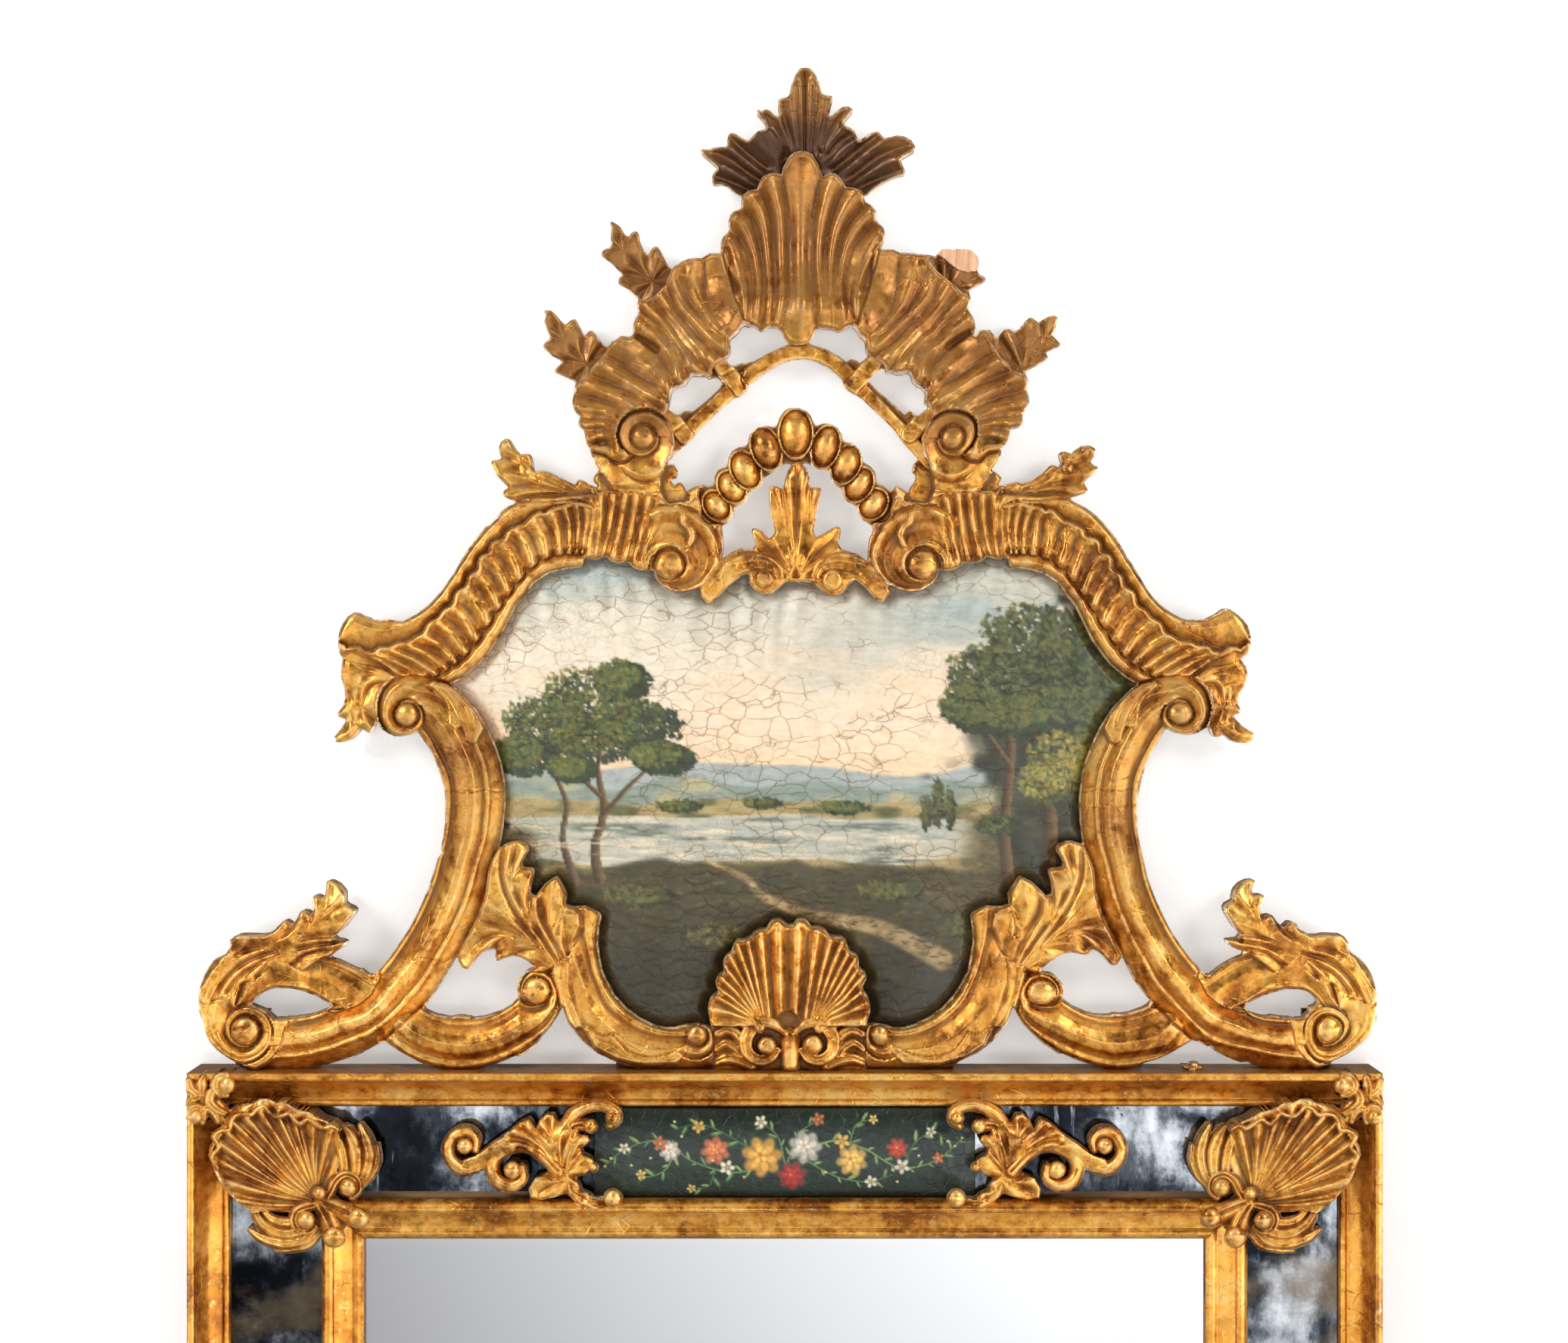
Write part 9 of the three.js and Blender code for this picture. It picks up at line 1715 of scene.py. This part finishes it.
    tree((0, 0), [[(792, 1160, 8), (786, 1120, 6), (798, 1070, 5), (790, 1010, 3.5), (806, 960, 2)], [(795, 1080, 4), (830, 1040, 3), (862, 1010, 2)], [(792, 1050, 3), (756, 1016, 2.4), (732, 990, 1.6)], [(760, 1165, 6), (744, 1110, 4.5), (748, 1060, 3.4), (726, 1010, 2)]],
         [(790, 930, 66, 40), (850, 962, 56, 32), (730, 962, 56, 36), (880, 1004, 40, 20), (696, 1002, 42, 24), (800, 982, 62, 26), (826, 900, 36, 24), (760, 1018, 30, 16)], 2300, dk, md, lt, 3.7)
    tree((0, 0), [[(1440, 1120, 5), (1446, 1070, 4), (1438, 1030, 2.5)], [(1490, 1124, 4), (1484, 1080, 3), (1496, 1040, 2)]], [(1410, 1010, 44, 36), (1450, 1012, 44, 34), (1384, 1040, 34, 26), (1424, 1036, 40, 24)], 720, [(40, 56, 40), (50, 60, 40)], [(76, 92, 52), (92, 100, 54)], [(176, 160, 80), (150, 150, 80)], 4)
    tree((0, 0), [], [(1240, 1064, 7, 32), (1256, 1070, 6, 26), (1224, 1076, 6, 22)], 130, dk, [(70, 84, 50)], [(110, 118, 66)], 3.4)
    tree((0, 0), [], [(640, 1092, 34, 10), (900, 1066, 30, 7), (1010, 1062, 24, 6), (1120, 1068, 30, 8), (1320, 1092, 30, 12), (1570, 1100, 40, 22), (1600, 1060, 30, 40)], 520, dk, md, lt, 3.4)
    tree((0, 0), [], [(690, 1168, 40, 12), (850, 1186, 44, 12), (1180, 1180, 40, 12), (1300, 1230, 50, 18), (960, 1240, 44, 14), (760, 1260, 60, 20), (1500, 1190, 60, 22), (500, 1160, 40, 24), (560, 1220, 50, 26)], 900, [(30, 40, 28), (40, 46, 32)], [(62, 76, 44), (86, 84, 48)], [(128, 118, 66), (104, 112, 62)], 4.2)
    # reflections and small light on the water
    rp = np.stack([rs.uniform(690, 1230, 260), rs.uniform(1086, 1136, 260), rs.uniform(5, 16, 260), rs.uniform(.6, 1.2, 260), np.zeros(260)], 1)
    dabs(C, X, Y, g, rp, np.array([(236, 224, 198), (150, 156, 140), (206, 204, 190)])[rs.randint(0, 3, 260)], .6)
    # old varnish: darker to the lower edge
    C *= (1 - .16 * step(1250, 1370, Y))[..., None]
    lum = C.mean(-1)
    C *= (1 - .20 * step(165, 105, lum))[..., None]
    C *= 1 - step(150, 190, lum)[..., None] * np.array([.03, .06, .095])
    return np.clip(C + 5 * nz(5, 340)[..., None], 0, 255)


def to_linear(C):
    c = np.clip(C, 0, 255) / 255
    return np.where(c < .04045, c / 12.92, ((c + .055) / 1.055) ** 2.4)


CAN = OUT["canvas"][0]
OPEN = OUT["canvas_opening"][0]
R = Relief("canvas", [CAN], g=2.5, back=21)
P, X, Y = R.P, R.P[:, 0], R.P[:, 1]
dop = near(P, np.vstack([OPEN, OPEN[:1]]))[0] * np.where(inside(P, [OPEN]), 1, -1)
dome_h = 1 - (1 - np.clip(dop / 175.0, 0, 1)) ** 2.1
R.H = 24.0 + 8.5 * step(-2, 15, dop) + 10.6 * dome_h
top_edge = np.clip(1 - (Y - np.interp(X, [560, 640, 760, 850, 960, 1052, 1150, 1250, 1340, 1450, 1540], [830, 790, 748, 752, 775, 775, 775, 752, 750, 790, 835])) / 150.0, 0, 1) * (Y < 980)
wave = np.sin((X + 9 * noise(P * [.3, 1], 60, 401) + .10 * (Y - 780) * np.sign(X - 1052)) / 5.9 + 2.4 * noise(P * [1, .15], 70, 402))
R.H += 2.6 * wave * top_edge ** 1.3 * step(0, 26, dop) * (.4 + .6 * np.clip(noise(P * [1, .1], 55, 403) + .4, 0, 1))
R.H += .8 * noise(P, 90, 404) * step(0, 40, dop) + .25 * noise(P, 24, 405) * step(0, 20, dop)
R.finish(411, rough=.12, floor=21.6)
C = np.zeros(R.X.shape + (3,))
C[:] = paint_view(R.X, R.Y, R.g)
# painted light and shade along the folds where the canvas puckers at its upper edge
painted_fold_shading = np.zeros(R.X.shape)
painted_fold_shading[R.act] = wave * top_edge ** 1.7 * step(0, 26, dop) * (.35 + .65 * np.clip(noise(P * [1, .1], 55, 403) + .4, 0, 1))
C *= (1 + .10 * painted_fold_shading)[..., None]
co, faces, fl, mi, (px, py, N) = sheet_grid(R, back=False)
M8 = np.zeros(R.X.shape, bool)
inn = R.sd < -0.35 * R.g
M8 = inn.copy()
for dy in (-1, 0, 1):
    for dx in (-1, 0, 1):
        M8 |= np.roll(np.roll(inn, dy, 0), dx, 1)
canvas = new_mesh("painted_canvas_sheet", co, faces, [PAINTED], fl, {"paint": to_linear(C[M8])}, node=["crest_canvas"])
# the domed board that the canvas is stretched over
B = Relief("board", [CAN], g=6.0, back=21)
B.H = np.maximum(21.2 + 0 * B.P[:, 0], 0)
d2 = near(B.P, np.vstack([OPEN, OPEN[:1]]))[0] * np.where(inside(B.P, [OPEN]), 1, -1)
B.H = 21.4 + 8.0 * step(4, 24, d2) + 10.2 * (1 - (1 - np.clip(d2 / 175.0, 0, 1)) ** 2.1)
B.back = 21.0
B.finish(421, rough=.05, floor=21.2)
co, faces, fl, mi, _ = sheet_grid(B, chamfer=0)
co[len(co) // 2:, 1] = -21.05
fl["depth"][:] = 1
new_mesh("canvas_board", co, faces, [PINE_X, PINE_X], fl, None, mi)


# ---------------------------------------------------------------- painted border panels
def spray(X, Z):
    """A small made-up spray: three blossoms, curling stems, buds and leaves. Millimetres from the panel's middle."""
    rs = np.random.RandomState(23)
    C = np.zeros(X.shape + (3,))
    C[:] = (60, 92, 50)
    A = np.zeros(X.shape + (1,))
    g = abs(X[0, 1] - X[0, 0])
    Y = -Z

    def lay(pts, col, alpha=.95):
        W = np.concatenate([C, A], -1)
        dabs(W, X, Y, g, pts, [tuple(c) + (1.0,) for c in col], alpha, .45)
        C[:], A[:] = W[..., :3], W[..., 3:]
    X, Y = X / 1.28, Y / 1.28
    g /= 1.28
    P = np.stack([X.ravel(), Y.ravel()], 1)

    def stem(pts, w, col):
        q = spline(pts, 1.5)
        d, a, _, n = near(P, q)
        m = np.clip((w * (1 - .55 * a / n) - d) / .5 + .5, 0, 1).reshape(X.shape)[..., None]
        C[:] = C * (1 - m) + np.array(col) * m
        A[:] = np.maximum(A, m)
    G1, G2, G3 = (88, 128, 74), (120, 146, 84), (60, 100, 58)
    stems = [[(-8, 6), (-40, 16), (-74, 8), (-104, -10), (-132, -4), (-150, 10)], [(6, 4), (38, -10), (66, -4), (96, 12), (126, 6), (148, -12)], [(-20, 2), (-46, -14), (-70, -24), (-92, -20)],
             [(18, 6), (44, 20), (70, 24), (90, 18)], [(-90, -4), (-100, 14), (-116, 20), (-124, 14)], [(100, 10), (108, -8), (124, -18), (134, -12)], [(0, 8), (-6, -14), (-20, -26)], [(2, 8), (12, -16), (28, -28)], [(-58, 14), (-64, 28), (-78, 30)], [(54, -8), (60, -24), (74, -28)]]
    for i, s in enumerate(stems):
        stem(s, 1.1 if i < 2 else .8, (G1, G2, G3)[i % 3])
        q = spline(s, 1.5)
        for k in range(4, len(q) - 2, 5):
            t = q[k + 1, :2] - q[k - 1, :2]
            th = math.atan2(t[1], t[0])
            sg = 1 if (k // 5) % 2 else -1
            a = th + sg * rs.uniform(.6, 1.0)
            L = rs.uniform(3.2, 5.6)
            c = np.array((G1, G2, G3)[rs.randint(3)])
            lay([(q[k, 0] + math.cos(a) * L, q[k, 1] + math.sin(a) * L, L, L * .34, a)], [c])
            lay([(q[k, 0] + math.cos(a) * L, q[k, 1] + math.sin(a) * L - .5, L * .7, .5, a)], [np.array([176, 188, 118])], .7)

    def bloom(x, y, r, col, heart, n=5, turn=0.0):
        for k in range(n):
            a = turn + 2 * math.pi * k / n
            lay([(x + math.cos(a) * r * .62, y + math.sin(a) * r * .62, r * .46, r * .36, a)], [np.array(col) * .82])
            lay([(x + math.cos(a) * r * .66, y + math.sin(a) * r * .66, r * .34, r * .24, a)], [col])
        lay([(x, y, r * .24, r * .24, 0)], [heart])
    for bx, by, br, c1, c2 in ((-19, 3, 17, (236, 176, 78), (208, 110, 40)), (17, -5, 14, (214, 206, 190), (216, 160, 70)), (6, 19, 12, (178, 52, 40), (222, 120, 84)), (-58, -2, 12, (224, 128, 84), (240, 190, 120)), (56, 6, 13, (238, 190, 96), (200, 110, 50)), (-96, -2, 9, (226, 218, 198), (206, 160, 70)), (94, -4, 9, (190, 66, 50), (236, 180, 110))):
        bloom(bx, by, br, tuple(v * .8 for v in c1), c2, 7, bx)
        bloom(bx, by, br * .72, c1, c2, 6, bx + .4)
        bloom(bx - br * .1, by - br * .1, br * .42, tuple(min(255, v * 1.12) for v in c1), c2, 5, bx + .9)
    for x, y, r, c in ((-48, 12, 6.5, (226, 220, 200)), (-72, -22, 5.5, (226, 178, 92)), (-104, -8, 6.5, (196, 104, 72)), (-134, -4, 5, (226, 220, 200)), (-120, 18, 4.5, (226, 190, 110)), (48, -10, 6.5, (226, 178, 92)), (72, 24, 5.5, (226, 220, 200)),
                       (98, 11, 6.5, (222, 214, 196)), (128, 4, 5, (196, 104, 72)), (122, -18, 4.5, (226, 220, 200)), (-20, -26, 5.5, (226, 220, 200)), (28, -28, 5.5, (196, 104, 72)), (-78, 30, 4, (226, 190, 110)), (74, -28, 4, (226, 190, 110))):
        bloom(x, y, r, c, (206, 160, 70), 5, rs.uniform(0, 1))
    b = [(x, y, 1.5, 1.2, 0) for x, y in ((-150, 11), (-145, 4), (-92, -26), (-86, -14), (148, -13), (142, -6), (90, 14), (94, 24), (-128, 10), (136, -10), (-34, 20), (34, 16), (-60, 6), (60, 2), (-112, 4), (112, 2))]
    lay(b, [(226, 206, 150)] * len(b))
    A *= .82 + .18 * np.clip(noise(P, 3.2, 9).reshape(X.shape)[..., None] + .6, 0, 1)
    return C, A


for side, zc in (("top", -28.75), ("bottom", -1211.25)):
    HWX, HWZ = 203.4, 48.4
    xs, zs = np.linspace(-HWX, HWX, 372), np.linspace(HWZ, -HWZ, 90)
    X, Z = np.meshgrid(xs, zs)
    v = np.abs(Z) / HWZ
    e = np.minimum(HWX - np.abs(X), 99)
    H = 36.2 + 9.6 * np.sqrt(np.clip(1 - v ** 2.2, 0, 1)) * (1 - .25 * (1 - step(0, 16, e)))
    P = np.stack([X.ravel() / .8, Z.ravel() / .8 + (0 if side == "top" else 300)], 1)
    ends = 1 - step(20, 70, e)
    H += ((.30 * noise(P, 9, 501) + .35 * noise(P, 21, 502)) .reshape(X.shape)) * (.35 + .9 * ends)
    H = np.minimum(H, 46.0)
    C, A = spray(X, Z)
    if side == "bottom":
        C, A = C[:, ::-1], A[:, ::-1]
    ny, nx = X.shape
    n = ny * nx
    co = np.stack([X.ravel(), -H.ravel(), Z.ravel() + zc], 1)
    i, j = np.meshgrid(np.arange(ny - 1), np.arange(nx - 1), indexing="ij")
    a = i * nx + j
    F = np.stack([a, a + nx, a + nx + 1, a + 1], -1).reshape(-1, 4)
    loop = np.concatenate([np.arange(nx), np.arange(1, ny) * nx + nx - 1, (ny - 1) * nx + np.arange(nx - 2, -1, -1), np.arange(ny - 2, 0, -1) * nx])
    back = co[loop].copy()
    back[:, 1] = -30.4
    m = len(loop)
    k = np.arange(m)
    W = np.stack([loop, loop[(k + 1) % m], n + (k + 1) % m, n + k], 1)
    co = np.vstack([co, back])
    paint = np.vstack([to_linear(C.reshape(-1, 3)), np.zeros((m, 3))])
    cover = np.concatenate([A.ravel(), np.zeros(m)])
    new_mesh("floral_panel_front_" + side, co, [F, W, (n + k)[None, :][:, ::-1][:, ::-1]], [GREEN], {"cover": cover}, {"paint": paint}, node=["floral_panel_" + side])

# ---------------------------------------------------------------- main plate, with its narrow bevel
hx, zt, zb = 457.5, -115, -1124.5
rings = [(0, 27.0), (0, 30.0), (-.3, 30.3)]
co, F = [], []
for k, (d, t) in enumerate([(0, 26.5)] + rings):
    co += [(-hx + d, -t, zt - d), (hx - d, -t, zt - d), (hx - d, -t, zb + d), (-hx + d, -t, zb + d)]
for k in range(len(rings)):
    for q in range(4):
        F.append((k * 4 + q, k * 4 + (q + 1) % 4, k * 4 + 4 + (q + 1) % 4, k * 4 + 4 + q)[::-1])
L = len(rings) * 4
F.append((L, L + 1, L + 2, L + 3)[::-1])
F.append((0, 1, 2, 3))
new_mesh("mirror_plate", np.array(co, float), [np.array(F)], [MIRROR], smooth=False, node=["main_mirror_plate"])

# ---------------------------------------------------------------- hanging rings: smooth wire on the hinge line
for side, cx, body in (("left", -542, "ring_left"), ("right", 542, "ring_right")):
    r = 1.9
    W2, DR, Z0 = 22 - r, 34 - r, -250
    path = [(x, 0.0) for x in np.linspace(-W2, W2, 12)]
    path += [(W2 * math.cos(a), -DR * math.sin(a)) for a in np.linspace(0, math.pi, 40)][1:-1]
    path = np.array(path)
    n = len(path)
    co, F = [], []
    for i in range(n):
        t = path[(i + 1) % n] - path[i - 1]
        t = t / np.hypot(*t)
        nn = np.array([-t[1], t[0]])
        for k in range(12):
            a = 2 * math.pi * k / 12
            rr = r * (1 + .03 * math.sin(5 * i + 3 * k))
            co.append((cx + path[i, 0] + nn[0] * rr * math.cos(a), -3.9 + rr * math.sin(a), Z0 + path[i, 1] + nn[1] * rr * math.cos(a)))
            F.append((i * 12 + k, i * 12 + (k + 1) % 12, ((i + 1) % n) * 12 + (k + 1) % 12, ((i + 1) % n) * 12 + k))
    new_mesh("wire_ring_" + side, np.array(co), [np.array(F)], [IRON], body=body, node=["hanger_ring_" + side])

# ---------------------------------------------------------------- antiqued strips, cut fine so that the silvering can age from the edges in
for n in [k for k in NODES if k.startswith("border_mirror")]:
    c8 = np.array([(NODES[n].matrix_world @ v.co)[:] for v in NODES[n].data.vertices]) * 1000
    x0, x1, z0, z1, t0, t1 = c8[:, 0].min(), c8[:, 0].max(), c8[:, 2].min(), c8[:, 2].max(), -c8[:, 1].max(), -c8[:, 1].min()
    full = len(c8) <= 12
    if not full:
        continue
    xs, zs = np.linspace(x0, x1, max(int((x1 - x0) / 4), 2)), np.linspace(z1, z0, max(int((z1 - z0) / 4), 2))
    X, Z = np.meshgrid(xs, zs)
    ny, nx = X.shape
    a = (np.arange(ny - 1)[:, None] * nx + np.arange(nx - 1)[None]).ravel()
    front = np.stack([X.ravel(), np.full(X.size, -t1), Z.ravel()], 1)
    rear = front.copy()
    rear[:, 1] = -t0
    m = nx * ny
    F = np.stack([a, a + nx, a + nx + 1, a + 1], 1)
    loop = np.concatenate([np.arange(nx), np.arange(1, ny) * nx + nx - 1, (ny - 1) * nx + np.arange(nx - 2, -1, -1), np.arange(ny - 2, 0, -1) * nx])
    W = np.stack([loop, np.roll(loop, -1), np.roll(loop, -1) + m, loop + m], 1)
    e = np.minimum(np.minimum(X - max(x0, -586.6), min(x1, 586.6) - X), np.minimum(min(z1, 14.2) - Z, Z - max(z0, -1253.8)))
    e = np.minimum(e, np.where(np.abs(X) < 495, np.minimum(np.abs(Z + 77.5), np.abs(Z + 1162)), np.abs(np.abs(X) - 495)))
    cx, cz = np.abs(X), np.abs(Z + 619.75)
    carving = np.minimum(np.hypot(cx - 562, cz - 592) - 84, np.where((cx < 400) & (cz > 540), np.abs(cx - 278) - 88, 99))
    rim = np.exp(-np.clip(e, 0, 99) / 9) * .8 + np.exp(-np.clip(carving, 0, 99) / 16) * .9
    sharp = np.concatenate([np.zeros(len(F), bool), np.ones(len(W), bool), np.zeros(len(F), bool)])
    o = new_mesh("strip_" + n, np.vstack([front, rear]), [F, W, F[:, ::-1] + m], [OLDGLASS], {"rim": np.tile(np.clip(rim, 0, 1).ravel(), 2)}, smooth=False, node=[n])

# ---------------------------------------------------------------- CAD nodes that stay, in their finishes
LOOK = {"top_rail": PINE_X, "bottom_rail": PINE_X, "stile_left": PINE_Z, "stile_right": PINE_Z, "back_board": PINE_Z, "crest_backing_board": PINE_Z,
        "crest_strap_left": IRON, "crest_strap_right": IRON, "hanger_strap_left": IRON, "hanger_strap_right": IRON}
for n in NODES:
    if n.startswith("border_mirror") and ("strip_" + n) not in bpy.data.objects:
        LOOK[n] = OLDGLASS
for n, m in LOOK.items():
    o = NODES[n]
    o.data.materials.clear()
    o.data.materials.append(m)
    if m in (PINE_X, PINE_Z, IRON):
        b = o.modifiers.new("worn_edges", "BEVEL")
        b.width = .0012 if m is not IRON else .0006
        b.segments = 2
        b.limit_method = "ANGLE"

# ---------------------------------------------------------------- stage, camera, light
def plane(name, co, m):
    me = bpy.data.meshes.new(name)
    me.from_pydata(co, [], [(0, 1, 2, 3)])
    me.materials.append(m)
    o = bpy.data.objects.new(name, me)
    bpy.context.scene.collection.objects.link(o)
    o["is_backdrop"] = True
    return o


M, c, n1 = plain("pale_floor", (.78, .77, .75))
floor = plane("floor", [(-5, -5, -1.302), (5, -5, -1.302), (5, 5, -1.302), (-5, 5, -1.302)], M.put(color=c, rough=.85, normal=M.bump(M.noise(90, 5, .6), .15, .001)))
floor.visible_glossy = False
M, c, n1 = plain("pale_wall", (.80, .80, .797), spot=.01)
M.put(color=c, rough=.9, normal=M.bump(M.add(M.noise(38, 6, .6), M.mul(M.noise(160, 4, .6), .4)), .22, .0022))
geo = M.t.nodes.new("ShaderNodeNewGeometry")
clear = M.t.nodes.new("ShaderNodeBsdfTransparent")
mx = M.t.nodes.new("ShaderNodeMixShader")
M.t.links.new(geo.outputs["Backfacing"], mx.inputs[0])
M.t.links.new(M.b.outputs[0], mx.inputs[1])
M.t.links.new(clear.outputs[0], mx.inputs[2])
M.t.links.new(mx.outputs[0], M.out.inputs["Surface"])
M.b.inputs["Emission Color"].default_value = (1, 1, 1, 1)
M.b.inputs["Emission Strength"].default_value = .33
wall = plane("wall", [(-5, .0012, -1.301), (5, .0012, -1.301), (5, .0012, 3.4), (-5, .0012, 3.4)], M.m)
wall.visible_diffuse = wall.visible_glossy = wall.visible_transmission = wall.visible_shadow = False

cam = bpy.data.objects.new("camera", bpy.data.cameras.new("camera"))
cam.data.sensor_width = 36
cam.data.lens = 36 * 2800 / (2072 * .8)
cam.data.clip_start = .05
cam.location = (EYE_X * MM, -EYE_Y * MM, EYE_Z * MM)
cam.rotation_euler = (math.pi / 2, 0, 0)
bpy.context.scene.collection.objects.link(cam)
bpy.context.scene.camera = cam


def lamp(name, loc, aim, size, power, col=(1, 1, 1)):
    d = bpy.data.lights.new(name, "AREA")
    d.shape = "RECTANGLE"
    d.size, d.size_y = size
    d.energy = power
    d.color = col
    o = bpy.data.objects.new(name, d)
    o.location = loc
    v = Vector(aim) - Vector(loc)
    o.rotation_euler = v.to_track_quat("-Z", "Y").to_euler()
    bpy.context.scene.collection.objects.link(o)
    return o


lamp("key_left", (-2.4, -2.2, 1.9), (0, 0, .3), (.9, 1.2), 62, (1, .98, .95))
lamp("key_right", (2.5, -2.3, 1.8), (0, 0, .3), (.9, 1.2), 50, (1, .98, .95))
world = bpy.data.worlds.new("studio")
bpy.context.scene.world = world
world.use_nodes = True
wt = world.node_tree
wt.nodes.clear()
wo = wt.nodes.new("ShaderNodeOutputWorld")
bg = wt.nodes.new("ShaderNodeBackground")
tc = wt.nodes.new("ShaderNodeTexCoord")
sx = wt.nodes.new("ShaderNodeSeparateXYZ")
rp = wt.nodes.new("ShaderNodeValToRGB")
mr = wt.nodes.new("ShaderNodeMapRange")
wt.links.new(tc.outputs["Generated"], sx.inputs[0])
wt.links.new(sx.outputs[2], mr.inputs["Value"])
mr.inputs["From Min"].default_value, mr.inputs["From Max"].default_value = -1, 1
wt.links.new(mr.outputs[0], rp.inputs["Fac"])
r = rp.color_ramp
for p_, v_ in ((0, .72), (.28, .95), (.33, 1.12), (.365, 1.20), (.395, 1.40), (.403, 1.90), (.42, 2.30), (.44, 2.50), (.457, 1.45), (.475, .64), (.50, .40), (.55, .14), (.62, .075), (.74, .10), (.86, .32), (1, .52)):
    e_ = r.elements.new(p_) if p_ not in (0, 1) else r.elements[int(p_)]
    e_.color = (v_, v_, v_ * 1.01, 1)
# a little brighter to the right, as from a large window
mx_ = wt.nodes.new("ShaderNodeMapRange")
wt.links.new(sx.outputs[0], mx_.inputs["Value"])
for k_, v_ in (("From Min", -.17), ("From Max", .10), ("To Min", .40), ("To Max", 1.16)):
    mx_.inputs[k_].default_value = v_
low_ = wt.nodes.new("ShaderNodeMapRange")
low_.interpolation_type = "SMOOTHSTEP"
wt.links.new(mr.outputs[0], low_.inputs["Value"])
for k_, v_ in (("From Min", .425), ("From Max", .395), ("To Min", 0), ("To Max", 1)):
    low_.inputs[k_].default_value = v_
fac_ = wt.nodes.new("ShaderNodeMix")
fac_.data_type = "FLOAT"
wt.links.new(low_.outputs[0], fac_.inputs[0])
fac_.inputs[2].default_value = 1.0
wt.links.new(mx_.outputs[0], fac_.inputs[3])
side_ = wt.nodes.new("ShaderNodeVectorMath")
side_.operation = "SCALE"
wt.links.new(rp.outputs[0], side_.inputs[0])
# two wide low reflectors, left and right of the camera
ab_ = wt.nodes.new("ShaderNodeMath")
ab_.operation = "ABSOLUTE"
wt.links.new(sx.outputs[0], ab_.inputs[0])
wing_ = wt.nodes.new("ShaderNodeMapRange")
wing_.interpolation_type = "SMOOTHSTEP"
wt.links.new(ab_.outputs[0], wing_.inputs["Value"])
for k_, v_ in (("From Min", .16), ("From Max", .46), ("To Min", 0), ("To Max", .65)):
    wing_.inputs[k_].default_value = v_
band_ = wt.nodes.new("ShaderNodeMapRange")
band_.interpolation_type = "SMOOTHSTEP"
wt.links.new(mr.outputs[0], band_.inputs["Value"])
for k_, v_ in (("From Min", .475), ("From Max", .435), ("To Min", 0), ("To Max", 1)):
    band_.inputs[k_].default_value = v_
wb_ = wt.nodes.new("ShaderNodeMath")
wb_.operation = "MULTIPLY"
wt.links.new(wing_.outputs[0], wb_.inputs[0])
wt.links.new(band_.outputs[0], wb_.inputs[1])
sc_ = wt.nodes.new("ShaderNodeMath")
sc_.operation = "MULTIPLY_ADD"
wt.links.new(wb_.outputs[0], sc_.inputs[0])
wt.links.new(fac_.outputs[0], sc_.inputs[1])
wt.links.new(fac_.outputs[0], sc_.inputs[2])
wt.links.new(sc_.outputs[0], side_.inputs["Scale"])
wt.links.new(side_.outputs[0], bg.inputs["Color"])
bg.inputs["Strength"].default_value = 1.3
wt.links.new(bg.outputs[0], wo.inputs[0])
bpy.context.scene.view_settings.view_transform = "Standard"

lo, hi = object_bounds()
